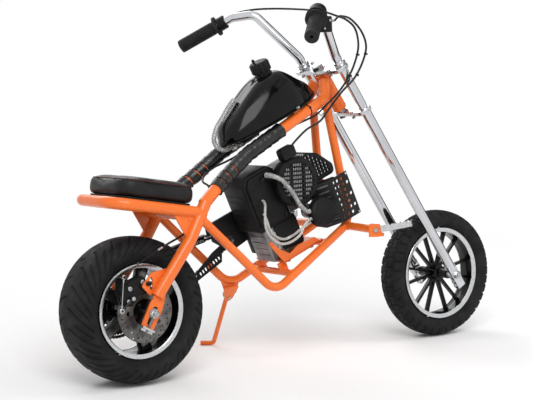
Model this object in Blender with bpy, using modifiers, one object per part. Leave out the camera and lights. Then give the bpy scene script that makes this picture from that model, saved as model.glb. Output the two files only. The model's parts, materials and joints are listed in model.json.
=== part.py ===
"""Minibike with a long raked chrome fork, an open tubular frame and a small two-stroke engine.

Lengths are in metres. Everything is modelled with the bike upright: +X forward, +Y to its left,
+Z up, and the floor below the rear axle at the origin. Last, the bike leans onto its side stand.
"""

import math

import bmesh
import bpy
from mathutils import Matrix, Vector

# Gaps between neighbours
SEAT_GAP = 0.0003
PIN_GAP = 0.0006
PAD_GAP = 0.0018
JOINT_GAP = 0.0008

# Stance
WHEELBASE = 0.885
LEAN_DEG = 4.38

# Rear wheel
REAR_TYRE_RADIUS = 0.165
REAR_TYRE_WIDTH = 0.127
REAR_RIM_RADIUS = REAR_TYRE_RADIUS - 0.058
REAR_RIM_WIDTH = 0.096
REAR_HUB_RADIUS = 0.028
REAR_SPOKES = 5
REAR_SPOKE_WIDTH = 0.030
REAR_SPOKE_THICKNESS = 0.022
REAR_AXLE_RADIUS = 0.006

# Front wheel
FRONT_TYRE_RADIUS = 0.159
FRONT_TYRE_WIDTH = 0.070
FRONT_RIM_RADIUS = FRONT_TYRE_RADIUS - 0.044
FRONT_RIM_WIDTH = 0.052
FRONT_HUB_RADIUS = 0.019
FRONT_HUB_HALF_LENGTH = 0.052
FRONT_SPOKE_PAIRS = 6
FRONT_SPOKE_PAIR_DEG = 24
FRONT_SPOKE_WIDTH = 0.007
FRONT_SPOKE_THICKNESS = 0.014
FRONT_AXLE_RADIUS = 0.005

# Rims, tyres and the turned pieces
RIM_WALL = 0.005
RIM_FLANGE_HEIGHT = 0.005
RIM_FLANGE_WIDTH = 0.0035
WHEEL_STEPS = 32

# Brake disc and caliper
DISC_RADIUS = 0.069
DISC_BORE_RADIUS = 0.030
DISC_THICKNESS = 0.003
DISC_Y = -0.060
DISC_HOLES = 12
DISC_HOLE_RADIUS = 0.0035
CALIPER_THICKNESS = 0.028
CABLE_CLAMP = Vector((-0.0613, -0.0830, 0.0856))

# Chain and sprockets
CHAIN_PITCH = 0.008
CHAIN_Y = 0.0755
CHAIN_WIDTH = 0.008
CHAIN_PLATE_HALF_HEIGHT = 0.0038
CHAIN_WAIST_HALF_HEIGHT = 0.0029
REAR_TEETH = 56
FRONT_TEETH = 14
SPROCKET_THICKNESS = 0.003
CHAIN_CLEARANCE = 0.0042
GUARD_SLOTS = 8
LOWER_GUARD_Y = 0.0665
LOWER_GUARD_CORNERS = (
    (0.1191, 0.0133), (0.1056, -0.0061), (0.0470, -0.0177), (0.0168, -0.0185), (0.0083, -0.0150),
    (0.0088, -0.0085), (0.0246, -0.0007), (0.0368, 0.0169),
)

# Fork and steering head
RAKE_DEG = 31.83
FORK_OFFSET = 0.013
FORK_HALF_SPAN = 0.074
FRONT_AXLE_HEIGHT = FRONT_TYRE_RADIUS
SLIDER_RADIUS = 0.0125
STANCHION_RADIUS = 0.011
HEAD_BOTTOM = 0.512
HEAD_LENGTH = 0.102
HEAD_RADIUS = 0.017
HEAD_BORE_RADIUS = 0.0135
STEM_RADIUS = 0.0125
CLAMP_THICKNESS = 0.010
CLAMP_HALF_WIDTH = 0.020
BEARING_GAP = 0.0045
AXLE_BLOCK_LENGTH = 0.066
AXLE_BLOCK_WIDTH = 0.024
AXLE_BLOCK_THICKNESS = 0.018

# Handlebar and controls
BAR_RADIUS = 0.011
GRIP_RADIUS = 0.0165
GRIP_LENGTH = 0.104
GRIP_FLANGE_RADIUS = 0.025
PERCH_BARREL_REACH = 0.0195
PERCH_BARREL_LENGTH = 0.0185

# Frame tubes
MAIN_TUBE_RADIUS = 0.014
STAY_RADIUS = 0.014
HOOP_RADIUS = 0.013
CRADLE_RADIUS = 0.010
PEG_BAR_RADIUS = 0.0095
CROSS_TUBE_RADIUS = 0.008
SEAT_CROSS_RADIUS = 0.0075
WRAP_RADIUS = 0.0185
PLATE_THICKNESS = 0.004
STAY_Y = 0.0962
HOOP_BACK_X = -0.082
HOOP_BACK_Z = 0.4155
HOOP_FRONT_Z = 0.374
DROPOUT_END = 0.034
JOINT_X = 0.148
JOINT_Z = 0.388
CRADLE_FRONT_Y = 0.057

# Seat
SEAT_LENGTH = 0.206
SEAT_WIDTH = 0.200
SEAT_THICKNESS = 0.046
SEAT_PAN_THICKNESS = 0.004
SEAT_FRONT_X = 0.141

# Fuel tank, in the plane of its seam
TANK_REAR = (0.275, 0.525)
TANK_SLOPE_DEG = 24.0
TANK_FLANGE = 0.006
CAP_RADIUS = 0.024
CAP_HEIGHT = 0.026
CAP_U = 0.160

# Engine, in the plane of its mounting plate
ENGINE_PLATE_REAR = (0.382, 0.238)
ENGINE_PLATE_LENGTH = 0.114
ENGINE_PLATE_HALF_WIDTH = 0.060
ENGINE_SLOPE_DEG = 22.0
FAN_RADIUS = 0.058
FAN_SLOTS = 16
SHROUD_SLOTS = 7
GUARD_WALL = 0.003
FILTER_RADIUS = 0.036
FILTER_PLACE = Vector((0.124, 0, 0.0717))
INTAKE_RADIUS = 0.017
HOUSING_RIGHT_Y = -0.055

# Footpegs
PEG_BAR_END_Y = 0.165
PEG_LENGTH = 0.084
PEG_WIDTH = 0.022
PEG_HEIGHT = 0.015
PEG_YAW_DEG = 45.0
PEG_RISE_DEG = 10.0

# Side stand
STAND_PIVOT = (0.325, 0.104, 0.148)
STAND_FORWARD = 0.10
STAND_SPLAY_DEG = 36.9
STAND_ROD_RADIUS = 0.0055
STAND_FOOT_LENGTH = 0.032
STAND_EYE_THICKNESS = 0.011

# Hoses and cables
FUEL_HOSE_RADIUS = 0.0065
BREATHER_RADIUS = 0.0065
DRIP_HOSE_RADIUS = 0.003
CABLE_RADIUS = 0.0025

X_AXIS = Vector((1, 0, 0))
Y_AXIS = Vector((0, 1, 0))
Z_AXIS = Vector((0, 0, 1))
SIDES = ((1, "left"), (-1, "right"))

rake = math.radians(RAKE_DEG)
STEER_UP = Vector((-math.sin(rake), 0, math.cos(rake)))
STEER_FORWARD = Vector((math.cos(rake), 0, math.sin(rake)))
FRONT_AXLE = Vector((WHEELBASE, 0, FRONT_AXLE_HEIGHT))
REAR_AXLE = Vector((0, 0, REAR_TYRE_RADIUS))
STEER_BASE = FRONT_AXLE - STEER_FORWARD * FORK_OFFSET
HEAD_TOP = HEAD_BOTTOM + HEAD_LENGTH
LOWER_CLAMP = HEAD_BOTTOM - BEARING_GAP - CLAMP_THICKNESS / 2
UPPER_CLAMP = HEAD_TOP + BEARING_GAP + CLAMP_THICKNESS / 2
REAR_PITCH_RADIUS = CHAIN_PITCH / (2 * math.sin(math.pi / REAR_TEETH))
FRONT_PITCH_RADIUS = CHAIN_PITCH / (2 * math.sin(math.pi / FRONT_TEETH))


def steer_point(forward, left, up):
    """A point in the steering head's own axes: forward of the axis, to the left, along it."""
    return STEER_BASE + STEER_FORWARD * forward + Y_AXIS * left + STEER_UP * up


def sloped(origin, slope_deg):
    """Axes of a plane that slopes up towards the front: forward, left and up from it."""
    turn = Matrix.Rotation(-math.radians(slope_deg), 4, "Y")
    return Matrix.Translation((origin[0], 0, origin[1])) @ turn


ENGINE = sloped(ENGINE_PLATE_REAR, ENGINE_SLOPE_DEG)
TANK = sloped(TANK_REAR, TANK_SLOPE_DEG)
STEER = Matrix((
    (STEER_FORWARD.x, 0, STEER_UP.x, STEER_BASE.x),
    (0, 1, 0, 0),
    (STEER_FORWARD.z, 0, STEER_UP.z, STEER_BASE.z),
    (0, 0, 0, 1),
))


# Scene and materials

def clear_scene():
    for obj in list(bpy.data.objects):
        bpy.data.objects.remove(obj, do_unlink=True)


def make_collection(name):
    group = bpy.data.collections.new(name)
    bpy.context.scene.collection.children.link(group)
    return group


def make_material(name, colour, roughness, metallic=0.0):
    made = bpy.data.materials.new(name)
    made.use_nodes = True
    shader = made.node_tree.nodes["Principled BSDF"]
    shader.inputs["Base Color"].default_value = (*colour, 1)
    shader.inputs["Roughness"].default_value = roughness
    shader.inputs["Metallic"].default_value = metallic
    made.diffuse_color = (*colour, 1)
    return made


def make_materials():
    return {
        "orange": make_material("orange paint", (0.90, 0.22, 0.04), 0.30),
        "chrome": make_material("chrome", (0.80, 0.81, 0.82), 0.10, 1.0),
        "steel": make_material("bright steel", (0.62, 0.63, 0.64), 0.35, 1.0),
        "alloy": make_material("cast alloy", (0.50, 0.50, 0.51), 0.50, 0.8),
        "black": make_material("black paint", (0.02, 0.02, 0.022), 0.25),
        "plastic": make_material("black plastic", (0.03, 0.03, 0.033), 0.50),
        "rubber": make_material("tyre rubber", (0.035, 0.035, 0.038), 0.85),
        "grip": make_material("grip rubber", (0.03, 0.03, 0.03), 0.75),
        "vinyl": make_material("black vinyl", (0.05, 0.045, 0.047), 0.60),
        "tape": make_material("black tape", (0.03, 0.03, 0.035), 0.35),
        "hose": make_material("clear hose", (0.72, 0.70, 0.66), 0.35),
        "cable": make_material("black cable", (0.02, 0.02, 0.02), 0.45),
    }


# Mesh helpers

def link(obj, material=None):
    PARTS.objects.link(obj)
    if material:
        obj.data.materials.clear()
        obj.data.materials.append(MATERIALS[material])
    return obj


def evaluated_mesh(obj):
    bpy.context.view_layer.update()
    graph = bpy.context.evaluated_depsgraph_get()
    return bpy.data.meshes.new_from_object(obj.evaluated_get(graph))


def tidy_mesh(mesh, weld=0.000005):
    """Welds a mesh's seams and turns its faces outwards."""
    work = bmesh.new()
    work.from_mesh(mesh)
    bmesh.ops.remove_doubles(work, verts=work.verts, dist=weld)
    bmesh.ops.recalc_face_normals(work, faces=work.faces)
    if work.calc_volume(signed=True) < 0:
        bmesh.ops.reverse_faces(work, faces=work.faces)
    work.to_mesh(mesh)
    work.free()


def bake(obj):
    """Turns a curve, or a mesh with modifiers, into a plain mesh object of the same name."""
    name = obj.name
    mesh = evaluated_mesh(obj)
    mesh.transform(obj.matrix_world)
    tidy_mesh(mesh)
    materials = [slot.material for slot in obj.material_slots]
    bpy.data.objects.remove(obj, do_unlink=True)
    made = bpy.data.objects.new(name, mesh)
    PARTS.objects.link(made)
    made.data.materials.clear()
    for item in materials:
        made.data.materials.append(item)
    return made


def shade(obj, angle_deg=35):
    obj.data.shade_smooth()
    obj.data.set_sharp_from_angle(angle=math.radians(angle_deg))
    return obj


def combine(target, others, operation="UNION"):
    """Joins the others to the target, or cuts them from it, and removes them."""
    for other in others:
        step = target.modifiers.new(operation.title(), "BOOLEAN")
        step.operation = operation
        step.solver = "EXACT"
        step.object = other
        mesh = evaluated_mesh(target)
        target.modifiers.clear()
        target.data = mesh
        bpy.data.objects.remove(other, do_unlink=True)
    return target


def cut(target, others):
    return combine(target, others, "DIFFERENCE")


def catmull_rom(points, per_span):
    """A smooth curve through the points."""
    ends = [points[0] * 2 - points[1], *points, points[-1] * 2 - points[-2]]
    curve = []
    for before, start, end, after in zip(ends, ends[1:], ends[2:], ends[3:]):
        for step in range(per_span):
            t = step / per_span
            curve.append(0.5 * (
                2 * start + (end - before) * t
                + (2 * before - 5 * start + 4 * end - after) * t * t
                + (3 * start - before - 3 * end + after) * t * t * t
            ))
    curve.append(points[-1])
    return curve


def rounded(points, bend_radius, steps=4):
    """The points with each inner corner replaced by an arc of the bend radius."""
    path = [Vector(points[0])]
    for before, corner, after in zip(points, points[1:], points[2:]):
        corner = Vector(corner)
        back = (Vector(before) - corner).normalized()
        ahead = (Vector(after) - corner).normalized()
        half = (math.pi - back.angle(ahead)) / 2
        reach = bend_radius * math.tan(half)
        centre = corner + (back + ahead).normalized() * (bend_radius / math.cos(half))
        start = corner + back * reach - centre
        end = corner + ahead * reach - centre
        for step in range(steps + 1):
            path.append(centre + start.slerp(end, step / steps) * bend_radius)
    path.append(Vector(points[-1]))
    return path


def tube(name, path, radius, material, resolution=4):
    """A round bar or tube along a path, with closed ends."""
    curve = bpy.data.curves.new(name, "CURVE")
    curve.dimensions = "3D"
    curve.bevel_depth = radius
    curve.bevel_resolution = resolution
    curve.use_fill_caps = True
    spline = curve.splines.new("POLY")
    spline.points.add(len(path) - 1)
    for point, place in zip(spline.points, path):
        point.co = (*place, 1)
    return bake(link(bpy.data.objects.new(name, curve), material))


def plate(name, outline, thickness, material, matrix=Matrix(), holes=()):
    """A flat plate of the outline in its own X and Y, centred on Z, with holes through it."""
    curve = bpy.data.curves.new(name, "CURVE")
    curve.dimensions = "2D"
    curve.fill_mode = "BOTH"
    curve.extrude = thickness / 2
    for ring in (outline, *holes):
        spline = curve.splines.new("POLY")
        spline.points.add(len(ring) - 1)
        for point, place in zip(spline.points, ring):
            point.co = (place[0], place[1], 0, 1)
        spline.use_cyclic_u = True
    made = bake(link(bpy.data.objects.new(name, curve), material))
    made.data.transform(matrix)
    tidy_mesh(made.data)
    return made


def turned(name, profile, origin, axis, material, steps=24, ring=False):
    """A profile of (radius, height) pairs, from the top down, turned about an axis."""
    mesh = bpy.data.meshes.new(name)
    count = len(profile)
    edges = [(i, i + 1) for i in range(count - 1)]
    if ring:
        edges.append((count - 1, 0))
    mesh.from_pydata([(r, 0, h) for r, h in profile], edges, [])
    obj = link(bpy.data.objects.new(name, mesh), material)
    screw = obj.modifiers.new("Turn", "SCREW")
    screw.steps = steps
    screw.render_steps = steps
    screw.use_merge_vertices = True
    screw.merge_threshold = 0.00001
    turn = Z_AXIS.rotation_difference(Vector(axis)).to_matrix().to_4x4()
    obj.matrix_world = Matrix.Translation(origin) @ turn
    return bake(obj)


def disc(name, radius, bottom, top, origin, axis, material, steps=24):
    """A plain cylinder between two heights on an axis."""
    work = bmesh.new()
    bmesh.ops.create_cone(
        work, cap_ends=True, segments=steps, radius1=radius, radius2=radius, depth=top - bottom)
    mesh = bpy.data.meshes.new(name)
    work.to_mesh(mesh)
    work.free()
    turn = Z_AXIS.rotation_difference(Vector(axis)).to_matrix().to_4x4()
    rise = Matrix.Translation((0, 0, (top + bottom) / 2))
    mesh.transform(Matrix.Translation(origin) @ turn @ rise)
    return link(bpy.data.objects.new(name, mesh), material)


def sleeve(name, outer, inner, bottom, top, origin, axis, material, steps=24):
    """A cylinder with a bore through it."""
    profile = ((outer, top), (outer, bottom), (inner, bottom), (inner, top))
    return turned(name, profile, origin, axis, material, steps, ring=True)


def block(name, low, high, material, matrix=Matrix(), bevel=0.0, segments=1):
    """A box between two corners in the axes of the matrix, with its edges rounded."""
    work = bmesh.new()
    bmesh.ops.create_cube(work, size=1)
    mesh = bpy.data.meshes.new(name)
    work.to_mesh(mesh)
    work.free()
    low, high = Vector(low), Vector(high)
    mesh.transform(Matrix.Translation((low + high) / 2) @ Matrix.Diagonal((*(high - low), 1)))
    obj = link(bpy.data.objects.new(name, mesh), material)
    if bevel:
        soften(obj, bevel, segments)
    made = bake(obj)
    made.data.transform(matrix)
    return made


def soften(obj, width, segments=1, angle_deg=40):
    bevel = obj.modifiers.new("Soften", "BEVEL")
    bevel.width = width
    bevel.segments = segments
    bevel.limit_method = "ANGLE"
    bevel.angle_limit = math.radians(angle_deg)


def soft_plate(name, outline, thickness, material, matrix, bevel, holes=()):
    """A plate with rounded edges."""
    made = plate(name, outline, thickness, material, holes=holes)
    soften(made, bevel, 2)
    made = bake(made)
    made.data.transform(matrix)
    return made


def circle(radius, count, centre=(0, 0), start=0.0):
    """Points round a circle."""
    return [
        (
            centre[0] + radius * math.cos(start + math.tau * i / count),
            centre[1] + radius * math.sin(start + math.tau * i / count),
        )
        for i in range(count)
    ]


def stadium(half_length, half_width, centre, along_y=True, count=4):
    """A straight-sided outline with round ends."""
    straight = half_length - half_width
    points = []
    for end in (1, -1):
        for step in range(count + 1):
            angle = math.pi * (step / count - 0.5) + (0 if end > 0 else math.pi)
            points.append((
                end * straight + half_width * math.cos(angle),
                half_width * math.sin(angle),
            ))
    if along_y:
        points = [(-across, along) for along, across in points]
    return [(centre[0] + a, centre[1] + b) for a, b in points]


def round_corners(corners, radius, steps=3):
    """A flat outline with its corners rounded."""
    closed = [*corners, *corners[:2]]
    path = rounded([(x, y, 0) for x, y in closed], radius, steps)[1:-1]
    return [(point.x, point.y) for point in path]


def side_plane(y, matrix=Matrix()):
    """Places a plate's X and Y on the X and Z of the matrix, at a distance to the left."""
    return matrix @ Matrix.Translation((0, y, 0)) @ Matrix.Rotation(math.pi / 2, 4, "X")


def loft(name, sections, material):
    """A closed skin over rings of points that all have the same count."""
    work = bmesh.new()
    rings = [[work.verts.new(point) for point in section] for section in sections]
    for first, second in zip(rings, rings[1:]):
        for i in range(len(first)):
            j = (i + 1) % len(first)
            work.faces.new((first[i], first[j], second[j], second[i]))
    work.faces.new(rings[0])
    work.faces.new(rings[-1])
    bmesh.ops.recalc_face_normals(work, faces=work.faces)
    mesh = bpy.data.meshes.new(name)
    work.to_mesh(mesh)
    work.free()
    return link(bpy.data.objects.new(name, mesh), material)


def hex_nut(name, across, bottom, top, origin, axis, material="steel"):
    return disc(name, across / math.sqrt(3), bottom, top, origin, axis, material, steps=6)


def joint_empty(name, place, axis, parent):
    """An empty on a joint's axis, with its Z along it."""
    empty = bpy.data.objects.new(name, None)
    empty.empty_display_size = 0.05
    PARTS.objects.link(empty)
    turn = Z_AXIS.rotation_difference(Vector(axis)).to_matrix().to_4x4()
    empty.matrix_world = Matrix.Translation(place) @ turn
    bpy.context.view_layer.update()
    hang(empty, parent)
    return empty


def hang(obj, parent):
    """Makes an object follow a parent from where it is."""
    if parent:
        obj.parent = parent
        obj.matrix_parent_inverse = parent.matrix_world.inverted()
        bpy.context.view_layer.update()


def carry(parent, *objects):
    for obj in objects:
        hang(obj, parent)


# Frame

def main_tube_path(side):
    """From the seat joint up beside the tank to the steering head."""
    head_back = steer_point(-0.0128, side * 0.018, HEAD_TOP - 0.013)
    neck = steer_point(-0.0496, side * 0.036, HEAD_BOTTOM + 0.060)
    lead_in = steer_point(-0.1117, side * 0.052, HEAD_BOTTOM + 0.074)
    corners = [
        (JOINT_X, side * 0.088, JOINT_Z + 0.006),
        (0.219, side * 0.068, 0.446),
        (0.290, side * 0.060, 0.497),
        lead_in,
        neck,
        head_back,
    ]
    return rounded(corners, 0.035, 2)


def wrap_path(side):
    """The stretch of the main tube that carries tape."""
    path = main_tube_path(side)
    start, end = path[0].lerp(path[1], 0.60), path[6].lerp(path[7], 0.55)
    return [start, *path[1:7], end]


def down_tube_path(side):
    """From the seat joint down, under the engine and up the front to the neck."""
    neck = steer_point(-0.046, side * 0.027, HEAD_BOTTOM + 0.043)
    corners = [
        (JOINT_X - 0.010, side * 0.095, JOINT_Z - 0.028),
        (0.232, side * 0.099, 0.268),
        (0.325, side * 0.097, 0.177),
        (0.578, side * CRADLE_FRONT_Y, 0.318),
        neck,
    ]
    return rounded(corners, 0.048, 3)


def stay_path(side):
    foot = REAR_AXLE + Vector((0.012, side * STAY_Y, 0.036))
    return [
        Vector((JOINT_X + 0.004, side * 0.089, JOINT_Z + 0.010)),
        Vector((0.104, side * STAY_Y, 0.318)),
        foot,
    ]


def hoop_path():
    corners = [
        (JOINT_X, 0.090, HOOP_FRONT_Z),
        (HOOP_BACK_X, STAY_Y, HOOP_BACK_Z),
        (HOOP_BACK_X, -STAY_Y, HOOP_BACK_Z),
        (JOINT_X, -0.090, HOOP_FRONT_Z),
    ]
    return rounded(corners, 0.055, 4)


def dropout_axes(side):
    """Axes of a dropout plate: back and down along it, across it, and out from its middle."""
    reach = Vector((-0.485, 0, -0.875))
    across = Vector((0.875, 0, -0.485))
    centre = REAR_AXLE + Vector((0, side * STAY_Y, 0))
    return Matrix((
        (reach.x, across.x, 0, centre.x),
        (0, 0, 1, centre.y),
        (reach.z, across.z, 0, centre.z),
        (0, 0, 0, 1),
    ))


def dropout(side):
    """The flattened plate at a stay's foot, slotted for the axle."""
    outline = round_corners(
        ((-0.050, -0.011), (-0.050, 0.011), (-0.018, 0.017), (DROPOUT_END, 0.016),
         (DROPOUT_END, -0.016), (-0.018, -0.017)), 0.003, 2)
    slot = stadium(0.022, REAR_AXLE_RADIUS + PIN_GAP, (0.006, 0), along_y=False, count=5)
    return plate(f"dropout {side}", outline, 0.006, "orange", dropout_axes(side), (slot,))


def gusset(side):
    outline = ((0.058, 0.390), (JOINT_X, HOOP_FRONT_Z), (0.104, 0.318), (0.092, 0.330))
    return plate(
        f"gusset {side}", outline, PLATE_THICKNESS, "orange", side_plane(side * (STAY_Y - 0.003)))


def caliper_tab():
    outline = round_corners(
        ((-0.020, 0.226), (0.006, 0.254), (0.060, 0.262), (0.030, 0.214), (0.000, 0.204)),
        0.004, 2)
    slot = stadium(0.014, 0.0035, (0.004, 0.230), along_y=True, count=4)
    return plate(
        "caliper tab", outline, PLATE_THICKNESS, "orange", side_plane(-(STAY_Y - 0.010)), (slot,))


def engine_plate():
    """The sloping plate under the engine, with an ear up its right side."""
    half = ENGINE_PLATE_HALF_WIDTH
    base = block(
        "engine plate", (0, -half, -PLATE_THICKNESS / 2),
        (ENGINE_PLATE_LENGTH + 0.006, half, PLATE_THICKNESS / 2), "orange", ENGINE)
    pieces = []
    outline = round_corners(
        ((0.0, -0.002), (ENGINE_PLATE_LENGTH, -0.002), (0.100, 0.016), (0.050, 0.020),
         (0.022, 0.012), (0.000, 0.034), (-0.016, 0.064), (-0.022, 0.058)), 0.003, 2)
    matrix = side_plane(-half + PLATE_THICKNESS / 2, ENGINE)
    pieces.append(plate("engine ear", outline, PLATE_THICKNESS, "orange", matrix))
    for side in (1, -1):
        pieces.append(block(
            f"engine foot {side}", (-0.012, side * 0.045 - 0.003, -0.026),
            (0.010, side * 0.045 + 0.003, 0), "orange", ENGINE))
    return [base, *pieces]


def cross_tubes():
    """The tubes that tie the two sides together."""
    rows = (
        # name, x, z, half span, radius
        ("seat cross", 0.108, 0.367, STAY_Y, SEAT_CROSS_RADIUS),
        ("rear cross", 0.385, 0.2135, 0.088, CROSS_TUBE_RADIUS),
        ("front cross", 0.4965, 0.2745, 0.070, CROSS_TUBE_RADIUS),
    )
    made = [
        tube(name, [Vector((x, half, z)), Vector((x, -half, z))], radius, "orange", 2)
        for name, x, z, half, radius in rows
    ]
    strap = block(
        "tank strap", (0.162, -0.058, -0.0180), (0.182, 0.058, -0.0020), "orange", TANK)
    return [*made, strap]


def peg_axes(side):
    """The axes of a footpeg: out along it, along its hinge pin, and up."""
    hinge = Vector((0.562, side * (PEG_BAR_END_Y + 0.016), 0.306))
    yaw = Matrix.Rotation(side * math.radians(PEG_YAW_DEG), 4, "Z")
    return Matrix.Translation(hinge) @ yaw


def peg_mount(side):
    """The lateral bar, the clevis at its end with its pin, and the stop under the peg."""
    axes = peg_axes(side)
    start = Vector((0.566, side * CRADLE_FRONT_Y, 0.309))
    end = Vector((0.562, side * PEG_BAR_END_Y, 0.306))
    ear_y = PEG_WIDTH / 2 - 0.002
    pieces = [tube(f"peg bar {side}", [start, end], PEG_BAR_RADIUS, "orange", 3)]
    outline = ((-0.016, -0.016), (0.006, -0.016), (0.010, -0.011), (0.010, 0.007), (0.005, 0.012),
               (-0.016, 0.014))
    for ear in (1, -1):
        pieces.append(plate(
            f"peg ear {side} {ear}", outline, 0.003, "orange", side_plane(ear * ear_y, axes)))
    pieces.append(block(
        f"peg back {side}", (-0.018, -ear_y, -0.016), (-0.014, ear_y, 0.013), "orange", axes))
    pieces.append(block(
        f"peg stop {side}", (-0.016, -0.005, -0.0155), (0.016, 0.005, -0.0078), "orange", axes))
    pin_axis = axes.to_3x3() @ Y_AXIS
    pieces.append(disc(
        f"peg pin {side}", 0.0035, -ear_y - 0.006, ear_y + 0.005,
        axes.translation, pin_axis, "orange", 10))
    return pieces


def stand_axes():
    """The side stand's axes: X along its leg, Z along its pivot bolt."""
    splay = math.radians(STAND_SPLAY_DEG)
    leg = Vector((STAND_FORWARD, math.sin(splay), -math.cos(splay))).normalized()
    pivot = Vector((0, math.cos(splay), math.sin(splay)))
    other = pivot.cross(leg)
    return Matrix((
        (leg.x, other.x, pivot.x, STAND_PIVOT[0]),
        (leg.y, other.y, pivot.y, STAND_PIVOT[1]),
        (leg.z, other.z, pivot.z, STAND_PIVOT[2]),
        (0, 0, 0, 1),
    ))


def stand_bracket():
    """The plate under the left cradle tube, with the pivot bolt."""
    axes = stand_axes()
    outline = round_corners(
        ((-0.034, -0.020), (-0.034, 0.022), (0.004, 0.011), (0.011, 0.004), (0.011, -0.004),
         (0.004, -0.011)), 0.003, 2)
    lug = plate("stand lug", outline, PLATE_THICKNESS, "orange",
                axes @ Matrix.Translation((0, 0, -PLATE_THICKNESS / 2)))
    top = STAND_EYE_THICKNESS + 2 * JOINT_GAP
    bolt = disc("stand bolt", 0.004, -0.006, top + 0.003, axes.translation,
                axes.to_3x3() @ Z_AXIS, "orange", 12)
    head = disc("stand bolt head", 0.0075, top, top + 0.005, axes.translation,
                axes.to_3x3() @ Z_AXIS, "orange", 6)
    outline = ((0.298, 0.194), (0.352, 0.190), (0.341, 0.157), (0.311, 0.157))
    web = plate("stand web", outline, PLATE_THICKNESS, "orange", side_plane(0.0945))
    return [lug, web, bolt, head]


def frame():
    """All that is welded together."""
    head_axis = STEER_UP
    head = disc("frame", HEAD_RADIUS, HEAD_BOTTOM, HEAD_TOP, STEER_BASE, head_axis, "orange", 16)
    pieces = []
    for side, _ in SIDES:
        pieces += [
            tube(f"main {side}", main_tube_path(side), MAIN_TUBE_RADIUS, "orange", 3),
            tube(f"stay {side}", stay_path(side), STAY_RADIUS, "orange", 3),
            tube(f"down {side}", down_tube_path(side), CRADLE_RADIUS, "orange", 2),
            dropout(side),
            gusset(side),
            *peg_mount(side),
        ]
    pieces.append(tube("hoop", hoop_path(), HOOP_RADIUS, "orange", 3))
    pieces += cross_tubes()
    pieces += engine_plate()
    pieces.append(caliper_tab())
    pieces += stand_bracket()
    made = combine(head, pieces)
    bore = disc(
        "head bore", HEAD_BORE_RADIUS, HEAD_BOTTOM - 0.02, HEAD_TOP + 0.02,
        STEER_BASE, head_axis, "orange", 16)
    return shade(cut(made, [bore]))


def tube_wrap(side, label):
    """The tape wound round a main tube."""
    path = wrap_path(side)
    made = tube(f"tube_wrap_{label}", path, WRAP_RADIUS, "tape", 3)
    inner = [path[0] * 2 - path[1], *path[1:-1], path[-1] * 2 - path[-2]]
    core = tube("wrap core", inner, MAIN_TUBE_RADIUS + SEAT_GAP, "tape", 3)
    return shade(cut(made, [core]))


# Seat and tank

def seat_axes():
    """X forward along the hoop, Z up from the top of its tubes."""
    slope = math.atan2(HOOP_BACK_Z - HOOP_FRONT_Z, JOINT_X - HOOP_BACK_X)
    origin = Vector((HOOP_BACK_X, 0, HOOP_BACK_Z + HOOP_RADIUS / math.cos(slope) + SEAT_GAP))
    return Matrix.Translation(origin) @ Matrix.Rotation(slope, 4, "Y")


def seat_outline(half, inset=0.0):
    front = SEAT_FRONT_X - HOOP_BACK_X
    rear = front - SEAT_LENGTH
    corners = (
        (rear + inset, -half + inset), (front - inset, -half * 0.92 + inset),
        (front - inset, half * 0.92 - inset), (rear + inset, half - inset),
    )
    return round_corners(corners, 0.045 - inset, 5)


def seat():
    axes = seat_axes()
    pan = plate(
        "seat_pan", seat_outline(STAY_Y + 0.0038, 0.008), SEAT_PAN_THICKNESS, "plastic",
        axes @ Matrix.Translation((0, 0, SEAT_PAN_THICKNESS / 2)))
    bottom = SEAT_PAN_THICKNESS + SEAT_GAP
    pad = soft_plate(
        "seat_pad", seat_outline(SEAT_WIDTH / 2), SEAT_THICKNESS, "vinyl",
        axes @ Matrix.Translation((0, 0, bottom + SEAT_THICKNESS / 2)), 0.012)
    return pan, shade(pad, 60)


def fuel_tank():
    """The tank, skinned over sections along its seam, on its seam flange."""
    rows = (
        # forward, height, half width at the seam, half width at the shoulder
        (-0.012, 0.012, 0.018, 0.010),
        (0.006, 0.036, 0.042, 0.022),
        (0.055, 0.063, 0.058, 0.034),
        (0.115, 0.090, 0.065, 0.036),
        (0.155, 0.097, 0.065, 0.036),
        (0.190, 0.092, 0.061, 0.034),
        (0.224, 0.056, 0.048, 0.029),
        (0.246, 0.034, 0.033, 0.021),
        (0.262, 0.012, 0.014, 0.008),
    )
    sections = []
    for along, height, seam, shoulder in rows:
        half = [
            (seam, 0.0), (seam * 1.02, height * 0.25), (seam * 0.94, height * 0.55),
            (shoulder * 1.15, height * 0.90), (shoulder * 0.6, height),
        ]
        ring = half + [(-y, z) for y, z in reversed(half)]
        sections.append([TANK @ Vector((along, y, z)) for y, z in ring])
    shell = loft("fuel_tank", sections, "black")
    edge = [(along, seam + TANK_FLANGE) for along, _, seam, _ in rows]
    outline = [(rows[0][0] - TANK_FLANGE, 0)] + edge
    outline += [(rows[-1][0] + TANK_FLANGE, 0)] + [(x, -y) for x, y in reversed(edge)]
    flange = plate("tank flange", outline, 0.003, "black", TANK)
    neck = disc("tank neck", CAP_RADIUS - 0.004, 0.080, 0.104, TANK @ Vector((CAP_U, 0, 0)),
                TANK.to_3x3() @ Z_AXIS, "black", 16)
    return shade(combine(shell, [flange, neck]), 25)


def fuel_cap():
    """The fluted cap with its vent stub."""
    lobes = 10
    outline = []
    for i in range(lobes * 4):
        radius = CAP_RADIUS - (0.0022 if i % 4 < 2 else 0)
        angle = math.tau * i / (lobes * 4)
        outline.append((radius * math.cos(angle), radius * math.sin(angle)))
    bottom = 0.104 + SEAT_GAP
    place = TANK @ Matrix.Translation((CAP_U, 0, bottom + CAP_HEIGHT / 2))
    body = plate("fuel_cap", outline, CAP_HEIGHT, "plastic", place)
    stub = disc(
        "cap stub", 0.004, CAP_HEIGHT / 2 - 0.002, CAP_HEIGHT / 2 + 0.010,
        place @ Vector((-0.012, 0, 0)), TANK.to_3x3() @ Z_AXIS, "plastic", 10)
    return shade(combine(body, [stub]))


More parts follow.
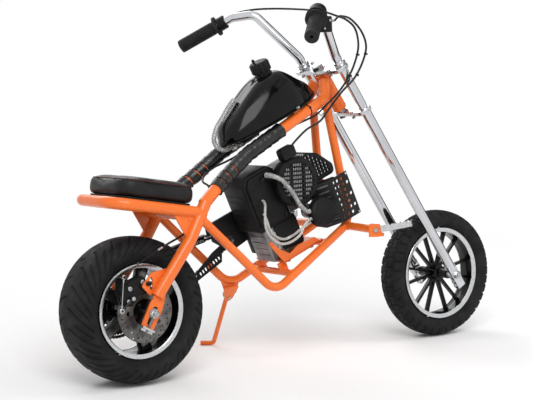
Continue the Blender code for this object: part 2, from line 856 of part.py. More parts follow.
def fuel_tap():
    """The tap under the tank's back edge, with its lever."""
    low = TANK @ Vector((0.012, 0, 0))
    body = disc("fuel_tap", 0.009, -0.024, -0.0018, low, TANK.to_3x3() @ Z_AXIS, "steel", 12)
    lever = block("tap lever", (0.0, -0.030, -0.018), (0.010, 0.004, -0.010), "steel",
                  Matrix.Translation(low) @ TANK.to_3x3().to_4x4(), 0.001)
    return shade(combine(body, [lever]))


# Wheels

def rim_profile(radius, width):
    """A rim's section, from its inner edge on one side round to the other."""
    half = width / 2
    seat = radius - RIM_FLANGE_HEIGHT
    inner = seat - RIM_WALL
    outside = [
        (seat, half - RIM_FLANGE_WIDTH), (radius, half - RIM_FLANGE_WIDTH), (radius, half),
        (inner, half),
    ]
    top_down = list(reversed(outside)) + [(r, -h) for r, h in outside]
    return top_down + [(inner - 0.002, 0)]


def tyre_profile(radius, width, rim_radius, rim_width):
    """A tyre's section, from its bead on one side over the crown to the other."""
    half = width / 2
    seat = rim_radius - RIM_FLANGE_HEIGHT + SEAT_GAP
    bead = rim_width / 2 - RIM_FLANGE_WIDTH - SEAT_GAP
    height = radius - seat
    rows = (
        # share of the half width, share of the height
        (0.00, 1.000), (0.25, 0.990), (0.54, 0.950), (0.80, 0.865), (0.96, 0.720),
        (1.00, 0.540), (0.92, 0.320),
    )
    side = [(seat + height * up, half * out) for out, up in rows]
    side += [(rim_radius + 0.0015, bead), (seat, bead)]
    return [(r, h) for r, h in reversed(side)] + [(r, -h) for r, h in side[1:]]


REAR_TYRE_PROFILE = tyre_profile(REAR_TYRE_RADIUS, REAR_TYRE_WIDTH, REAR_RIM_RADIUS, REAR_RIM_WIDTH)
FRONT_TYRE_PROFILE = tyre_profile(
    FRONT_TYRE_RADIUS, FRONT_TYRE_WIDTH, FRONT_RIM_RADIUS, FRONT_RIM_WIDTH)


def tyre(name, place, profile):
    return shade(turned(name, profile, place, Y_AXIS, "rubber", WHEEL_STEPS, ring=True), 40)


def spoke(name, inner, outer, width, thickness, angle, lean=0.0):
    """A bar from the hub to the rim in the wheel's plane, turned to its angle."""
    work = bmesh.new()
    bmesh.ops.create_cube(work, size=1)
    mesh = bpy.data.meshes.new(name)
    work.to_mesh(mesh)
    work.free()
    length = outer - inner
    size = Matrix.Diagonal((length, thickness, width, 1))
    mesh.transform(Matrix.Translation((inner + length / 2, 0, 0)) @ size)
    mesh.transform(Matrix.Rotation(-lean, 4, "Y"))
    mesh.transform(Matrix.Rotation(-angle, 4, "Y"))
    return link(bpy.data.objects.new(name, mesh))


def front_wheel():
    """The rim, hub and paired spokes, cast in one."""
    seat = FRONT_RIM_RADIUS - RIM_FLANGE_HEIGHT
    made = turned("front_wheel", rim_profile(FRONT_RIM_RADIUS, FRONT_RIM_WIDTH), FRONT_AXLE,
                  Y_AXIS, "black", WHEEL_STEPS, ring=True)
    half = FRONT_HUB_HALF_LENGTH
    hub_profile = (
        (0, half), (0.012, half), (0.012, 0.022), (FRONT_HUB_RADIUS, 0.018),
        (FRONT_HUB_RADIUS, -0.018), (0.012, -0.022), (0.012, -half), (0, -half),
    )
    pieces = [turned("front hub", hub_profile, FRONT_AXLE, Y_AXIS, "black", 16)]
    for pair in range(FRONT_SPOKE_PAIRS):
        for way in (1, -1):
            angle = math.tau * pair / FRONT_SPOKE_PAIRS
            angle += way * math.radians(FRONT_SPOKE_PAIR_DEG) / 2
            bar = spoke(f"spoke {pair} {way}", FRONT_HUB_RADIUS - 0.006, seat - RIM_WALL / 2,
                        FRONT_SPOKE_WIDTH, FRONT_SPOKE_THICKNESS, angle)
            bar.data.transform(Matrix.Translation(FRONT_AXLE))
            pieces.append(bar)
    made = combine(made, pieces)
    bore = disc("front bore", FRONT_AXLE_RADIUS + PIN_GAP, -0.08, 0.08, FRONT_AXLE, Y_AXIS,
                "black", 16)
    return shade(cut(made, [bore]))


def rear_wheel():
    """The rim, hub and broad spokes, cast in one."""
    seat = REAR_RIM_RADIUS - RIM_FLANGE_HEIGHT
    made = turned("rear_wheel", rim_profile(REAR_RIM_RADIUS, REAR_RIM_WIDTH), REAR_AXLE, Y_AXIS,
                  "black", WHEEL_STEPS, ring=True)
    left = CHAIN_Y - SPROCKET_THICKNESS / 2 - SEAT_GAP
    right = DISC_Y + DISC_THICKNESS / 2 + SEAT_GAP
    nose = DISC_BORE_RADIUS - SEAT_GAP * 3
    hub_profile = (
        (0, left + 0.006), (nose * 0.6, left + 0.006), (nose * 0.6, left),
        (REAR_HUB_RADIUS, left), (REAR_HUB_RADIUS, left - 0.010), (0.020, left - 0.016),
        (0.020, 0.020), (REAR_HUB_RADIUS, 0.014), (REAR_HUB_RADIUS, -0.014), (0.022, -0.024),
        (REAR_HUB_RADIUS + 0.008, right + 0.006), (REAR_HUB_RADIUS + 0.008, right),
        (nose, right), (nose, right - 0.003), (0, right - 0.003),
    )
    pieces = [turned("rear hub", hub_profile, REAR_AXLE, Y_AXIS, "black", 16)]
    for number in range(REAR_SPOKES):
        bar = spoke(f"spoke {number}", REAR_HUB_RADIUS - 0.010, seat - RIM_WALL / 2,
                    REAR_SPOKE_WIDTH, REAR_SPOKE_THICKNESS, math.tau * number / REAR_SPOKES)
        bar.data.transform(Matrix.Translation(REAR_AXLE))
        pieces.append(bar)
    made = combine(made, pieces)
    bore = disc("rear bore", REAR_AXLE_RADIUS + PIN_GAP, -0.12, 0.12, REAR_AXLE, Y_AXIS,
                "black", 16)
    return shade(cut(made, [bore]))


def brake_disc():
    """The drilled disc."""
    middle = (DISC_RADIUS + DISC_BORE_RADIUS) / 2 + 0.010
    holes = [circle(DISC_BORE_RADIUS, 20)]
    for number in range(DISC_HOLES):
        angle = math.tau * number / DISC_HOLES
        radius = middle + (0.004 if number % 2 else -0.004)
        centre = (radius * math.cos(angle), radius * math.sin(angle))
        holes.append(circle(DISC_HOLE_RADIUS, 6, centre))
    place = Matrix.Translation(REAR_AXLE) @ side_plane(DISC_Y)
    return plate("brake_disc", circle(DISC_RADIUS, 32), DISC_THICKNESS, "steel", place, holes)


def toothed_outline(teeth, root_radius, tip_radius):
    """A sprocket's outline, with a root point and a tip for each tooth."""
    points = []
    for i in range(teeth):
        for share, radius in ((0.0, root_radius), (0.5, tip_radius)):
            angle = math.tau * (i + share) / teeth
            points.append((radius * math.cos(angle), radius * math.sin(angle)))
    return points


def rear_sprocket():
    """The driven sprocket, with windows between its arms."""
    tip = REAR_PITCH_RADIUS - CHAIN_PLATE_HALF_HEIGHT - SEAT_GAP
    holes = [circle((DISC_BORE_RADIUS - SEAT_GAP) * 0.6 + SEAT_GAP, 20)]
    for number in range(5):
        angle = math.tau * (number + 0.5) / 5
        centre = (0.047 * math.cos(angle), 0.047 * math.sin(angle))
        holes.append(circle(0.010, 6, centre))
    place = Matrix.Translation(REAR_AXLE) @ side_plane(CHAIN_Y)
    outline = toothed_outline(REAR_TEETH, tip - 0.0022, tip)
    return plate("rear_sprocket", outline, SPROCKET_THICKNESS, "black", place, holes)


def drive_shaft_place():
    return ENGINE @ Vector((-0.0573, 0, 0.0771))


def drive_sprocket():
    tip = FRONT_PITCH_RADIUS - CHAIN_PLATE_HALF_HEIGHT - SEAT_GAP
    centre = drive_shaft_place()
    place = Matrix.Translation(centre) @ side_plane(CHAIN_Y)
    body = plate("drive_sprocket", toothed_outline(FRONT_TEETH, tip - 0.0015, tip),
                 SPROCKET_THICKNESS, "steel", place)
    shaft = disc("drive shaft", 0.0055, 0.0583, 0.084, centre, Y_AXIS, "steel", 12)
    return shade(combine(body, [shaft]))


def chain_line():
    """The heading from the small sprocket to the large one, the wrap's half angle and the run."""
    small, large = drive_shaft_place(), REAR_AXLE
    line = Vector((large.x - small.x, large.z - small.z))
    distance = line.length
    spread = math.acos((FRONT_PITCH_RADIUS - REAR_PITCH_RADIUS) / distance)
    run = math.sqrt(distance ** 2 - (REAR_PITCH_RADIUS - FRONT_PITCH_RADIUS) ** 2)
    return math.atan2(line.y, line.x), spread, run


def chain_run(way):
    """Axes of the chain's upper (-1) or lower (1) run: X forward along it, Z away from the loop."""
    heading, spread, run = chain_line()
    small, large = drive_shaft_place(), REAR_AXLE
    angle = heading + way * spread
    away = Vector((math.cos(angle), 0, math.sin(angle)))
    rear = Vector((large.x, 0, large.z)) + away * REAR_PITCH_RADIUS
    front = Vector((small.x, 0, small.z)) + away * FRONT_PITCH_RADIUS
    ahead = (front - rear).normalized()
    side = away.cross(ahead)
    return Matrix((
        (ahead.x, side.x, away.x, rear.x),
        (ahead.y, side.y, away.y, rear.y),
        (ahead.z, side.z, away.z, rear.z),
        (0, 0, 0, 1),
    )), run


def drive_chain():
    """The chain as one closed loop, its plates showing as waves along both edges."""
    small, large = drive_shaft_place(), REAR_AXLE
    heading, spread, run = chain_line()
    rear_arc = REAR_PITCH_RADIUS * 2 * spread
    front_arc = FRONT_PITCH_RADIUS * (math.tau - 2 * spread)
    total = rear_arc + front_arc + 2 * run
    links = round(total / CHAIN_PITCH)

    def place(along):
        """The point on the pitch line and its outward normal."""
        if along < rear_arc:
            angle = heading - spread + along / REAR_PITCH_RADIUS
            normal = Vector((math.cos(angle), math.sin(angle)))
            return Vector((large.x, large.z)) + normal * REAR_PITCH_RADIUS, normal
        along -= rear_arc
        angle = heading + spread
        normal = Vector((math.cos(angle), math.sin(angle)))
        if along < run:
            start = Vector((large.x, large.z)) + normal * REAR_PITCH_RADIUS
            end = Vector((small.x, small.z)) + normal * FRONT_PITCH_RADIUS
            return start.lerp(end, along / run), normal
        along -= run
        if along < front_arc:
            angle += along / FRONT_PITCH_RADIUS
            normal = Vector((math.cos(angle), math.sin(angle)))
            return Vector((small.x, small.z)) + normal * FRONT_PITCH_RADIUS, normal
        along -= front_arc
        angle = heading - spread
        normal = Vector((math.cos(angle), math.sin(angle)))
        start = Vector((small.x, small.z)) + normal * FRONT_PITCH_RADIUS
        end = Vector((large.x, large.z)) + normal * REAR_PITCH_RADIUS
        return start.lerp(end, along / run), normal

    outer, inner = [], []
    for step in range(2 * links):
        point, normal = place(total * step / (2 * links))
        half = CHAIN_WAIST_HALF_HEIGHT if step % 2 else CHAIN_PLATE_HALF_HEIGHT
        outer.append(tuple(point + normal * half))
        inner.append(tuple(point - normal * half))
    return plate("drive_chain", outer, CHAIN_WIDTH, "steel", side_plane(CHAIN_Y), (inner,))


def rear_axle():
    """The rear axle with its nuts and the chain adjusters on it."""
    reach = STAY_Y + 0.003
    made = disc("rear_axle", REAR_AXLE_RADIUS, -reach - 0.016, reach + 0.016, REAR_AXLE, Y_AXIS,
                "steel", 12)
    pieces = []
    for side, _ in SIDES:
        start = reach + SEAT_GAP
        low, high = sorted((side * start, side * (start + 0.009)))
        pieces.append(hex_nut(f"axle nut {side}", 0.019, low, high, REAR_AXLE, Y_AXIS))
        pieces += adjuster(side)
    return shade(combine(made, pieces))


def adjuster(side):
    """The threaded rod from an axle nut to the cap over its dropout's end."""
    axes = dropout_axes(side)
    face = 0.003 + SEAT_GAP
    reach = DROPOUT_END + SEAT_GAP
    low, high = sorted((side * (face + 0.0005), side * (face + 0.0065)))
    inner, outer = sorted((side * -0.006, side * (face + 0.0085)))
    bar = block(f"adjuster rod {side}", (0.004, -0.0028, low), (reach + 0.004, 0.0028, high),
                "steel", axes)
    cap = block(f"adjuster cap {side}", (reach, -0.016, inner), (reach + 0.010, 0.016, outer),
                "steel", axes)
    return [bar, cap]


def caliper():
    """The mechanical caliper over the disc, with its bolts and lever arm."""
    outline = round_corners(
        ((-0.066, 0.046), (-0.048, 0.070), (-0.012, 0.083), (0.004, 0.062), (0.000, 0.045),
         (-0.024, 0.038), (-0.041, 0.018), (-0.060, 0.020)), 0.004, 2)
    middle = DISC_Y - 0.005
    place = Matrix.Translation(REAR_AXLE) @ side_plane(middle)
    body = plate("brake_caliper", outline, CALIPER_THICKNESS, "plastic", place)
    slot = disc("caliper slot", DISC_RADIUS + 0.003, DISC_Y - DISC_THICKNESS / 2 - PAD_GAP,
                DISC_Y + DISC_THICKNESS / 2 + PAD_GAP, REAR_AXLE, Y_AXIS, "plastic", 36)
    body = cut(body, [slot])
    outer = middle - CALIPER_THICKNESS / 2
    pieces = []
    tab_face = -(STAY_Y - 0.010) + PLATE_THICKNESS / 2 + SEAT_GAP
    pieces.append(disc("tab boss", 0.0055, tab_face, middle, REAR_AXLE + Vector((-0.005, 0, 0.066)),
                       Y_AXIS, "plastic", 8))
    for x, z in ((-0.046, 0.058), (-0.014, 0.070), (-0.050, 0.030)):
        centre = REAR_AXLE + Vector((x, 0, z))
        pieces.append(disc("bolt", 0.005, outer - 0.003, outer + 0.004, centre, Y_AXIS,
                           "plastic", 6))
    pieces += caliper_arm(outer)
    return shade(combine(body, pieces))


def caliper_arm(face):
    """The link, the lever and the clamp that the brake cable pulls."""
    y = face - 0.0040
    pivot, tip = REAR_AXLE + Vector((-0.0702, y, 0.0119)), REAR_AXLE + CABLE_CLAMP
    axle = REAR_AXLE + Vector((-0.041, 0, 0.036))
    link = tube("caliper link", [Vector((axle.x, y, axle.z)), pivot], 0.0028, "plastic", 2)
    hub = disc("caliper hub", 0.0062, y - 0.003, face + 0.004, axle, Y_AXIS, "plastic", 10)
    nut = disc("caliper nut", 0.0062, y - 0.0045, y + 0.0035, Vector((pivot.x, 0, pivot.z)),
               Y_AXIS, "plastic", 6)
    lever = tube("caliper lever", [pivot, tip], 0.0022, "plastic", 2)
    clamp = disc("caliper clamp", 0.0052, y - 0.004, y + 0.004, Vector((tip.x, 0, tip.z)), Y_AXIS,
                 "plastic", 8)
    return [link, hub, nut, lever, clamp]


def chain_guard():
    """The plate over the chain's upper run, on an ear beside the gear case."""
    axes, run = chain_run(-1)
    over = CHAIN_PLATE_HALF_HEIGHT + CHAIN_CLEARANCE
    rear, front = run * 0.34, run * 0.86
    strip = block("chain_guard", (rear, CHAIN_Y - 0.0065, over), (front, CHAIN_Y + 0.0100, over + 0.0035),
                  "plastic", axes)
    skirt = block("guard skirt", (rear, CHAIN_Y + 0.0075, -over), (front, CHAIN_Y + 0.0100, over + 0.002),
                  "plastic", axes)
    ear = block("guard ear", (front - 0.006, 0.0583, over), (front + 0.014, 0.0613, over + 0.024),
                "plastic", axes)
    shelf = block("guard shelf", (front - 0.010, 0.0583, over), (front + 0.008, 0.0725, over + 0.0035),
                  "plastic", axes)
    return combine(strip, [skirt, ear, shelf])


def lower_guard():
    """The slotted plate beside the chain's lower run, on a boss on the gear case."""
    axes, run = chain_run(1)
    outline = [(run - back, away) for back, away in LOWER_GUARD_CORNERS]
    slots = []
    for number in range(GUARD_SLOTS):
        along = run - 0.100 + number * 0.0088
        slots.append(stadium(0.0072, 0.0022, (along, 0.0018), along_y=True, count=2))
    made = plate("lower_guard", round_corners(outline, 0.003, 2), 0.0025, "plastic",
                 side_plane(-LOWER_GUARD_Y, axes), slots)
    place = axes @ Vector((run - 0.0118, 0, -0.0126))
    boss = disc("guard boss", 0.0040, 0.0583, LOWER_GUARD_Y, place, Y_AXIS, "plastic", 10)
    return combine(made, [boss])


# Engine

def engine_block(name, low, high, material, bevel=0.006, segments=1):
    return shade(block(name, low, high, material, ENGINE, bevel, segments))


def engine():
    """The engine's outer pieces in the axes of its mounting plate."""
    top = PLATE_THICKNESS / 2 + SEAT_GAP
    gap = SEAT_GAP
    made = [engine_block("crankcase", (-0.012, -0.036, top), (0.084, 0.036, 0.084), "alloy")]
    made.append(engine_block(
        "engine_housing", (-0.028, HOUSING_RIGHT_Y, 0.084 + gap), (0.070, 0.050, 0.225), "plastic", 0.014, 2))
    made.append(engine_block(
        "cylinder", (0.070 + gap, -0.030, 0.084 + gap), (0.150, 0.034, 0.200), "alloy"))
    made.append(fan_cover())
    made.append(cylinder_shroud())
    made += muffler_guard()
    made += air_intake()
    made.append(engine_block(
        "ignition_coil", (0.084, -0.084, 0.2210), (0.124, -0.057, 0.249), "plastic", 0.004))
    made.append(gearbox())
    return made


def fan_cover():
    """The round cover on the right, with slots that fan out from its middle."""
    centre = ENGINE @ Vector((0.0992, 0, 0.1627))
    outer, inner = -0.084, -0.0555
    profile = ((0, -inner), (FAN_RADIUS, -inner), (FAN_RADIUS, 0.078), (0.052, -outer),
               (0.020, -outer), (0.016, 0.088), (0, 0.088))
    body = turned("fan_cover", tuple(reversed(profile)), centre, -Y_AXIS, "plastic", 32)
    cutters = []
    for number in range(FAN_SLOTS):
        angle = math.tau * number / FAN_SLOTS
        slot = block("slot", (0.026, -0.090, -0.0022), (0.047, -0.074, 0.0022), "plastic",
                     Matrix.Translation(centre) @ Matrix.Rotation(angle, 4, "Y"))
        cutters.append(slot)
    return shade(cut(body, cutters))


def cylinder_shroud():
    """The ribbed cover over the cylinder head."""
    outline = round_corners(
        ((0.151, 0.212), (0.193, 0.192), (0.224, 0.150), (0.222, 0.128), (0.151, 0.128)),
        0.012, 3)
    body = plate("cylinder_shroud", outline, 0.100, "plastic", side_plane(-0.005, ENGINE))
    cutters = []
    for number in range(SHROUD_SLOTS):
        y = -0.049 + number * 0.088 / (SHROUD_SLOTS - 1)
        cutters.append(block(
            "shroud slot", (-0.030, y - 0.0035, -0.010), (0.030, y + 0.0035, 0.020), "plastic",
            ENGINE @ Matrix.Translation((0.209, 0, 0.172)) @ Matrix.Rotation(
                math.radians(53.6), 4, "Y")))
    for number in range(3):
        x = 0.160 + number * 0.013
        cutters.append(block(
            "head slot", (x, -0.060, 0.142 + number * 0.002), (x + 0.005, -0.047, 0.186), "plastic", ENGINE))
    return cut(body, cutters)


def muffler_guard():
    """The bent, perforated guard round the exhaust's right and rear, and the muffler inside it."""
    wall = GUARD_WALL
    fold = [(0.236, -0.080), (0.186, -0.080), (0.147, -0.053), (0.147, -0.036)]
    inner = [(x + shift, y + wall) for (x, y), shift in zip(fold, (0, 0.001, 0.0026, 0.0026))]
    inner[-1] = (inner[-1][0], fold[-1][1])
    flat = ENGINE @ Matrix.Translation((0, 0, 0.070))
    skin = plate("muffler_guard", [*fold, *reversed(inner)], 0.110, "black", flat)
    cap = [(0.203, -0.0790), (0.1862, -0.0790), (0.1483, -0.0525), (0.1483, -0.0370), (0.203, -0.0640)]
    lids = [
        plate(f"guard lid {height}", cap, wall, "black",
              ENGINE @ Matrix.Translation((0, 0, height)))
        for height in (0.070 - 0.0545 + wall / 2, 0.070 + 0.0545 - wall / 2)
    ]
    skin = combine(skin, lids)
    cutters = []
    for row in range(5):
        height = 0.032 + row * 0.019
        for column in range(3):
            centre = ENGINE @ Vector((0.194 + column * 0.0165, 0, height))
            cutters.append(disc("guard hole", 0.0048, -0.090, -0.070, centre, Y_AXIS, "black", 6))
        slot = block("guard slot", (-0.017, -0.012, -0.003), (0.017, 0.012, 0.003), "black",
                     ENGINE @ Matrix.Translation((0.1665, -0.0655, height))
                     @ Matrix.Rotation(-math.atan2(0.027, 0.039), 4, "Z"))
        cutters.append(slot)
    skin = cut(skin, cutters)
    core = [(0.1503, -0.021), (0.1503, -0.046), (0.186, -0.0715), (0.196, -0.0715),
            (0.200, -0.062), (0.200, -0.021)]
    body = plate("muffler", core, 0.098, "alloy", ENGINE @ Matrix.Translation((0, 0, 0.070)))
    return [skin, body]


def air_intake():
    """The carburettor and the round air filter on it."""
    centre = ENGINE @ FILTER_PLACE
    carburettor = disc("carburettor", INTAKE_RADIUS, 0.0300 + SEAT_GAP, 0.081 - SEAT_GAP,
                       centre, -Y_AXIS, "alloy", 16)
    profile = ((0, 0.106), (FILTER_RADIUS - 0.004, 0.106), (FILTER_RADIUS, 0.102),
               (FILTER_RADIUS, 0.085), (FILTER_RADIUS - 0.004, 0.081), (0, 0.081))
    filter_case = turned("air_filter", profile, centre, -Y_AXIS, "plastic", 28)
    return [shade(carburettor), shade(filter_case)]


def gearbox():
    """The reduction gear's plate and case on the left, carrying the output shaft."""
    outline = round_corners(
        ((-0.087, 0.138), (-0.098, 0.096), (-0.0615, 0.051), (-0.005, 0.056), (0.026, 0.134),
         (-0.016, 0.138)), 0.006, 2)
    body = plate("gearbox", outline, 0.006, "black", side_plane(0.055, ENGINE))
    case = block("gear case", (-0.011, 0.0363, 0.020), (0.070, 0.054, 0.0838), "black", ENGINE,
                 0.004)
    return shade(combine(body, [case]))


# Fork, steering and handlebar

def clamp_plate(name, height):
    """A clamp across both fork legs."""
    outline = stadium(FORK_HALF_SPAN + 0.021, CLAMP_HALF_WIDTH, (FORK_OFFSET * 0.6, 0))
    holes = [
        circle(STANCHION_RADIUS + SEAT_GAP * 2, 14, (FORK_OFFSET, side * FORK_HALF_SPAN))
        for side, _ in SIDES
    ]
    place = STEER @ Matrix.Translation((0, 0, height))
    return plate(name, outline, CLAMP_THICKNESS, "steel", place, holes)


def clamps():
    lower = clamp_plate("lower_clamp", LOWER_CLAMP)
    stem = disc("stem", STEM_RADIUS, LOWER_CLAMP, UPPER_CLAMP + CLAMP_THICKNESS / 2, STEER_BASE,
                STEER_UP, "steel", 20)
    upper = clamp_plate("upper_clamp", UPPER_CLAMP)
    top = UPPER_CLAMP + CLAMP_THICKNESS / 2
    nut = disc("stem nut", 0.016, top - 0.002, top + 0.010, STEER_BASE, STEER_UP, "steel", 6)
    socket = disc("stem socket", STEM_RADIUS + SEAT_GAP, 0.5, top + SEAT_GAP, STEER_BASE,
                  STEER_UP, "steel", 20)
    return shade(combine(lower, [stem])), shade(cut(combine(upper, [nut]), [socket]))


def fork_leg(side, label):
    """A chrome leg, thicker below the lower clamp, on its axle block."""
    origin = steer_point(FORK_OFFSET, side * FORK_HALF_SPAN, 0)
    step = LOWER_CLAMP - CLAMP_THICKNESS / 2 - SEAT_GAP
    top = UPPER_CLAMP + CLAMP_THICKNESS / 2
    profile = ((0, top), (STANCHION_RADIUS, top), (STANCHION_RADIUS, step),
               (SLIDER_RADIUS, step - 0.002), (SLIDER_RADIUS, 0.020), (0, 0.020))
    made = turned(f"fork_leg_{label}", profile, origin, STEER_UP, "chrome", 16)
    half = AXLE_BLOCK_THICKNESS / 2
    foot = block(
        "axle block", (-AXLE_BLOCK_WIDTH / 2, -half, -AXLE_BLOCK_LENGTH / 2 - 0.004),
        (AXLE_BLOCK_WIDTH / 2, half, AXLE_BLOCK_LENGTH / 2 - 0.004), "chrome",
        STEER @ Matrix.Translation((FORK_OFFSET, side * FORK_HALF_SPAN, 0)), 0.002)
    made = combine(made, [foot])
    hole = disc("axle hole", FRONT_AXLE_RADIUS + SEAT_GAP, -0.12, 0.12, FRONT_AXLE, Y_AXIS,
                "chrome", 16)
    return shade(cut(made, [hole]))


def front_axle():
    reach = FORK_HALF_SPAN + AXLE_BLOCK_THICKNESS / 2
    made = disc("front_axle", FRONT_AXLE_RADIUS, -reach - 0.012, reach + 0.012, FRONT_AXLE,
                Y_AXIS, "steel", 12)
    pieces = []
    for side, _ in SIDES:
        start = reach + SEAT_GAP
        low, high = sorted((side * start, side * (start + 0.008)))
        pieces.append(hex_nut(f"front nut {side}", 0.017, low, high, FRONT_AXLE, Y_AXIS))
        inner = FRONT_HUB_HALF_LENGTH + JOINT_GAP
        low, high = sorted((side * inner, side * (FORK_HALF_SPAN - AXLE_BLOCK_THICKNESS / 2
                                                  - SEAT_GAP)))
        pieces.append(disc(f"spacer {side}", 0.009, low, high, FRONT_AXLE, Y_AXIS, "steel", 12))
    return shade(combine(made, pieces))


def bar_path(side):
    """One half of the handlebar: up from the clamp, then out and back to the grip."""
    base = UPPER_CLAMP + CLAMP_THICKNESS / 2 + SEAT_GAP
    corners = [
        steer_point(FORK_OFFSET, side * FORK_HALF_SPAN, base),
        steer_point(FORK_OFFSET, side * FORK_HALF_SPAN, base + 0.026),
        steer_point(-0.002, side * 0.136, base + 0.164),
        steer_point(-0.036, side * 0.1815, base + 0.179),
        steer_point(-0.1444, side * 0.274, base + 0.172),
    ]
    return corners


def handlebar(side, label):
    path = rounded(bar_path(side), 0.028, 3)
    path[-1] = path[-1].lerp(path[-2], 0.06)
    return shade(tube(f"handlebar_{label}", path, BAR_RADIUS, "chrome", 3))


def grip_axes(side):
    """Origin at the bar's outer end, axis pointing out along it."""
    path = bar_path(side)
    outward = (path[-1] - path[-2]).normalized()
    return path[-1], outward


def grip(side, label):
    """A rubber grip over the bar's end, with flanges at its inner end."""
    end, outward = grip_axes(side)
    inner = BAR_RADIUS + SEAT_GAP
    rings = [(GRIP_FLANGE_RADIUS, -GRIP_LENGTH + 0.006), (GRIP_FLANGE_RADIUS, -GRIP_LENGTH)]
    if side < 0:
        rings = [
            (GRIP_FLANGE_RADIUS, -GRIP_LENGTH + 0.018), (GRIP_FLANGE_RADIUS, -GRIP_LENGTH + 0.014),
            (GRIP_RADIUS, -GRIP_LENGTH + 0.014), (GRIP_RADIUS, -GRIP_LENGTH + 0.006),
            *rings,
        ]
    profile = [
        (0, 0.004), (GRIP_RADIUS - 0.002, 0.004), (GRIP_RADIUS, 0.002),
        (GRIP_RADIUS, rings[0][1]), *rings, (inner, -GRIP_LENGTH), (inner, 0), (0, 0),
    ]
    return shade(turned(f"grip_{label}", profile, end, outward, "grip", 16))


def throttle_box():
    """The middle of the throttle housing, and the box that hangs below and ahead of it."""
    end, outward = grip_axes(-1)
    place = end + outward * (-GRIP_LENGTH - SEAT_GAP - 0.015)
    return place, Vector((0.004, -0.010, -0.042)), Vector((0.034, 0.013, -0.006))


def throttle_housing():
    """The split housing inboard of the right grip, with its cable box."""
    end, outward = grip_axes(-1)
    far = -GRIP_LENGTH - SEAT_GAP
    place, low, high = throttle_box()
    body = disc("throttle_housing", 0.020, far - 0.030, far, end, outward, "plastic", 16)
    box = block("cable box", low, high, "plastic", Matrix.Translation(place), 0.003)
    bore = disc("housing bore", BAR_RADIUS + SEAT_GAP, far - 0.060, far + 0.060, end, outward,
                "plastic", 16)
    return shade(cut(combine(body, [box]), [bore]))


def perch_axes():
    """The left perch's middle, the way out along the bar and the way forward from it."""
    end, outward = grip_axes(1)
    forward = STEER_FORWARD - outward * STEER_FORWARD.dot(outward)
    return end + outward * (-GRIP_LENGTH - 0.012), outward, forward.normalized()


def brake_lever():
    """The left perch with its cable barrel, and the lever that follows the grip."""
    middle, outward, forward = perch_axes()
    body = sleeve("brake_lever", 0.017, BAR_RADIUS + SEAT_GAP, -0.010, 0.010, middle, outward,
                  "plastic", 16)
    barrel = disc("cable barrel", 0.0052, 0, PERCH_BARREL_LENGTH, middle + forward * PERCH_BARREL_REACH,
                  -outward, "plastic", 12)
    root = middle + forward * 0.012
    path = [
        root, root + forward * 0.022 + outward * 0.004, root + forward * 0.034 + outward * 0.024,
        root + forward * 0.034 + outward * 0.075, root + forward * 0.042 + outward * 0.118,
    ]
    blade = tube("lever blade", path, 0.0048, "plastic", 2)
    return shade(combine(body, [blade, barrel]))


# Pegs and side stand

def foot_peg(side, label):
    """A serrated chrome peg on a tongue that turns on the clevis pin."""
    axes = peg_axes(side) @ Matrix.Rotation(-math.radians(PEG_RISE_DEG), 4, "Y")
    half = PEG_WIDTH / 2
    tongue_half = half - 0.002 - 0.0015 - JOINT_GAP
    teeth = 7
    start = 0.020
    pitch = (PEG_LENGTH - start) / teeth
    top, valley = PEG_HEIGHT / 2, PEG_HEIGHT / 2 - 0.003
    outline = [(PEG_LENGTH, -top), (start, -top), (start, top)]
    for i in range(teeth):
        outline += [(start + pitch * (i + 0.5), valley), (start + pitch * (i + 1), top)]
    body = plate(f"foot_peg_{label}", outline, PEG_WIDTH, "chrome", side_plane(0, axes))
    tongue = plate("peg tongue", stadium(0.021, 0.0068, (0.0142, 0), along_y=False),
                   tongue_half * 2, "chrome", side_plane(0, axes))
    made = combine(body, [tongue])
    hole = disc("peg hole", 0.0035 + PIN_GAP, -0.02, 0.02, axes.translation,
                axes.to_3x3() @ Y_AXIS, "chrome", 12)
    return shade(cut(made, [hole]))


def lowest(profile, axle):
    """The height of a leaning tyre's lowest point."""
    lean = math.radians(LEAN_DEG)
    drop = max(r * math.cos(lean) + h * math.sin(lean) for r, h in profile)
    return axle.z * math.cos(lean) - drop


def stance():
    """Leans the bike to its left, with both tyres on the floor."""
    rear = lowest(REAR_TYRE_PROFILE, REAR_AXLE)
    front = lowest(FRONT_TYRE_PROFILE, FRONT_AXLE)
    pitch = Matrix.Rotation((front - rear) / WHEELBASE, 4, "Y")
    lean = Matrix.Rotation(-math.radians(LEAN_DEG), 4, "X")
    return Matrix.Translation((0, 0, -rear)) @ pitch @ lean


def side_stand():
    """The leg on its pivot eye, its foot bent back along the floor."""
    axes = stand_axes()
    turn = axes.to_3x3()
    eye_bottom = JOINT_GAP
    eye = sleeve("side_stand", 0.010, 0.004 + PIN_GAP, eye_bottom,
                 eye_bottom + STAND_EYE_THICKNESS, axes.translation, turn @ Z_AXIS, "orange", 16)
    centre = axes.translation + turn @ Vector((0, 0, eye_bottom + STAND_EYE_THICKNESS / 2))
    leg = turn @ X_AXIS
    standing = stance()
    length = ((standing @ centre).z - STAND_ROD_RADIUS) / -(standing.to_3x3() @ leg).z
    foot = centre + leg * length
    flat = standing.to_3x3().inverted() @ Vector((-0.80, 0.60, 0))
    path = rounded([centre + leg * 0.008, foot, foot + flat * STAND_FOOT_LENGTH], 0.012, 3)
    rod = tube("stand rod", path, STAND_ROD_RADIUS, "orange", 3)
    return shade(combine(eye, [rod]))


# Hoses and cables

def hose(name, points, radius, material, per_span=4, resolution=2):
    route = catmull_rom([Vector(point) for point in points], per_span)
    return shade(tube(name, route, radius, material, resolution))


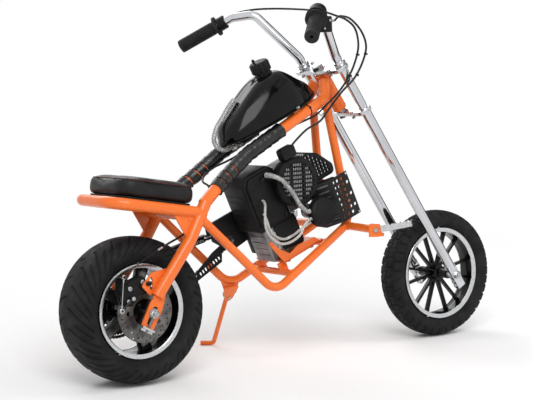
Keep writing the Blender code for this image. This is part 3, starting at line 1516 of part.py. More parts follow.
def intake_rim(angle_deg, y):
    """A point just off the air filter's rim, and the way out from it."""
    centre = ENGINE @ FILTER_PLACE
    out = Vector((math.cos(math.radians(angle_deg)), 0, math.sin(math.radians(angle_deg))))
    return Vector((centre.x, y, centre.z)) + out * (FILTER_RADIUS + SEAT_GAP * 1.5), out


def hoses():
    rim, out = intake_rim(173, -0.0945)
    made = [
        hose("fuel_hose", [TANK @ Vector(point) for point in (
            (0.066, 0.010, 0.0778), (0.040, 0.010, 0.0658), (0.0165, 0.010, 0.0525),
            (-0.009, 0.010, 0.0385), (-0.0262, 0.010, 0.018), (-0.0262, 0.007, -0.001),
            (-0.014, 0.003, -0.0135), (0.0026, 0, -0.0152))],
            FUEL_HOSE_RADIUS, "hose", 3),
        hose("breather_hose", (
            (0.336, -0.0622, 0.446), (0.341, -0.082, 0.444), (0.360, -0.0945, 0.432),
            (0.386, -0.0965, 0.402), (0.405, -0.0955, 0.374), rim + out * 0.010, rim),
            BREATHER_RADIUS, "hose"),
    ]
    first, away = intake_rim(200, -0.0975)
    made.append(hose("drip_hose_outer", (
        first, first + away * 0.010, (0.411, -0.1005, 0.322), (0.3996, -0.1005, 0.3036),
        (0.3748, -0.0990, 0.2894), (0.3486, -0.0960, 0.287), (0.3238, -0.0910, 0.3038),
        (0.3151, -0.0850, 0.3283), (0.3200, -0.0760, 0.3548), (0.3270, -0.0680, 0.3760),
        (0.3290, -0.0600, 0.3850), (0.3290, HOUSING_RIGHT_Y - SEAT_GAP, 0.3860)),
        DRIP_HOSE_RADIUS, "hose", 3, 1))
    first, away = intake_rim(214, -0.0882)
    made.append(hose("drip_hose_inner", (
        first, first + away * 0.010, (0.4100, -0.0890, 0.3150), (0.3880, -0.0890, 0.3030),
        (0.3629, -0.0880, 0.2960), (0.3420, -0.0840, 0.3040), (0.3310, -0.0780, 0.3200),
        (0.3290, -0.0700, 0.3400), (0.3300, -0.0600, 0.3530),
        (0.3300, HOUSING_RIGHT_Y - SEAT_GAP, 0.3540)),
        DRIP_HOSE_RADIUS, "hose", 3, 1))
    return made


def cables():
    """The brake's cable to the rear caliper, and the throttle's to the carburettor."""
    middle, outward, forward = perch_axes()
    start = middle + forward * PERCH_BARREL_REACH - outward * (PERCH_BARREL_LENGTH + SEAT_GAP)
    clamp = REAR_AXLE + CABLE_CLAMP
    pull = Vector((0.74, 0, 0.67))
    brake = hose("brake_cable", (
        start, start - outward * 0.022, (0.470, 0.165, 0.838), (0.497, 0.125, 0.838),
        (0.518, 0.070, 0.834), (0.528, 0.010, 0.828), (0.529, -0.050, 0.820),
        (0.536, -0.087, 0.809), (0.556, -0.101, 0.798), (0.578, -0.105, 0.776),
        (0.5885, -0.101, 0.736), (0.5785, -0.096, 0.694), (0.5600, -0.0895, 0.657),
        (0.5380, -0.0760, 0.6240), (0.5147, -0.0620, 0.5990), (0.4950, -0.0500, 0.5780),
        (0.4650, -0.0340, 0.5630), (0.4200, -0.0120, 0.5430), (0.3600, 0.0120, 0.5130),
        (0.3000, 0.0320, 0.4820), (0.2520, 0.0380, 0.4640), (0.2180, 0.0200, 0.4480),
        (0.2020, -0.0020, 0.4370), (0.2020, -0.0240, 0.4290), (0.1950, -0.0440, 0.4120),
        (0.1700, -0.0560, 0.3830), (0.1350, -0.0660, 0.3500), (0.0988, -0.0720, 0.3280),
        (0.0587, -0.0765, 0.3130), (0.0165, -0.0810, 0.2960), (-0.0260, -0.0840, 0.2745),
        clamp + pull * 0.020, clamp + pull * (0.0052 + SEAT_GAP)),
        CABLE_RADIUS, "cable", 2, 1)
    place, low, high = throttle_box()
    box_front = place + Vector((high.x + SEAT_GAP * 1.5, 0.002, -0.016))
    intake = ENGINE @ Vector((FILTER_PLACE.x, -0.043, FILTER_PLACE.z + INTAKE_RADIUS + SEAT_GAP))
    rise = ENGINE.to_3x3() @ Z_AXIS
    throttle = hose("throttle_cable", (
        box_front, box_front + X_AXIS * 0.014, (0.474, -0.172, 0.799), (0.505, -0.146, 0.805),
        (0.5488, -0.1260, 0.799), (0.5837, -0.1200, 0.7706), (0.6008, -0.1150, 0.7352),
        (0.5949, -0.1070, 0.698), (0.5750, -0.0980, 0.6600), (0.5456, -0.0860, 0.6290),
        (0.5180, -0.0690, 0.5890), (0.4980, -0.0590, 0.5620), (0.4600, -0.0480, 0.5400),
        intake + rise * 0.135, intake + rise * 0.090, intake + rise * 0.045, intake + rise * 0.012,
        intake), CABLE_RADIUS, "cable", 2, 1)
    return [brake, throttle]


def centre_on_floor(root):
    """Moves the bike so that its box stands on the floor, centred on the origin."""
    corners = [
        obj.matrix_world @ vertex.co
        for obj in PARTS.objects if obj.type == "MESH" for vertex in obj.data.vertices
    ]
    low = [min(corner[axis] for corner in corners) for axis in range(3)]
    high = [max(corner[axis] for corner in corners) for axis in range(3)]
    shift = Vector((-(low[0] + high[0]) / 2, -(low[1] + high[1]) / 2, -low[2]))
    root.matrix_world = Matrix.Translation(shift) @ root.matrix_world
    bpy.context.view_layer.update()


def main():
    clear_scene()
    lean = joint_empty("lean", (0, 0, 0), Z_AXIS, None)
    steering = joint_empty("steering_axis", steer_point(0, 0, HEAD_BOTTOM), STEER_UP, lean)
    front_turn = joint_empty("front_wheel_axis", FRONT_AXLE, Y_AXIS, steering)
    rear_turn = joint_empty("rear_wheel_axis", REAR_AXLE, Y_AXIS, lean)
    carry(lean, frame(), *[tube_wrap(side, label) for side, label in SIDES])
    carry(lean, *seat(), fuel_tank(), fuel_cap(), fuel_tap())
    carry(lean, *engine(), drive_sprocket(), drive_chain(), rear_axle(), caliper(), chain_guard(),
          lower_guard())
    carry(lean, *hoses(), *cables())
    carry(rear_turn, rear_wheel(), brake_disc(), rear_sprocket(),
          tyre("rear_tyre", REAR_AXLE, REAR_TYRE_PROFILE))
    carry(front_turn, front_wheel(), tyre("front_tyre", FRONT_AXLE, FRONT_TYRE_PROFILE))
    carry(steering, *clamps(), front_axle(), throttle_housing(), brake_lever())
    for side, label in SIDES:
        carry(steering, fork_leg(side, label), handlebar(side, label), grip(side, label))
        axes = peg_axes(side)
        hinge = joint_empty(f"peg_axis_{label}", axes.translation, axes.to_3x3() @ Y_AXIS, lean)
        carry(hinge, foot_peg(side, label))
    axes = stand_axes()
    pivot = joint_empty("stand_axis", axes.translation, axes.to_3x3() @ Z_AXIS, lean)
    carry(pivot, side_stand())
    lean.matrix_world = stance()
    bpy.context.view_layer.update()
    centre_on_floor(lean)


PARTS = make_collection("minibike")
MATERIALS = make_materials()
main()
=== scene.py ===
"""Minibike: the finished surfaces that dress its solid model.

Lengths are in metres. Pieces are shaped with the bike upright, X forward, Y to its left and Z up,
and the floor below the rear axle at the origin. Each is then leaned onto the solid model.
"""

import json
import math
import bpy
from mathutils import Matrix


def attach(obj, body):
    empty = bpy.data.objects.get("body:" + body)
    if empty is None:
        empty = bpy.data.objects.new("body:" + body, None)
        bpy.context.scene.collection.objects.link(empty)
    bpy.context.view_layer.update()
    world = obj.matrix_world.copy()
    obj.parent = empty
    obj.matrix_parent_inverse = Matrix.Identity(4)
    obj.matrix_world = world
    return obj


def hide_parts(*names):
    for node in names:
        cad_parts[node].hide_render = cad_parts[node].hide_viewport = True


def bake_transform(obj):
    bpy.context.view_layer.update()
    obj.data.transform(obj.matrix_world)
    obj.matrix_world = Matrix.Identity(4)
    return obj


bl_info = {
    "name": "Minibike dressing",
    "version": (1, 0, 0),
    "blender": (4, 5, 0),
    "location": "View3D > Sidebar > Minibike",
    "description": "Builds the finished surfaces of a small raked minibike round its solid model",
    "category": "Object",
}

import bmesh
import bpy
import numpy as np
from mathutils import Matrix, Vector
from mathutils.bvhtree import BVHTree

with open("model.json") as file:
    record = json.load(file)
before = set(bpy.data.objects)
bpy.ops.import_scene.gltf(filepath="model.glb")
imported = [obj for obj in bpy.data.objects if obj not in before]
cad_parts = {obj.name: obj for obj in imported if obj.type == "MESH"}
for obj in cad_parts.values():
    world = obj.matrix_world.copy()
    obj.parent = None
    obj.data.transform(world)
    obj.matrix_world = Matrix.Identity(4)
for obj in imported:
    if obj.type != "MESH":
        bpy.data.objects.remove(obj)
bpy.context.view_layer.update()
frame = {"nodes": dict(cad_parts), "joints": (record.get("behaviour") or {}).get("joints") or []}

X_AXIS = Vector((1, 0, 0))
Y_AXIS = Vector((0, 1, 0))
Z_AXIS = Vector((0, 0, 1))
SIDES = ((1, "left"), (-1, "right"))

# Main sizes, shared with the solid model
WHEELBASE = 0.885
REAR_AXLE = Vector((0, 0, 0.165))
FRONT_AXLE = Vector((WHEELBASE, 0, 0.159))
RAKE = math.radians(31.83)
FORK_OFFSET = 0.013
FORK_HALF_SPAN = 0.074
HEAD_BOTTOM = 0.512
HEAD_TOP = 0.614
CLAMP_THICKNESS = 0.010
LOWER_CLAMP = 0.5025
UPPER_CLAMP = 0.6235
BAR_RADIUS = 0.011
STAY_Y = 0.0962

STEER_UP = Vector((-math.sin(RAKE), 0, math.cos(RAKE)))
STEER_FORWARD = Vector((math.cos(RAKE), 0, math.sin(RAKE)))
STEER_BASE = FRONT_AXLE - STEER_FORWARD * FORK_OFFSET


def bike_axes():
    """The upright bike's own axes in the solid model, from its two axles."""
    joints = {joint["name"]: joint for joint in frame["joints"]}
    rear = Vector(joints["rear_wheel_spin"]["pos_m"])
    front = Vector(joints["front_wheel_spin"]["pos_m"])
    left = Vector(joints["rear_wheel_spin"]["axis"]).normalized()
    along = front - rear
    along = (along - left * along.dot(left)).normalized()
    fall = math.atan2(REAR_AXLE.z - FRONT_AXLE.z, WHEELBASE)
    ahead = along * math.cos(fall) + along.cross(left) * math.sin(fall)
    up = ahead.cross(left)
    origin = rear - up * REAR_AXLE.z
    return Matrix((
        (ahead.x, left.x, up.x, origin.x),
        (ahead.y, left.y, up.y, origin.y),
        (ahead.z, left.z, up.z, origin.z),
        (0, 0, 0, 1),
    ))


def sloped(origin, slope_deg):
    """Axes of a plane that slopes up towards the front: forward, left and up from it."""
    turn = Matrix.Rotation(-math.radians(slope_deg), 4, "Y")
    return Matrix.Translation((origin[0], 0, origin[1])) @ turn


BIKE = bike_axes()
ENGINE = sloped((0.382, 0.238), 22.0)
TANK = sloped((0.275, 0.525), 24.0)
STEER = Matrix((
    (STEER_FORWARD.x, 0, STEER_UP.x, STEER_BASE.x),
    (0, 1, 0, 0),
    (STEER_FORWARD.z, 0, STEER_UP.z, STEER_BASE.z),
    (0, 0, 0, 1),
))


def steer_point(forward, left, up):
    return STEER @ Vector((forward, left, up))


# Paths and outlines

def catmull_rom(points, per_span):
    """A smooth curve through the points."""
    points = [Vector(point) for point in points]
    ends = [points[0] * 2 - points[1], *points, points[-1] * 2 - points[-2]]
    curve = []
    for before, start, end, after in zip(ends, ends[1:], ends[2:], ends[3:]):
        for step in range(per_span):
            t = step / per_span
            curve.append(0.5 * (
                2 * start + (end - before) * t
                + (2 * before - 5 * start + 4 * end - after) * t * t
                + (3 * start - before - 3 * end + after) * t * t * t
            ))
    curve.append(points[-1])
    return curve


def rounded(points, bend_radius, steps=8):
    """The points with each inner corner replaced by an arc of the bend radius."""
    path = [Vector(points[0])]
    for before, corner, after in zip(points, points[1:], points[2:]):
        corner = Vector(corner)
        back = (Vector(before) - corner).normalized()
        ahead = (Vector(after) - corner).normalized()
        half = (math.pi - back.angle(ahead)) / 2
        reach = bend_radius * math.tan(half)
        centre = corner + (back + ahead).normalized() * (bend_radius / math.cos(half))
        start = corner + back * reach - centre
        end = corner + ahead * reach - centre
        for step in range(steps + 1):
            path.append(centre + start.slerp(end, step / steps) * bend_radius)
    path.append(Vector(points[-1]))
    return path


def resampled(path, spacing):
    """The same line with points at an even spacing."""
    lengths = [0.0]
    for first, second in zip(path, path[1:]):
        lengths.append(lengths[-1] + (second - first).length)
    count = max(2, round(lengths[-1] / spacing) + 1)
    made, at = [], 0
    for i in range(count):
        wanted = lengths[-1] * i / (count - 1)
        while at < len(path) - 2 and lengths[at + 1] < wanted:
            at += 1
        span = lengths[at + 1] - lengths[at] or 1
        made.append(path[at].lerp(path[at + 1], min(1.0, (wanted - lengths[at]) / span)))
    return made


def circle(radius, count, centre=(0, 0), start=0.0):
    return [
        (
            centre[0] + radius * math.cos(start + math.tau * i / count),
            centre[1] + radius * math.sin(start + math.tau * i / count),
        )
        for i in range(count)
    ]


def stadium(half_length, half_width, centre, along_y=True, count=10):
    """A straight-sided outline with round ends."""
    straight = half_length - half_width
    points = []
    for end in (1, -1):
        for step in range(count + 1):
            angle = math.pi * (step / count - 0.5) + (0 if end > 0 else math.pi)
            points.append((
                end * straight + half_width * math.cos(angle), half_width * math.sin(angle)))
    if along_y:
        points = [(-across, along) for along, across in points]
    return [(centre[0] + a, centre[1] + b) for a, b in points]


def round_corners(corners, radius, steps=6):
    """A flat outline with its corners rounded."""
    closed = [*corners, *corners[:2]]
    path = rounded([(x, y, 0) for x, y in closed], radius, steps)[1:-1]
    return [(point.x, point.y) for point in path]


def side_plane(y, matrix=Matrix()):
    """Places a plate's X and Y on the X and Z of the matrix, at a distance to the left."""
    return matrix @ Matrix.Translation((0, y, 0)) @ Matrix.Rotation(math.pi / 2, 4, "X")


def axis_matrix(origin, axis):
    turn = Z_AXIS.rotation_difference(Vector(axis)).to_matrix().to_4x4()
    return Matrix.Translation(origin) @ turn


# Shapes, each a list of points and a list of faces

def moved(shape, matrix):
    return [matrix @ Vector(point) for point in shape[0]], shape[1]


def tube(path, radius, sides=20, closed=False):
    """A round bar along a path. The radius is one number, or one for each point."""
    path = [Vector(point) for point in path]
    count = len(path)
    radii = radius if isinstance(radius, (list, tuple)) else [radius] * count
    points, faces = [], []
    normal = None
    for i, place in enumerate(path):
        before = path[i - 1] if i or closed else place
        after = path[(i + 1) % count] if i < count - 1 or closed else place
        ahead = (after - before).normalized()
        if normal is None:
            normal = ahead.orthogonal()
        normal = (normal - ahead * normal.dot(ahead)).normalized()
        across = ahead.cross(normal)
        for side in range(sides):
            angle = math.tau * side / sides
            points.append(place + (normal * math.cos(angle) + across * math.sin(angle)) * radii[i])
    for i in range(count if closed else count - 1):
        for side in range(sides):
            other = (side + 1) % sides
            ahead = (i + 1) % count
            faces.append((i * sides + side, i * sides + other, ahead * sides + other,
                          ahead * sides + side))
    if not closed:
        faces.append(tuple(reversed(range(sides))))
        faces.append(tuple(range((count - 1) * sides, count * sides)))
    return points, faces


def turned(profile, origin, axis, steps=48, ring=False):
    """A profile of (radius, height) pairs turned about an axis."""
    points, faces, rows = [], [], []
    for radius, height in profile:
        if radius < 1e-6:
            rows.append([len(points)] * steps)
            points.append(Vector((0, 0, height)))
            continue
        rows.append(list(range(len(points), len(points) + steps)))
        for step in range(steps):
            angle = math.tau * step / steps
            points.append(Vector((radius * math.cos(angle), radius * math.sin(angle), height)))
    if ring:
        rows.append(rows[0])
    for first, second in zip(rows, rows[1:]):
        for step in range(steps):
            other = (step + 1) % steps
            face = dict.fromkeys((first[step], first[other], second[other], second[step]))
            if len(face) > 2:
                faces.append(tuple(face))
    return moved((points, faces), axis_matrix(origin, axis))


def shape_of(obj):
    """The evaluated points and faces of a helper object, which is then removed."""
    bpy.context.view_layer.update()
    graph = bpy.context.evaluated_depsgraph_get()
    mesh = bpy.data.meshes.new_from_object(obj.evaluated_get(graph))
    shape = [v.co.copy() for v in mesh.vertices], [tuple(p.vertices) for p in mesh.polygons]
    bpy.data.objects.remove(obj, do_unlink=True)
    bpy.data.meshes.remove(mesh)
    return shape


def helper(name, shape):
    mesh = bpy.data.meshes.new(name)
    mesh.from_pydata([tuple(point) for point in shape[0]], [], shape[1])
    work = bmesh.new()
    work.from_mesh(mesh)
    bmesh.ops.remove_doubles(work, verts=work.verts, dist=1e-6)
    bmesh.ops.recalc_face_normals(work, faces=work.faces)
    work.to_mesh(mesh)
    work.free()
    obj = bpy.data.objects.new(name, mesh)
    bpy.context.scene.collection.objects.link(obj)
    return obj


def slab(outline, thickness, matrix=Matrix(), holes=(), bevel=0.0):
    """A flat plate of the outline in its own X and Y, centred on Z, its edges rounded."""
    curve = bpy.data.curves.new("slab", "CURVE")
    curve.dimensions = "2D"
    curve.fill_mode = "BOTH"
    curve.extrude = thickness / 2 - bevel
    curve.bevel_depth = bevel
    curve.bevel_resolution = 2
    curve.offset = -bevel
    for ring in (outline, *holes):
        spline = curve.splines.new("POLY")
        spline.points.add(len(ring) - 1)
        for point, place in zip(spline.points, ring):
            point.co = (place[0], place[1], 0, 1)
        spline.use_cyclic_u = True
    obj = bpy.data.objects.new("slab", curve)
    bpy.context.scene.collection.objects.link(obj)
    return moved(shape_of(obj), matrix)


def box(low, high, matrix=Matrix(), bevel=0.0, segments=3):
    """A box between two corners in the axes of the matrix, with its edges rounded."""
    work = bmesh.new()
    bmesh.ops.create_cube(work, size=1)
    low, high = Vector(low), Vector(high)
    size = Matrix.Diagonal((*(high - low), 1))
    bmesh.ops.transform(work, matrix=Matrix.Translation((low + high) / 2) @ size, verts=work.verts)
    if bevel:
        bmesh.ops.bevel(work, geom=[*work.edges], offset=bevel, segments=segments, profile=0.5,
                        affect="EDGES", clamp_overlap=True)
    work.verts.index_update()
    shape = [v.co.copy() for v in work.verts], [tuple(v.index for v in f.verts) for f in work.faces]
    work.free()
    return moved(shape, matrix)


def loft(sections):
    """A closed skin over rings of points that all have the same count."""
    size = len(sections[0])
    points = [Vector(point) for section in sections for point in section]
    faces = []
    for row in range(len(sections) - 1):
        for i in range(size):
            j = (i + 1) % size
            faces.append((row * size + i, row * size + j,
                          (row + 1) * size + j, (row + 1) * size + i))
    faces.append(tuple(reversed(range(size))))
    faces.append(tuple(range(len(points) - size, len(points))))
    return points, faces


def carved(shape, cutters, operation="DIFFERENCE"):
    """The shape with the cutters taken out of it, or joined to it."""
    base = helper("base", shape)
    others = [helper("cutter", cutter) for cutter in cutters]
    group = bpy.data.collections.new("cutters")
    for other in others:
        group.objects.link(other)
    step = base.modifiers.new("Carve", "BOOLEAN")
    step.operation = operation
    step.solver = "EXACT"
    step.operand_type = "COLLECTION"
    step.collection = group
    made = shape_of(base)
    for other in others:
        bpy.data.objects.remove(other, do_unlink=True)
    bpy.data.collections.remove(group)
    return made


def smoothed(shape, levels=2):
    """The shape with its faces subdivided and rounded."""
    obj = helper("smooth", shape)
    step = obj.modifiers.new("Smooth", "SUBSURF")
    step.levels = levels
    step.render_levels = levels
    return shape_of(obj)


def rod(radius, bottom, top, origin, axis, steps=32, round_edge=0.0):
    """A plain cylinder between two heights on an axis, its rims rounded."""
    edge = min(round_edge, radius / 2)
    profile = [(0, top), (radius - edge, top), (radius, top - edge),
               (radius, bottom + edge), (radius - edge, bottom), (0, bottom)]
    if not edge:
        profile = [(0, top), (radius, top), (radius, bottom), (0, bottom)]
    return turned(profile, origin, axis, steps)


def hex_head(across, bottom, top, origin, axis):
    """A hexagon nut or bolt head with its corners turned off at the outer face."""
    radius = across / math.sqrt(3)
    low, high = (bottom, top) if abs(top) > abs(bottom) else (top, bottom)
    edge = (high - low) * 0.85 + low
    profile = ((0, high), (radius * 0.86, high), (radius, edge), (radius, low), (0, low))
    return turned(profile, origin, axis, 6)


def socket_bolt(radius, bottom, top, origin, axis):
    """A round bolt head with a hexagon recess."""
    low, high = (bottom, top) if abs(top) > abs(bottom) else (top, bottom)
    depth = low + (high - low) * 0.4
    profile = ((radius * 0.5, high), (radius * 0.85, high), (radius, high - (high - low) * 0.15),
               (radius, low))
    hole = turned(((radius * 0.5, high), (radius * 0.5, depth), (0, depth)), origin, axis, 6)
    return [turned(profile, origin, axis, 24), hole]


def coil(path, radius, wire, pitch, sides=8, per_turn=14):
    """A wire wound round a path."""
    line = resampled([Vector(point) for point in path], pitch / per_turn)
    normal, points = None, []
    for i, place in enumerate(line):
        ahead = (line[min(i + 1, len(line) - 1)] - line[max(i - 1, 0)]).normalized()
        if normal is None:
            normal = ahead.orthogonal()
        normal = (normal - ahead * normal.dot(ahead)).normalized()
        angle = math.tau * i / per_turn
        points.append(place + (normal * math.cos(angle)
                               + ahead.cross(normal) * math.sin(angle)) * radius)
    return tube(points, wire, sides)


# Finishes

FINISH = {}


def add_node(tree, kind, **values):
    """A shader node with its sockets and settings filled in."""
    made = tree.nodes.new(kind)
    for key, value in values.items():
        name = key.replace("_", " ")
        if name in made.inputs:
            made.inputs[name].default_value = value
        else:
            setattr(made, key, value)
    return made


def finish(name, colour, roughness, metallic=0.0, coat=0.0, sheen=0.0, specular=0.5):
    made = bpy.data.materials.new(name)
    made.use_nodes = True
    shader = made.node_tree.nodes["Principled BSDF"]
    shader.inputs["Base Color"].default_value = (*colour, 1)
    shader.inputs["Roughness"].default_value = roughness
    shader.inputs["Metallic"].default_value = metallic
    shader.inputs["Coat Weight"].default_value = coat
    shader.inputs["Coat Roughness"].default_value = 0.06
    shader.inputs["Sheen Weight"].default_value = sheen
    shader.inputs["Specular IOR Level"].default_value = specular
    made.diffuse_color = (*colour, 1)
    FINISH[name] = made
    return made


def place_of(tree):
    """Positions on the object, in metres."""
    for item in tree.nodes:
        if item.type == "TEX_COORD":
            return item.outputs["Object"]
    return add_node(tree, "ShaderNodeTexCoord").outputs["Object"]


def noise(tree, scale, detail=4.0, roughness=0.55, stretch=None):
    made = add_node(tree, "ShaderNodeTexNoise", Scale=scale, Detail=detail, Roughness=roughness)
    source = place_of(tree)
    if stretch:
        mapping = add_node(tree, "ShaderNodeMapping", Scale=stretch)
        tree.links.new(source, mapping.inputs["Vector"])
        source = mapping.outputs["Vector"]
    tree.links.new(source, made.inputs["Vector"])
    return made.outputs["Fac"]


def ramp(tree, source, stops):
    """A colour ramp through (place, colour) stops."""
    made = tree.nodes.new("ShaderNodeValToRGB")
    while len(made.color_ramp.elements) < len(stops):
        made.color_ramp.elements.new(0.5)
    for element, (place, colour) in zip(made.color_ramp.elements, stops):
        element.position = place
        element.color = (*colour, 1) if len(colour) == 3 else colour
    tree.links.new(source, made.inputs["Fac"])
    return made.outputs["Color"]


def mottle(material, low, high, scale, span=(0.35, 0.65), stretch=None):
    """Colour that drifts between two shades."""
    tree = material.node_tree
    shader = tree.nodes["Principled BSDF"]
    source = noise(tree, scale, 5.0, stretch=stretch)
    tree.links.new(ramp(tree, source, ((span[0], low), (span[1], high))),
                   shader.inputs["Base Color"])


def vary_roughness(material, low, high, scale, stretch=None):
    tree = material.node_tree
    made = add_node(tree, "ShaderNodeMapRange")
    made.inputs["From Min"].default_value = 0.3
    made.inputs["From Max"].default_value = 0.7
    made.inputs["To Min"].default_value = low
    made.inputs["To Max"].default_value = high
    tree.links.new(noise(tree, scale, 5.0, stretch=stretch), made.inputs["Value"])
    tree.links.new(made.outputs["Result"], tree.nodes["Principled BSDF"].inputs["Roughness"])


def bump(material, source, distance, strength=1.0):
    """Adds relief to what relief the material already has."""
    tree = material.node_tree
    shader = tree.nodes["Principled BSDF"]
    made = add_node(tree, "ShaderNodeBump", Distance=distance, Strength=strength)
    tree.links.new(source, made.inputs["Height"])
    for link in shader.inputs["Normal"].links:
        tree.links.new(link.from_socket, made.inputs["Normal"])
    tree.links.new(made.outputs["Normal"], shader.inputs["Normal"])


def cells(tree, scale, feature="F1", output="Distance"):
    made = add_node(tree, "ShaderNodeTexVoronoi", Scale=scale, feature=feature)
    tree.links.new(place_of(tree), made.inputs["Vector"])
    return made.outputs[output]


def make_finishes(looks):
    orange = finish("orange paint", looks.frame_colour, 0.30, coat=0.25, specular=0.35)
    r, g, b = looks.frame_colour
    mottle(orange, (r * 0.95, g * 0.93, b * 0.9), (min(1, r * 1.03), g * 1.04, b * 1.06), 9)
    vary_roughness(orange, 0.24, 0.36, 40)
    bump(orange, noise(orange.node_tree, 420, 2.0), 0.00008, 0.5)

    chrome = finish("chrome", (0.60, 0.61, 0.63), 0.08, 1.0)
    mottle(chrome, (0.53, 0.54, 0.56), (0.66, 0.67, 0.69), 6)
    vary_roughness(chrome, 0.04, 0.11, 30)

    steel = finish("bright steel", (0.42, 0.43, 0.44), 0.28, 1.0)
    mottle(steel, (0.33, 0.34, 0.35), (0.50, 0.51, 0.52), 60)
    vary_roughness(steel, 0.18, 0.38, 90)
    bump(steel, noise(steel.node_tree, 900, 3.0), 0.00006, 0.4)

    brushed = finish("brushed alloy", (0.55, 0.56, 0.57), 0.26, 1.0)
    mottle(brushed, (0.47, 0.48, 0.49), (0.63, 0.64, 0.65), 300, stretch=(1, 0.06, 1))
    vary_roughness(brushed, 0.18, 0.34, 400, stretch=(1, 0.06, 1))

    dark = finish("dark steel", (0.13, 0.125, 0.12), 0.34, 1.0)
    mottle(dark, (0.085, 0.08, 0.078), (0.19, 0.183, 0.175), 70)
    vary_roughness(dark, 0.26, 0.44, 120)

    cast = finish("cast alloy", (0.28, 0.28, 0.285), 0.50, 0.9)
    mottle(cast, (0.21, 0.21, 0.215), (0.35, 0.35, 0.355), 35)
    bump(cast, noise(cast.node_tree, 700, 4.0), 0.0003, 0.6)

    gloss = finish("black paint", (0.002, 0.002, 0.0022), 0.11, specular=0.20)
    mottle(gloss, (0.001, 0.001, 0.0012), (0.004, 0.004, 0.0045), 12)
    vary_roughness(gloss, 0.10, 0.18, 50)

    satin = finish("black steel", (0.006, 0.006, 0.0063), 0.38, specular=0.3)
    mottle(satin, (0.004, 0.004, 0.0042), (0.009, 0.009, 0.0095), 45)
    vary_roughness(satin, 0.30, 0.48, 70)
    bump(satin, noise(satin.node_tree, 1100, 2.0), 0.0001, 0.5)

    plastic = finish("black plastic", (0.006, 0.006, 0.0063), 0.44, specular=0.18)
    mottle(plastic, (0.004, 0.004, 0.0042), (0.009, 0.009, 0.0095), 30)
    vary_roughness(plastic, 0.38, 0.55, 60)
    bump(plastic, noise(plastic.node_tree, 1500, 2.0), 0.00015, 0.6)

    rubber = finish("tyre rubber", (0.009, 0.009, 0.0095), 0.72, specular=0.2)
    mottle(rubber, (0.006, 0.006, 0.0065), (0.014, 0.014, 0.0145), 28)
    vary_roughness(rubber, 0.58, 0.85, 45)
    bump(rubber, noise(rubber.node_tree, 900, 4.0), 0.0002, 0.7)

    grip = finish("grip rubber", (0.012, 0.012, 0.0125), 0.62, specular=0.25)
    mottle(grip, (0.009, 0.009, 0.0095), (0.017, 0.017, 0.0175), 60)
    bump(grip, noise(grip.node_tree, 1300, 3.0), 0.00015, 0.6)

    vinyl = finish("black vinyl", (0.008, 0.0076, 0.008), 0.38, sheen=0.02, specular=0.22)
    mottle(vinyl, (0.006, 0.0057, 0.006), (0.011, 0.0105, 0.011), 25)
    vary_roughness(vinyl, 0.34, 0.52, 90)
    bump(vinyl, cells(vinyl.node_tree, 620, "DISTANCE_TO_EDGE"), 0.0004, 0.7)

    piping = finish("red stitching", (0.20, 0.006, 0.008), 0.55, specular=0.2)
    mottle(piping, (0.14, 0.004, 0.006), (0.26, 0.01, 0.012), 500)

    tape = finish("black tape", (0.005, 0.005, 0.0057), 0.27, specular=0.45)
    mottle(tape, (0.004, 0.004, 0.005), (0.010, 0.010, 0.011), 50)
    vary_roughness(tape, 0.22, 0.38, 80)
    bump(tape, noise(tape.node_tree, 160, 4.0), 0.0006, 0.5)

    hose = finish("clear hose", (0.80, 0.79, 0.76), 0.18)
    shader = hose.node_tree.nodes["Principled BSDF"]
    shader.inputs["Transmission Weight"].default_value = 0.6
    shader.inputs["IOR"].default_value = 1.4
    mottle(hose, (0.72, 0.71, 0.67), (0.88, 0.87, 0.84), 40)

    cable = finish("black cable", (0.006, 0.006, 0.0065), 0.38, specular=0.3)
    mottle(cable, (0.004, 0.004, 0.0045), (0.009, 0.009, 0.0095), 70)
    bump(cable, noise(cable.node_tree, 800, 2.0), 0.0001, 0.4)


# What finish each solid of the model shows, and the slot that it comes from
NODE_FINISH = {
    "orange paint": ("orange_paint", ("frame", "side_stand")),
    "black tape": ("black_tape", ("tube_wrap_left", "tube_wrap_right")),
    "black plastic": ("black_plastic", (
        "seat_pan", "fuel_cap", "brake_caliper", "chain_guard", "lower_guard", "engine_housing",
        "fan_cover", "cylinder_shroud", "air_filter", "ignition_coil", "throttle_housing",
        "brake_lever")),
    "black paint": ("black_gloss", ("fuel_tank", "front_wheel", "rear_wheel")),
    "black steel": ("black_steel", ("gearbox", "muffler_guard", "rear_sprocket")),
    "black vinyl": ("black_vinyl", ("seat_pad",)),
    "bright steel": ("bright_steel", (
        "fuel_tap", "brake_disc", "rear_axle", "front_axle", "drive_sprocket", "drive_chain",
        "lower_clamp", "upper_clamp")),
    "cast alloy": ("cast_alloy", ("crankcase", "cylinder", "carburettor", "muffler")),
    "chrome": ("chrome", (
        "fork_leg_left", "fork_leg_right", "handlebar_left", "handlebar_right", "foot_peg_left",
        "foot_peg_right")),
    "grip rubber": ("grip_rubber", ("grip_left", "grip_right")),
    "tyre rubber": ("tyre_rubber", ("front_tyre", "rear_tyre")),
    "clear hose": ("clear_hose", (
        "fuel_hose", "breather_hose", "drip_hose_inner", "drip_hose_outer")),
    "black cable": ("black_cable", ("brake_cable", "throttle_cable")),
    "brushed alloy": ("brushed_alloy", ()),
}


def finish_nodes():
    """Gives every solid of the model its finish."""
    for name, (_, nodes) in NODE_FINISH.items():
        for node in nodes:
            if node not in frame["nodes"]:
                continue
            obj = frame["nodes"][node]
            obj.data.materials.clear()
            obj.data.materials.append(FINISH[name])


# Pieces

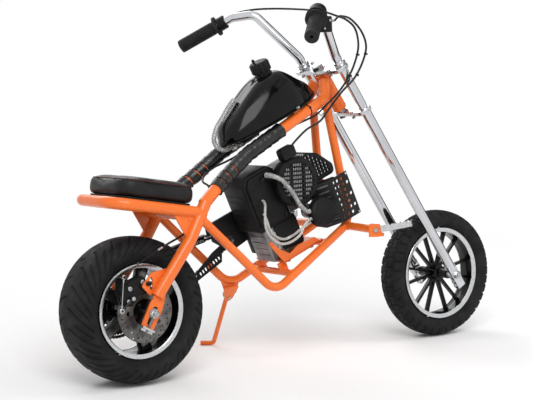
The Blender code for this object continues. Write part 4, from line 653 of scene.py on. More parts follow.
class Piece:
    """Collects shapes and their finishes into one object."""

    def __init__(self, name):
        self.name = name
        self.points, self.faces, self.finishes, self.chosen = [], [], [], []

    def add(self, shape, finish_name, matrix=None):
        if isinstance(shape, list):
            for item in shape:
                self.add(item, finish_name, matrix)
            return self
        points, faces = moved(shape, matrix) if matrix else shape
        start = len(self.points)
        self.points += [tuple(point) for point in points]
        self.faces += [tuple(start + i for i in face) for face in faces]
        if finish_name not in self.finishes:
            self.finishes.append(finish_name)
        self.chosen += [self.finishes.index(finish_name)] * len(faces)
        return self

    def done(self, body, *nodes, sharp=35):
        """Makes the object, leans it onto the model and lets it ride on a body, if one is named."""
        mesh = bpy.data.meshes.new(self.name)
        mesh.from_pydata(self.points, [], self.faces)
        for name in self.finishes:
            mesh.materials.append(FINISH[name])
        mesh.polygons.foreach_set("material_index", self.chosen)
        work = bmesh.new()
        work.from_mesh(mesh)
        bmesh.ops.recalc_face_normals(work, faces=work.faces)
        work.to_mesh(mesh)
        work.free()
        mesh.transform(BIKE)
        mesh.shade_smooth()
        mesh.set_sharp_from_angle(angle=math.radians(sharp))
        obj = bpy.data.objects.new(self.name, mesh)
        bpy.context.scene.collection.objects.link(obj)
        if body:
            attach(obj, body)
        standing_for = [node for node in nodes if node in frame["nodes"]]
        if standing_for:
            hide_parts(*standing_for)
        return obj


# Tyres and wheels

REAR_TYRE = dict(radius=0.165, width=0.127, rim_radius=0.107, rim_width=0.096)
FRONT_TYRE = dict(radius=0.159, width=0.070, rim_radius=0.115, rim_width=0.052)
TYRE_ROWS = (
    # share of the half width, share of the height
    (0.00, 1.000), (0.25, 0.990), (0.54, 0.950), (0.80, 0.865), (0.96, 0.720), (1.00, 0.540),
    (0.92, 0.320),
)


def tyre_side(radius, width, rim_radius, rim_width, count):
    """The tyre's section from the crown down to its bead, at even steps along it."""
    seat = rim_radius - 0.0047
    height = radius - seat
    rows = [Vector((seat + height * up, width / 2 * out, 0)) for out, up in TYRE_ROWS]
    rows.append(Vector((rim_radius + 0.0015, rim_width / 2 - 0.0038, 0)))
    mirrored = Vector((rows[1].x, -rows[1].y, 0))
    line = catmull_rom([mirrored, *rows], 12)[12:]
    return resampled(line, (sum((b - a).length for a, b in zip(line, line[1:]))) / (count - 1))


def tyre_mesh(name, axle, sizes, grooves, depth, steps, rows, pattern):
    """A tyre as a fine grid, with its tread pressed in by the pattern."""
    side = tyre_side(**sizes, count=rows)
    profile = [(-p.y, p.x) for p in reversed(side)] + [(p.y, p.x) for p in side[1:]]
    lateral = np.array([p[0] for p in profile])
    radial = np.array([p[1] for p in profile])
    gradient = np.stack([np.gradient(lateral), np.gradient(radial)], 1)
    gradient /= np.linalg.norm(gradient, axis=1)[:, None]
    normal = np.stack([-gradient[:, 1], gradient[:, 0]], 1)
    along = np.concatenate([[0], np.cumsum(np.hypot(np.diff(lateral), np.diff(radial)))])
    along -= along[-1] / 2
    turn = np.arange(steps) * math.tau / steps
    press = pattern(turn[:, None], along[None, :], grooves, sizes) * depth
    y = lateral[None, :] - normal[None, :, 0] * press
    r = radial[None, :] - normal[None, :, 1] * press
    x = r * np.cos(turn)[:, None] + axle.x
    z = r * np.sin(turn)[:, None] + axle.z
    points = np.stack([x, y + axle.y, z], 2).reshape(-1, 3)
    count = len(profile)
    first = (np.arange(steps)[:, None] * count + np.arange(count - 1)[None, :]).ravel()
    second = (((np.arange(steps) + 1) % steps)[:, None] * count
              + np.arange(count - 1)[None, :]).ravel()
    faces = np.stack([first, second, second + 1, first + 1], 1)
    mesh = bpy.data.meshes.new(name)
    mesh.from_pydata(points.tolist(), [], faces.tolist())
    mesh.materials.append(FINISH["tyre rubber"])
    mesh.transform(BIKE)
    mesh.shade_smooth()
    obj = bpy.data.objects.new(name, mesh)
    bpy.context.scene.collection.objects.link(obj)
    return obj


def ridge(distance, half_width, softness):
    """1 inside a groove, falling to 0 outside its soft edge."""
    return np.clip((half_width + softness - distance) / softness, 0, 1)


def rear_pattern(turn, along, grooves, sizes):
    """Long grooves that sweep back from the crown to each shoulder, and a ribbed lower side."""
    reach = sizes["width"] * 0.60
    out = np.abs(along) / reach
    pitch = math.tau * sizes["radius"] / grooves
    shift = np.where(along > 0, 0.0, 0.5)
    sweep = 1.15 * out ** 1.7
    share = turn * grooves / math.tau + shift - sweep
    whole = np.abs(share - np.round(share)) * pitch
    slope = np.sqrt(1 + (1.955 * out ** 0.7 * pitch / reach) ** 2)
    main = ridge(whole / slope, 0.0015, 0.0011) * ((out > 0.08) & (out < 1.10))
    share = share + 0.5
    half = np.abs(share - np.round(share)) * pitch
    short = ridge(half / slope, 0.0010, 0.0010) * ((out > 0.45) & (out < 1.00))
    bands = ridge(np.abs(np.abs(along) - reach * 1.26), 0.0004, 0.0012) * 0.35
    return np.maximum(np.maximum(main, short), bands + 0 * turn)


def front_pattern(turn, along, grooves, sizes):
    """Blocks cut by zigzag grooves round the tyre and by short slots across its shoulders."""
    reach = sizes["width"] * 0.60
    pitch = math.tau * sizes["radius"] / grooves
    phase = turn * grooves / math.tau
    saw = np.abs(phase - np.floor(phase) - 0.5) * 4 - 1
    made = 0 * along + 0 * turn
    for centre, swing in ((0.0, 0.10), (0.46, 0.07), (-0.46, -0.07)):
        distance = np.abs(along - (centre + swing * saw) * reach)
        made = np.maximum(made, ridge(distance, 0.0013, 0.0010))
    for side in (1, -1):
        out = side * along / reach
        share = phase + 0.25 * side + 0.35 * (out - 0.5)
        distance = np.abs(share - np.round(share)) * pitch
        slots = ridge(distance, 0.0015, 0.0011) * ((out > 0.42) & (out < 1.04))
        made = np.maximum(made, slots)
        share = share + 0.5
        distance = np.abs(share - np.round(share)) * pitch
        made = np.maximum(made, ridge(distance, 0.0008, 0.001) * ((out > 0.04) & (out < 0.46)))
    return made


def build_tyres(sizes):
    rear = tyre_mesh("rear_tyre_tread", REAR_AXLE, REAR_TYRE, sizes.rear_grooves,
                     sizes.groove_depth, 960, 46, rear_pattern)
    front = tyre_mesh("front_tyre_tread", FRONT_AXLE, FRONT_TYRE, sizes.front_blocks,
                      sizes.groove_depth * 0.8, 960, 30, front_pattern)
    for obj, body, node in ((rear, "rear_wheel_body", "rear_tyre"),
                            (front, "front_wheel_body", "front_tyre")):
        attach(obj, body)
        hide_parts(node)


# Frame

SEAT_GAP = 0.0003
MAIN_TUBE_RADIUS = 0.014
CRADLE_RADIUS = 0.010
HOOP_RADIUS = 0.013
WRAP_RADIUS = 0.0185
HEAD_RADIUS = 0.017
PLATE_THICKNESS = 0.004
HOOP_BACK_X = -0.082
HOOP_BACK_Z = 0.4155
HOOP_FRONT_Z = 0.374
JOINT_X = 0.148
JOINT_Z = 0.388
DROPOUT_END = 0.034
PEG_BAR_END_Y = 0.165
PEG_WIDTH = 0.022


def main_tube_path(side):
    """From the seat joint up beside the tank to the steering head."""
    corners = [
        (JOINT_X, side * 0.088, JOINT_Z + 0.006),
        (0.219, side * 0.068, 0.446),
        (0.290, side * 0.060, 0.497),
        steer_point(-0.1117, side * 0.052, HEAD_BOTTOM + 0.074),
        steer_point(-0.0496, side * 0.036, HEAD_BOTTOM + 0.060),
        steer_point(-0.0128, side * 0.018, HEAD_TOP - 0.013),
    ]
    return rounded(corners, 0.035, 9)


def down_tube_path(side):
    """From the seat joint down, under the engine and up the front to the neck."""
    corners = [
        (JOINT_X - 0.010, side * 0.095, JOINT_Z - 0.028),
        (0.232, side * 0.099, 0.268),
        (0.325, side * 0.097, 0.177),
        (0.578, side * 0.057, 0.318),
        steer_point(-0.046, side * 0.027, HEAD_BOTTOM + 0.043),
    ]
    return rounded(corners, 0.048, 12)


def stay_path(side):
    return [
        Vector((JOINT_X + 0.004, side * 0.089, JOINT_Z + 0.010)),
        Vector((0.104, side * STAY_Y, 0.318)),
        REAR_AXLE + Vector((0.012, side * STAY_Y, 0.036)),
    ]


def hoop_path():
    corners = [
        (JOINT_X, 0.090, HOOP_FRONT_Z), (HOOP_BACK_X, STAY_Y, HOOP_BACK_Z),
        (HOOP_BACK_X, -STAY_Y, HOOP_BACK_Z), (JOINT_X, -0.090, HOOP_FRONT_Z),
    ]
    return rounded(corners, 0.055, 14)


def dropout_axes(side):
    """Axes of a dropout plate: back and down along it, across it, and out from its middle."""
    centre = REAR_AXLE + Vector((0, side * STAY_Y, 0))
    return Matrix((
        (-0.485, 0.875, 0, centre.x), (0, 0, 1, centre.y), (-0.875, -0.485, 0, centre.z),
        (0, 0, 0, 1),
    ))


def peg_axes(side):
    """The axes of a footpeg: out along it, along its hinge pin, and up."""
    hinge = Vector((0.562, side * (PEG_BAR_END_Y + 0.016), 0.306))
    return Matrix.Translation(hinge) @ Matrix.Rotation(side * math.radians(45), 4, "Z")


def stand_axes():
    """The side stand's axes: X along its leg, Z along its pivot bolt."""
    splay = math.radians(36.9)
    leg = Vector((0.10, math.sin(splay), -math.cos(splay))).normalized()
    pivot = Vector((0, math.cos(splay), math.sin(splay)))
    other = pivot.cross(leg)
    return Matrix((
        (leg.x, other.x, pivot.x, 0.325), (leg.y, other.y, pivot.y, 0.104),
        (leg.z, other.z, pivot.z, 0.148), (0, 0, 0, 1),
    ))


def bead(path, radius=0.0017):
    """A rippled weld bead along a closed line."""
    path = resampled([*path, path[0]], 0.0008)[:-1]
    radii = [radius * (1 + 0.16 * math.sin(math.tau * i / 4)) for i in range(len(path))]
    return tube(path, radii, 8, closed=True)


def saddle(start, end, radius, centre, axis, wall):
    """The line where a round tube that runs from start to end meets another tube's wall."""
    start, end, centre, axis = (Vector(item) for item in (start, end, centre, axis))
    axis.normalize()
    ahead = (end - start).normalized()
    first = ahead.orthogonal().normalized()
    second = ahead.cross(first)
    flat = ahead - axis * ahead.dot(axis)
    line = []
    for step in range(48):
        angle = math.tau * step / 48
        base = start + (first * math.cos(angle) + second * math.sin(angle)) * radius
        away = base - centre
        away -= axis * away.dot(axis)
        a, b, c = flat.dot(flat), 2 * away.dot(flat), away.dot(away) - wall * wall
        inside = max(0.0, b * b - 4 * a * c)
        line.append(base + ahead * ((-b - math.sqrt(inside)) / (2 * a)))
    return line


def rim_bead(outline, matrix, radius=0.0015):
    """A weld bead along an open line of plate points, as a rounded strip."""
    path = resampled([matrix @ Vector((x, y, 0)) for x, y in outline], 0.0008)
    radii = [radius * (1 + 0.16 * math.sin(math.tau * i / 4)) for i in range(len(path))]
    return tube(path, radii, 8)


def build_frame():
    made = Piece("frame_tubes")
    paint = "orange paint"
    head_bottom, head_top = HEAD_BOTTOM, HEAD_TOP
    profile = [
        (0.0135, head_top), (HEAD_RADIUS - 0.0012, head_top), (HEAD_RADIUS, head_top - 0.0012),
        (HEAD_RADIUS, head_bottom + 0.0012), (HEAD_RADIUS - 0.0012, head_bottom),
        (0.0135, head_bottom),
    ]
    made.add(turned(profile, STEER_BASE, STEER_UP, 64, ring=True), paint)
    for side, _ in SIDES:
        main, down, stay = main_tube_path(side), down_tube_path(side), stay_path(side)
        made.add(tube(main, MAIN_TUBE_RADIUS, 32), paint)
        made.add(tube(down, CRADLE_RADIUS, 28), paint)
        stay_line = rounded(stay, 0.06, 8)
        taper = [MAIN_TUBE_RADIUS] * len(stay_line)
        made.add(tube(stay_line, taper, 32), paint)
        made.add(bead(saddle(main[-2], main[-1], MAIN_TUBE_RADIUS, STEER_BASE, STEER_UP,
                             HEAD_RADIUS)), paint)
        neck = main[-1] - main[-2]
        made.add(bead(saddle(down[-2], down[-1], CRADLE_RADIUS, main[-2], neck,
                             MAIN_TUBE_RADIUS)), paint)
        outline = round_corners(
            ((-0.050, -0.011), (-0.050, 0.011), (-0.018, 0.017), (DROPOUT_END, 0.016),
             (DROPOUT_END, -0.016), (-0.018, -0.017)), 0.003, 5)
        slot = stadium(0.022, 0.0062, (0.006, 0), along_y=False, count=12)
        made.add(slab(outline, 0.006, dropout_axes(side), (slot,), 0.0006), paint)
        axes = dropout_axes(side)
        made.add(rim_bead([(-0.044, -0.012), (-0.030, -0.0155)], axes @ Matrix.Translation(
            (0, 0, side * 0.003))), paint)
        outline = ((0.058, 0.390), (JOINT_X, HOOP_FRONT_Z), (0.104, 0.318), (0.092, 0.330))
        made.add(slab(round_corners(outline, 0.004, 5), PLATE_THICKNESS,
                      side_plane(side * (STAY_Y - 0.003)), (), 0.0006), paint)
        for low, high in (((0.060, 0.3895), (0.138, 0.3755)), ((0.094, 0.331), (0.1055, 0.3225))):
            made.add(rim_bead((low, high), side_plane(side * (STAY_Y - 0.0005))), paint)
        made.add(bead(saddle(down[1], down[0], CRADLE_RADIUS,
                             stay[0], stay[1] - stay[0], MAIN_TUBE_RADIUS)), paint)
        add_peg_mount(made, side, down)
    hoop = hoop_path()
    made.add(tube(hoop, HOOP_RADIUS, 32), paint)
    for end, other in ((hoop[0], 1), (hoop[-1], -1)):
        ahead = (hoop[0] - hoop[1]) if other > 0 else (hoop[-1] - hoop[-2])
        ahead.normalize()
        stay = stay_path(other)
        made.add(bead(saddle(end - ahead * 0.05, end, HOOP_RADIUS, stay[0], stay[1] - stay[0],
                             MAIN_TUBE_RADIUS)), paint)
    add_cross_tubes(made)
    add_plates(made)
    made.done("chassis", "frame")


def add_peg_mount(made, side, down):
    axes = peg_axes(side)
    paint = "orange paint"
    start = Vector((0.566, side * 0.057, 0.309))
    end = Vector((0.562, side * PEG_BAR_END_Y, 0.306))
    made.add(tube([start, end], 0.0095, 32), paint)
    low = min(range(len(down)), key=lambda i: (down[i] - start).length)
    along = down[min(low + 1, len(down) - 1)] - down[low - 1]
    made.add(bead(saddle(end, start, 0.0095, start, along, CRADLE_RADIUS)), paint)
    ear_y = PEG_WIDTH / 2 - 0.002
    outline = round_corners(((-0.016, -0.016), (0.006, -0.016), (0.010, -0.011), (0.010, 0.007),
                             (0.005, 0.012), (-0.016, 0.014)), 0.0025, 4)
    for ear in (1, -1):
        made.add(slab(outline, 0.003, side_plane(ear * ear_y, axes), (), 0.0004), paint)
    made.add(box((-0.018, -ear_y, -0.016), (-0.014, ear_y, 0.013), axes, 0.0006), paint)
    made.add(box((-0.016, -0.005, -0.0155), (0.016, 0.005, -0.0078), axes, 0.0008), paint)
    pin = axes.to_3x3() @ Y_AXIS
    made.add(rod(0.0035, -ear_y - 0.004, ear_y + 0.004, axes.translation, pin, 24, 0.0005),
             "bright steel")
    made.add(hex_head(0.0095, -ear_y - 0.0018, -ear_y - 0.006, axes.translation, pin),
             "bright steel")
    made.add(hex_head(0.0095, ear_y + 0.0018, ear_y + 0.005, axes.translation, pin),
             "bright steel")


def add_cross_tubes(made):
    rows = ((0.108, 0.367, STAY_Y, 0.0075), (0.385, 0.2135, 0.088, 0.008),
            (0.4965, 0.2745, 0.070, 0.008))
    hosts = ((hoop_path(), HOOP_RADIUS), (down_tube_path(1), CRADLE_RADIUS),
             (down_tube_path(1), CRADLE_RADIUS))
    for (x, z, half, radius), (host, wall) in zip(rows, hosts):
        made.add(tube([(x, half, z), (x, -half, z)], radius, 28), "orange paint")
        near = min(range(1, len(host) - 1), key=lambda i: (
            (host[i] - Vector((x, half, z))).length if host[i].y > 0 else 9))
        along = host[near + 1] - host[near - 1]
        for side, _ in SIDES:
            centre = Vector((host[near].x, host[near].y * side, host[near].z))
            axis = Vector((along.x, along.y * side, along.z))
            made.add(bead(saddle((x, 0, z), (x, side * half, z), radius, centre, axis, wall)),
                     "orange paint")
    made.add(box((0.162, -0.058, -0.0180), (0.182, 0.058, -0.0020), TANK, 0.0015), "orange paint")


def add_plates(made):
    """The engine's plate, the caliper's tab and the side stand's bracket."""
    paint = "orange paint"
    half = 0.060
    made.add(box((0, -half, -0.002), (0.120, half, 0.002), ENGINE, 0.0006), paint)
    outline = round_corners(
        ((0.0, -0.002), (0.114, -0.002), (0.100, 0.016), (0.050, 0.020), (0.022, 0.012),
         (0.000, 0.034), (-0.016, 0.064), (-0.022, 0.058)), 0.003, 5)
    made.add(slab(outline, PLATE_THICKNESS, side_plane(-half + 0.002, ENGINE), (), 0.0005), paint)
    for x in (0.018, 0.090):
        for y in (-0.048, 0.048):
            made.add(hex_head(0.010, 0.002, 0.0075, ENGINE @ Vector((x, y, 0)),
                              ENGINE.to_3x3() @ Z_AXIS), "bright steel")
            made.add(hex_head(0.010, -0.002, -0.0075, ENGINE @ Vector((x, y, 0)),
                              ENGINE.to_3x3() @ Z_AXIS), "bright steel")
    for side in (1, -1):
        made.add(box((-0.012, side * 0.045 - 0.003, -0.026), (0.010, side * 0.045 + 0.003, 0),
                     ENGINE, 0.0006), paint)
    outline = round_corners(
        ((-0.020, 0.226), (0.006, 0.254), (0.060, 0.262), (0.030, 0.214), (0.000, 0.204)),
        0.004, 5)
    slot = stadium(0.014, 0.0035, (0.004, 0.230), along_y=True, count=8)
    made.add(slab(outline, PLATE_THICKNESS, side_plane(-(STAY_Y - 0.010)), (slot,), 0.0005), paint)
    axes = stand_axes()
    turn = axes.to_3x3() @ Z_AXIS
    outline = round_corners(((-0.034, -0.020), (-0.034, 0.022), (0.004, 0.011), (0.011, 0.004),
                             (0.011, -0.004), (0.004, -0.011)), 0.003, 5)
    made.add(slab(outline, PLATE_THICKNESS, axes @ Matrix.Translation((0, 0, -0.002)), (), 0.0005),
             paint)
    outline = ((0.298, 0.194), (0.352, 0.190), (0.341, 0.157), (0.311, 0.157))
    made.add(slab(outline, PLATE_THICKNESS, side_plane(0.0945), (), 0.0005), paint)
    top = 0.011 + 2 * 0.0005
    made.add(rod(0.004, -0.006, top + 0.003, axes.translation, turn, 24, 0.0005), "bright steel")
    made.add(hex_head(0.013, top, top + 0.005, axes.translation, turn), "bright steel")


def build_tape(looks):
    """Tape wound round each main tube in overlapping turns, with gaps near its lower end."""
    for side, label in SIDES:
        path = main_tube_path(side)
        start = path[0].lerp(path[1], 0.60)
        end = wrap_end(side)
        line = [start, *[p for p in path[1:] if p.x < end.x - 0.001], end]
        line = resampled(line, 0.0011)
        length = sum((b - a).length for a, b in zip(line, line[1:]))
        turns = looks.tape_turns
        sides = 36
        points, faces = [], []
        normal = None
        for i, place in enumerate(line):
            ahead = (line[min(i + 1, len(line) - 1)] - line[max(i - 1, 0)]).normalized()
            normal = (Y_AXIS if normal is None else normal)
            normal = (normal - ahead * normal.dot(ahead)).normalized()
            across = ahead.cross(normal)
            share = i / (len(line) - 1)
            for step in range(sides):
                angle = math.tau * step / sides
                phase = share * turns + 0.10 * math.sin(angle + side)
                within = phase - math.floor(phase)
                radius = 0.01670 + 0.0018 * within
                radius -= 0.0006 * max(0.0, 1 - within * 10)
                gap = any(abs(phase - mark) * length / turns < 0.0016 for mark in (1.0, 2.0, 3.0))
                if gap:
                    radius = MAIN_TUBE_RADIUS - 0.0005
                radius += 0.00016 * math.sin(3 * angle + 9 * phase) + 0.0001 * math.sin(
                    5 * angle - 23 * phase)
                points.append(place + (normal * math.cos(angle) + across * math.sin(angle))
                              * min(radius, WRAP_RADIUS))
        for i in range(len(line) - 1):
            for step in range(sides):
                other = (step + 1) % sides
                faces.append((i * sides + step, i * sides + other, (i + 1) * sides + other,
                              (i + 1) * sides + step))
        faces.append(tuple(reversed(range(sides))))
        faces.append(tuple(range((len(line) - 1) * sides, len(line) * sides)))
        Piece(f"tape_{label}").add((points, faces), "black tape").done(
            "chassis", f"tube_wrap_{label}", sharp=40)


def wrap_end(side):
    """Where the tape stops, part of the way along the tube's longest straight run."""
    corners = rounded([
        (JOINT_X, side * 0.088, JOINT_Z + 0.006), (0.219, side * 0.068, 0.446),
        (0.290, side * 0.060, 0.497), steer_point(-0.1117, side * 0.052, HEAD_BOTTOM + 0.074),
        steer_point(-0.0496, side * 0.036, HEAD_BOTTOM + 0.060),
        steer_point(-0.0128, side * 0.018, HEAD_TOP - 0.013)], 0.035, 2)
    return corners[6].lerp(corners[7], 0.55)


# Seat and tank

SEAT_LENGTH = 0.206
SEAT_WIDTH = 0.200
SEAT_THICKNESS = 0.046
SEAT_FRONT_X = 0.141
CAP_RADIUS = 0.024
CAP_HEIGHT = 0.026
CAP_U = 0.160


def seat_axes():
    """X forward along the hoop, Z up from the top of its tubes."""
    slope = math.atan2(HOOP_BACK_Z - HOOP_FRONT_Z, JOINT_X - HOOP_BACK_X)
    origin = Vector((HOOP_BACK_X, 0, HOOP_BACK_Z + HOOP_RADIUS / math.cos(slope) + SEAT_GAP))
    return Matrix.Translation(origin) @ Matrix.Rotation(slope, 4, "Y")


def seat_outline(half, inset=0.0, steps=12):
    front = SEAT_FRONT_X - HOOP_BACK_X
    rear = front - SEAT_LENGTH
    corners = (
        (rear + inset, -half + inset), (front - inset, -half * 0.92 + inset),
        (front - inset, half * 0.92 - inset), (rear + inset, half - inset),
    )
    return round_corners(corners, 0.045 - inset, steps)


def inflated(shape, floor, swell, cap, frames=20):
    """The shape blown up a little as sewn vinyl over foam, its underside held flat."""
    scene = bpy.context.scene
    pad = helper("pad", shape)
    remesh = pad.modifiers.new("Remesh", "REMESH")
    remesh.mode = "VOXEL"
    remesh.voxel_size = 0.005
    start = shape_of(pad)
    pad = helper("pad", start)
    held = pad.vertex_groups.new(name="held")
    held.add([i for i, p in enumerate(start[0]) if p.z < floor + 0.004], 1.0, "REPLACE")
    cloth = pad.modifiers.new("Cloth", "CLOTH")
    cloth.settings.quality = 6
    cloth.settings.mass = 0.25
    cloth.settings.use_pressure = True
    cloth.settings.uniform_pressure_force = swell
    cloth.settings.vertex_group_mass = "held"
    cloth.settings.effector_weights.gravity = 0
    cloth.point_cache.frame_start = 1
    cloth.point_cache.frame_end = frames
    for number in range(1, frames + 1):
        scene.frame_set(number)
    moved_points, faces = shape_of(pad)
    scene.frame_set(1)
    points = []
    for first, then in zip(start[0], moved_points):
        step = then - first
        if step.length > cap:
            step *= cap / step.length
        points.append(first + step)
    return points, faces


def around(shape, ring, height, centre):
    """A level line round the outside of the shape, evened out, a little proud of it."""
    tree = BVHTree.FromPolygons([tuple(p) for p in shape[0]], shape[1])
    middle = Vector((*centre, height))
    reach, ways = [], []
    for x, y in ring:
        way = (Vector((x, y, height)) - middle).normalized()
        hit = tree.ray_cast(middle + way * 0.3, -way)[0]
        ways.append(way)
        reach.append((hit - middle).length if hit else (Vector((x, y, height)) - middle).length)
    for _ in range(6):
        reach = [(reach[i - 1] + reach[i] * 2 + reach[(i + 1) % len(reach)]) / 4
                 for i in range(len(reach))]
    return [middle + way * far for way, far in zip(ways, reach)]


def build_seat(looks):
    axes = seat_axes()
    pan = slab(seat_outline(STAY_Y + 0.0038, 0.008), 0.004, axes @ Matrix.Translation(
        (0, 0, 0.002)), (), 0.0008)
    made = Piece("seat_base").add(pan, "black plastic")
    for x, y in ((0.06, 0.07), (0.06, -0.07), (0.18, 0.066), (0.18, -0.066)):
        made.add(hex_head(0.009, -0.0002, -0.005, axes @ Vector((x, y, 0)),
                          axes.to_3x3() @ Z_AXIS), "bright steel")
    made.done("chassis", "seat_pan")

    floor = 0.004 + SEAT_GAP
    height = SEAT_THICKNESS - 0.006
    start = slab(seat_outline(SEAT_WIDTH / 2, 0.0035), height,
                 Matrix.Translation((0, 0, floor + height / 2)), (), 0.009)
    pad = inflated(start, floor, looks.seat_swell, 0.0060)
    front = SEAT_FRONT_X - HOOP_BACK_X
    middle = front - SEAT_LENGTH / 2
    obj = helper("pad", pad)
    ease = obj.modifiers.new("Ease", "SMOOTH")
    ease.factor, ease.iterations = 0.5, 12
    pad = shape_of(obj)
    top = max(point.z for point in pad[0])
    points = []
    for point in pad[0]:
        # the underside rests flat on the pan, and the top stays inside the solid's height
        share = (point.z - floor) / (top - floor)
        z = floor + max(0.0, share) * (SEAT_THICKNESS - 0.0006)
        points.append(Vector((point.x, point.y, z)))
    pad = smoothed((points, pad[1]), 1)
    made = Piece("seat_cover").add(pad, "black vinyl", axes)
    cover = made.done("chassis", "seat_pad", sharp=80)

    # the seam between the top panel and its side band, with its stitches
    made = Piece("seat_seam")
    line = around(pad, seat_outline(SEAT_WIDTH / 2, 0, 40), floor + 0.0365, (middle, 0))
    line = resampled([*line, line[0]], 0.0016)[:-1]
    made.add(tube(line, 0.0011, 8, closed=True), "black vinyl", axes)
    for i in range(0, len(line) - 1, 3):
        made.add(tube([line[i] + Z_AXIS * 0.0009, line[i + 1] + Z_AXIS * 0.0009,
                       line[(i + 2) % len(line)] + Z_AXIS * 0.0009], 0.0008, 6),
                 "red stitching", axes)
    made.done("chassis", sharp=60)


def tank_rows():
    """The tank's sections, evenly spaced and smooth: forward, height, seam, shoulder."""
    rows = (
        (-0.0130, 0.006, 0.013, 0.006), (-0.010, 0.014, 0.020, 0.011),
        (0.006, 0.036, 0.042, 0.022), (0.055, 0.063, 0.058, 0.034),
        (0.115, 0.090, 0.065, 0.036), (0.155, 0.097, 0.065, 0.036),
        (0.190, 0.092, 0.061, 0.034), (0.224, 0.056, 0.048, 0.029),
        (0.246, 0.034, 0.033, 0.021), (0.262, 0.012, 0.014, 0.008),
    )
    first = catmull_rom([(row[0], row[1], row[2]) for row in rows], 8)
    second = catmull_rom([(row[0], row[3], 0) for row in rows], 8)
    return [(a.x, a.y, a.z, b.y) for a, b in zip(first, second)]


def build_tank():
    made = Piece("fuel_tank_shell")
    sections = []
    for along, height, seam, shoulder in tank_rows():
        half = catmull_rom([
            (seam, 0, 0), (seam * 1.02, height * 0.25, 0), (seam * 0.94, height * 0.55, 0),
            (shoulder * 1.15, height * 0.90, 0), (shoulder * 0.6, height, 0),
            (0, height * 1.004, 0),
        ], 6)
        ring = [(p.x, p.y) for p in half]
        ring += [(-y, z) for y, z in reversed(ring[:-1])]
        sections.append([TANK @ Vector((along, y, z)) for y, z in ring])
    made.add(loft(sections), "black paint")
    edge = [(along, seam + 0.006) for along, _, seam, _ in tank_rows()[2:-1]]
    outline = round_corners([(-0.018, 0.008), *[(x, y) for x, y in edge[::4]], (0.268, 0.008),
                             (0.268, -0.008), *[(x, -y) for x, y in reversed(edge[::4])],
                             (-0.018, -0.008)], 0.004, 3)
    made.add(slab(outline, 0.003, TANK, (), 0.0007), "black paint")
    up = TANK.to_3x3() @ Z_AXIS
    neck = TANK @ Vector((CAP_U, 0, 0))
    made.add(turned([(0, 0.104), (0.0195, 0.104), (0.020, 0.1035), (0.020, 0.0995),
                     (0.0225, 0.0975), (0.024, 0.0955), (0.024, 0.080), (0, 0.080)], neck, up, 64),
             "black paint")
    for x, side in ((0.172, 1), (0.172, -1)):
        made.add(hex_head(0.009, 0.0015, 0.0060, TANK @ Vector((x, side * 0.0665, 0)), up),
                 "bright steel")
    made.done("chassis", "fuel_tank", sharp=42)

    lobes, outline = 10, []
    for i in range(lobes * 16):
        phase = (i % 16) / 16
        dip = 0.5 - 0.5 * math.cos(math.tau * min(1.0, phase * 1.6)) if phase < 0.625 else 0.0
        radius = CAP_RADIUS - 0.0026 * dip
        angle = math.tau * i / (lobes * 16)
        outline.append((radius * math.cos(angle), radius * math.sin(angle)))
    bottom = 0.104 + SEAT_GAP
    place = TANK @ Matrix.Translation((CAP_U, 0, bottom + CAP_HEIGHT / 2))
    cap = Piece("fuel_cap_cover")
    cap.add(slab(outline, CAP_HEIGHT - 0.004, place @ Matrix.Translation((0, 0, -0.002)), (),
                 0.0012), "black plastic")
    top = CAP_HEIGHT / 2
    cap.add(turned([(0, top - 0.0012), (0.013, top - 0.001), (0.0175, top - 0.0002),
                    (0.0205, top - 0.0014), (0.0212, top - 0.0045), (0, top - 0.0045)],
                   place.translation, up, 64), "black plastic")
    stub = place @ Vector((-0.012, 0, 0))
    cap.add(turned([(0, top + 0.010), (0.0024, top + 0.010), (0.0033, top + 0.0092),
                    (0.0033, top + 0.0065), (0.0040, top + 0.006), (0.0026, top + 0.003),
                    (0.0036, top - 0.002), (0, top - 0.002)], stub, up, 32), "black plastic")
    cap.done("chassis", "fuel_cap")

    low = TANK @ Vector((0.012, 0, 0))
    tap = Piece("fuel_tap_body")
    tap.add(turned([(0, -0.0018), (0.0088, -0.0018), (0.009, -0.0025), (0.009, -0.008),
                    (0.0070, -0.0090), (0.0070, -0.0105), (0.0088, -0.0115), (0.0088, -0.0225),
                    (0.0078, -0.024), (0, -0.024)], low, up, 48), "bright steel")
    flat = Matrix.Translation(low) @ TANK.to_3x3().to_4x4()
    tap.add(box((0.001, -0.030, -0.0175), (0.009, 0.004, -0.0105), flat, 0.0018), "bright steel")
    tap.done("chassis", "fuel_tap")


# Wheels, brake and chain

CHAIN_Y = 0.0755
SPROCKET_THICKNESS = 0.003
REAR_TEETH = 56
FRONT_TEETH = 14
CHAIN_PITCH = 0.008
REAR_PITCH_RADIUS = CHAIN_PITCH / (2 * math.sin(math.pi / REAR_TEETH))
FRONT_PITCH_RADIUS = CHAIN_PITCH / (2 * math.sin(math.pi / FRONT_TEETH))
DRIVE_SHAFT = ENGINE @ Vector((-0.0573, 0, 0.0771))
DISC_Y = -0.060
CALIPER_FACE = -0.079
LOWER_GUARD_CORNERS = (
    (0.1191, 0.0133), (0.1056, -0.0061), (0.0470, -0.0177), (0.0168, -0.0185), (0.0083, -0.0150),
    (0.0088, -0.0085), (0.0246, -0.0007), (0.0368, 0.0169),
)


def turned_ring(profile, axle, steps=144):
    return turned(profile, axle, Y_AXIS, steps, ring=True)


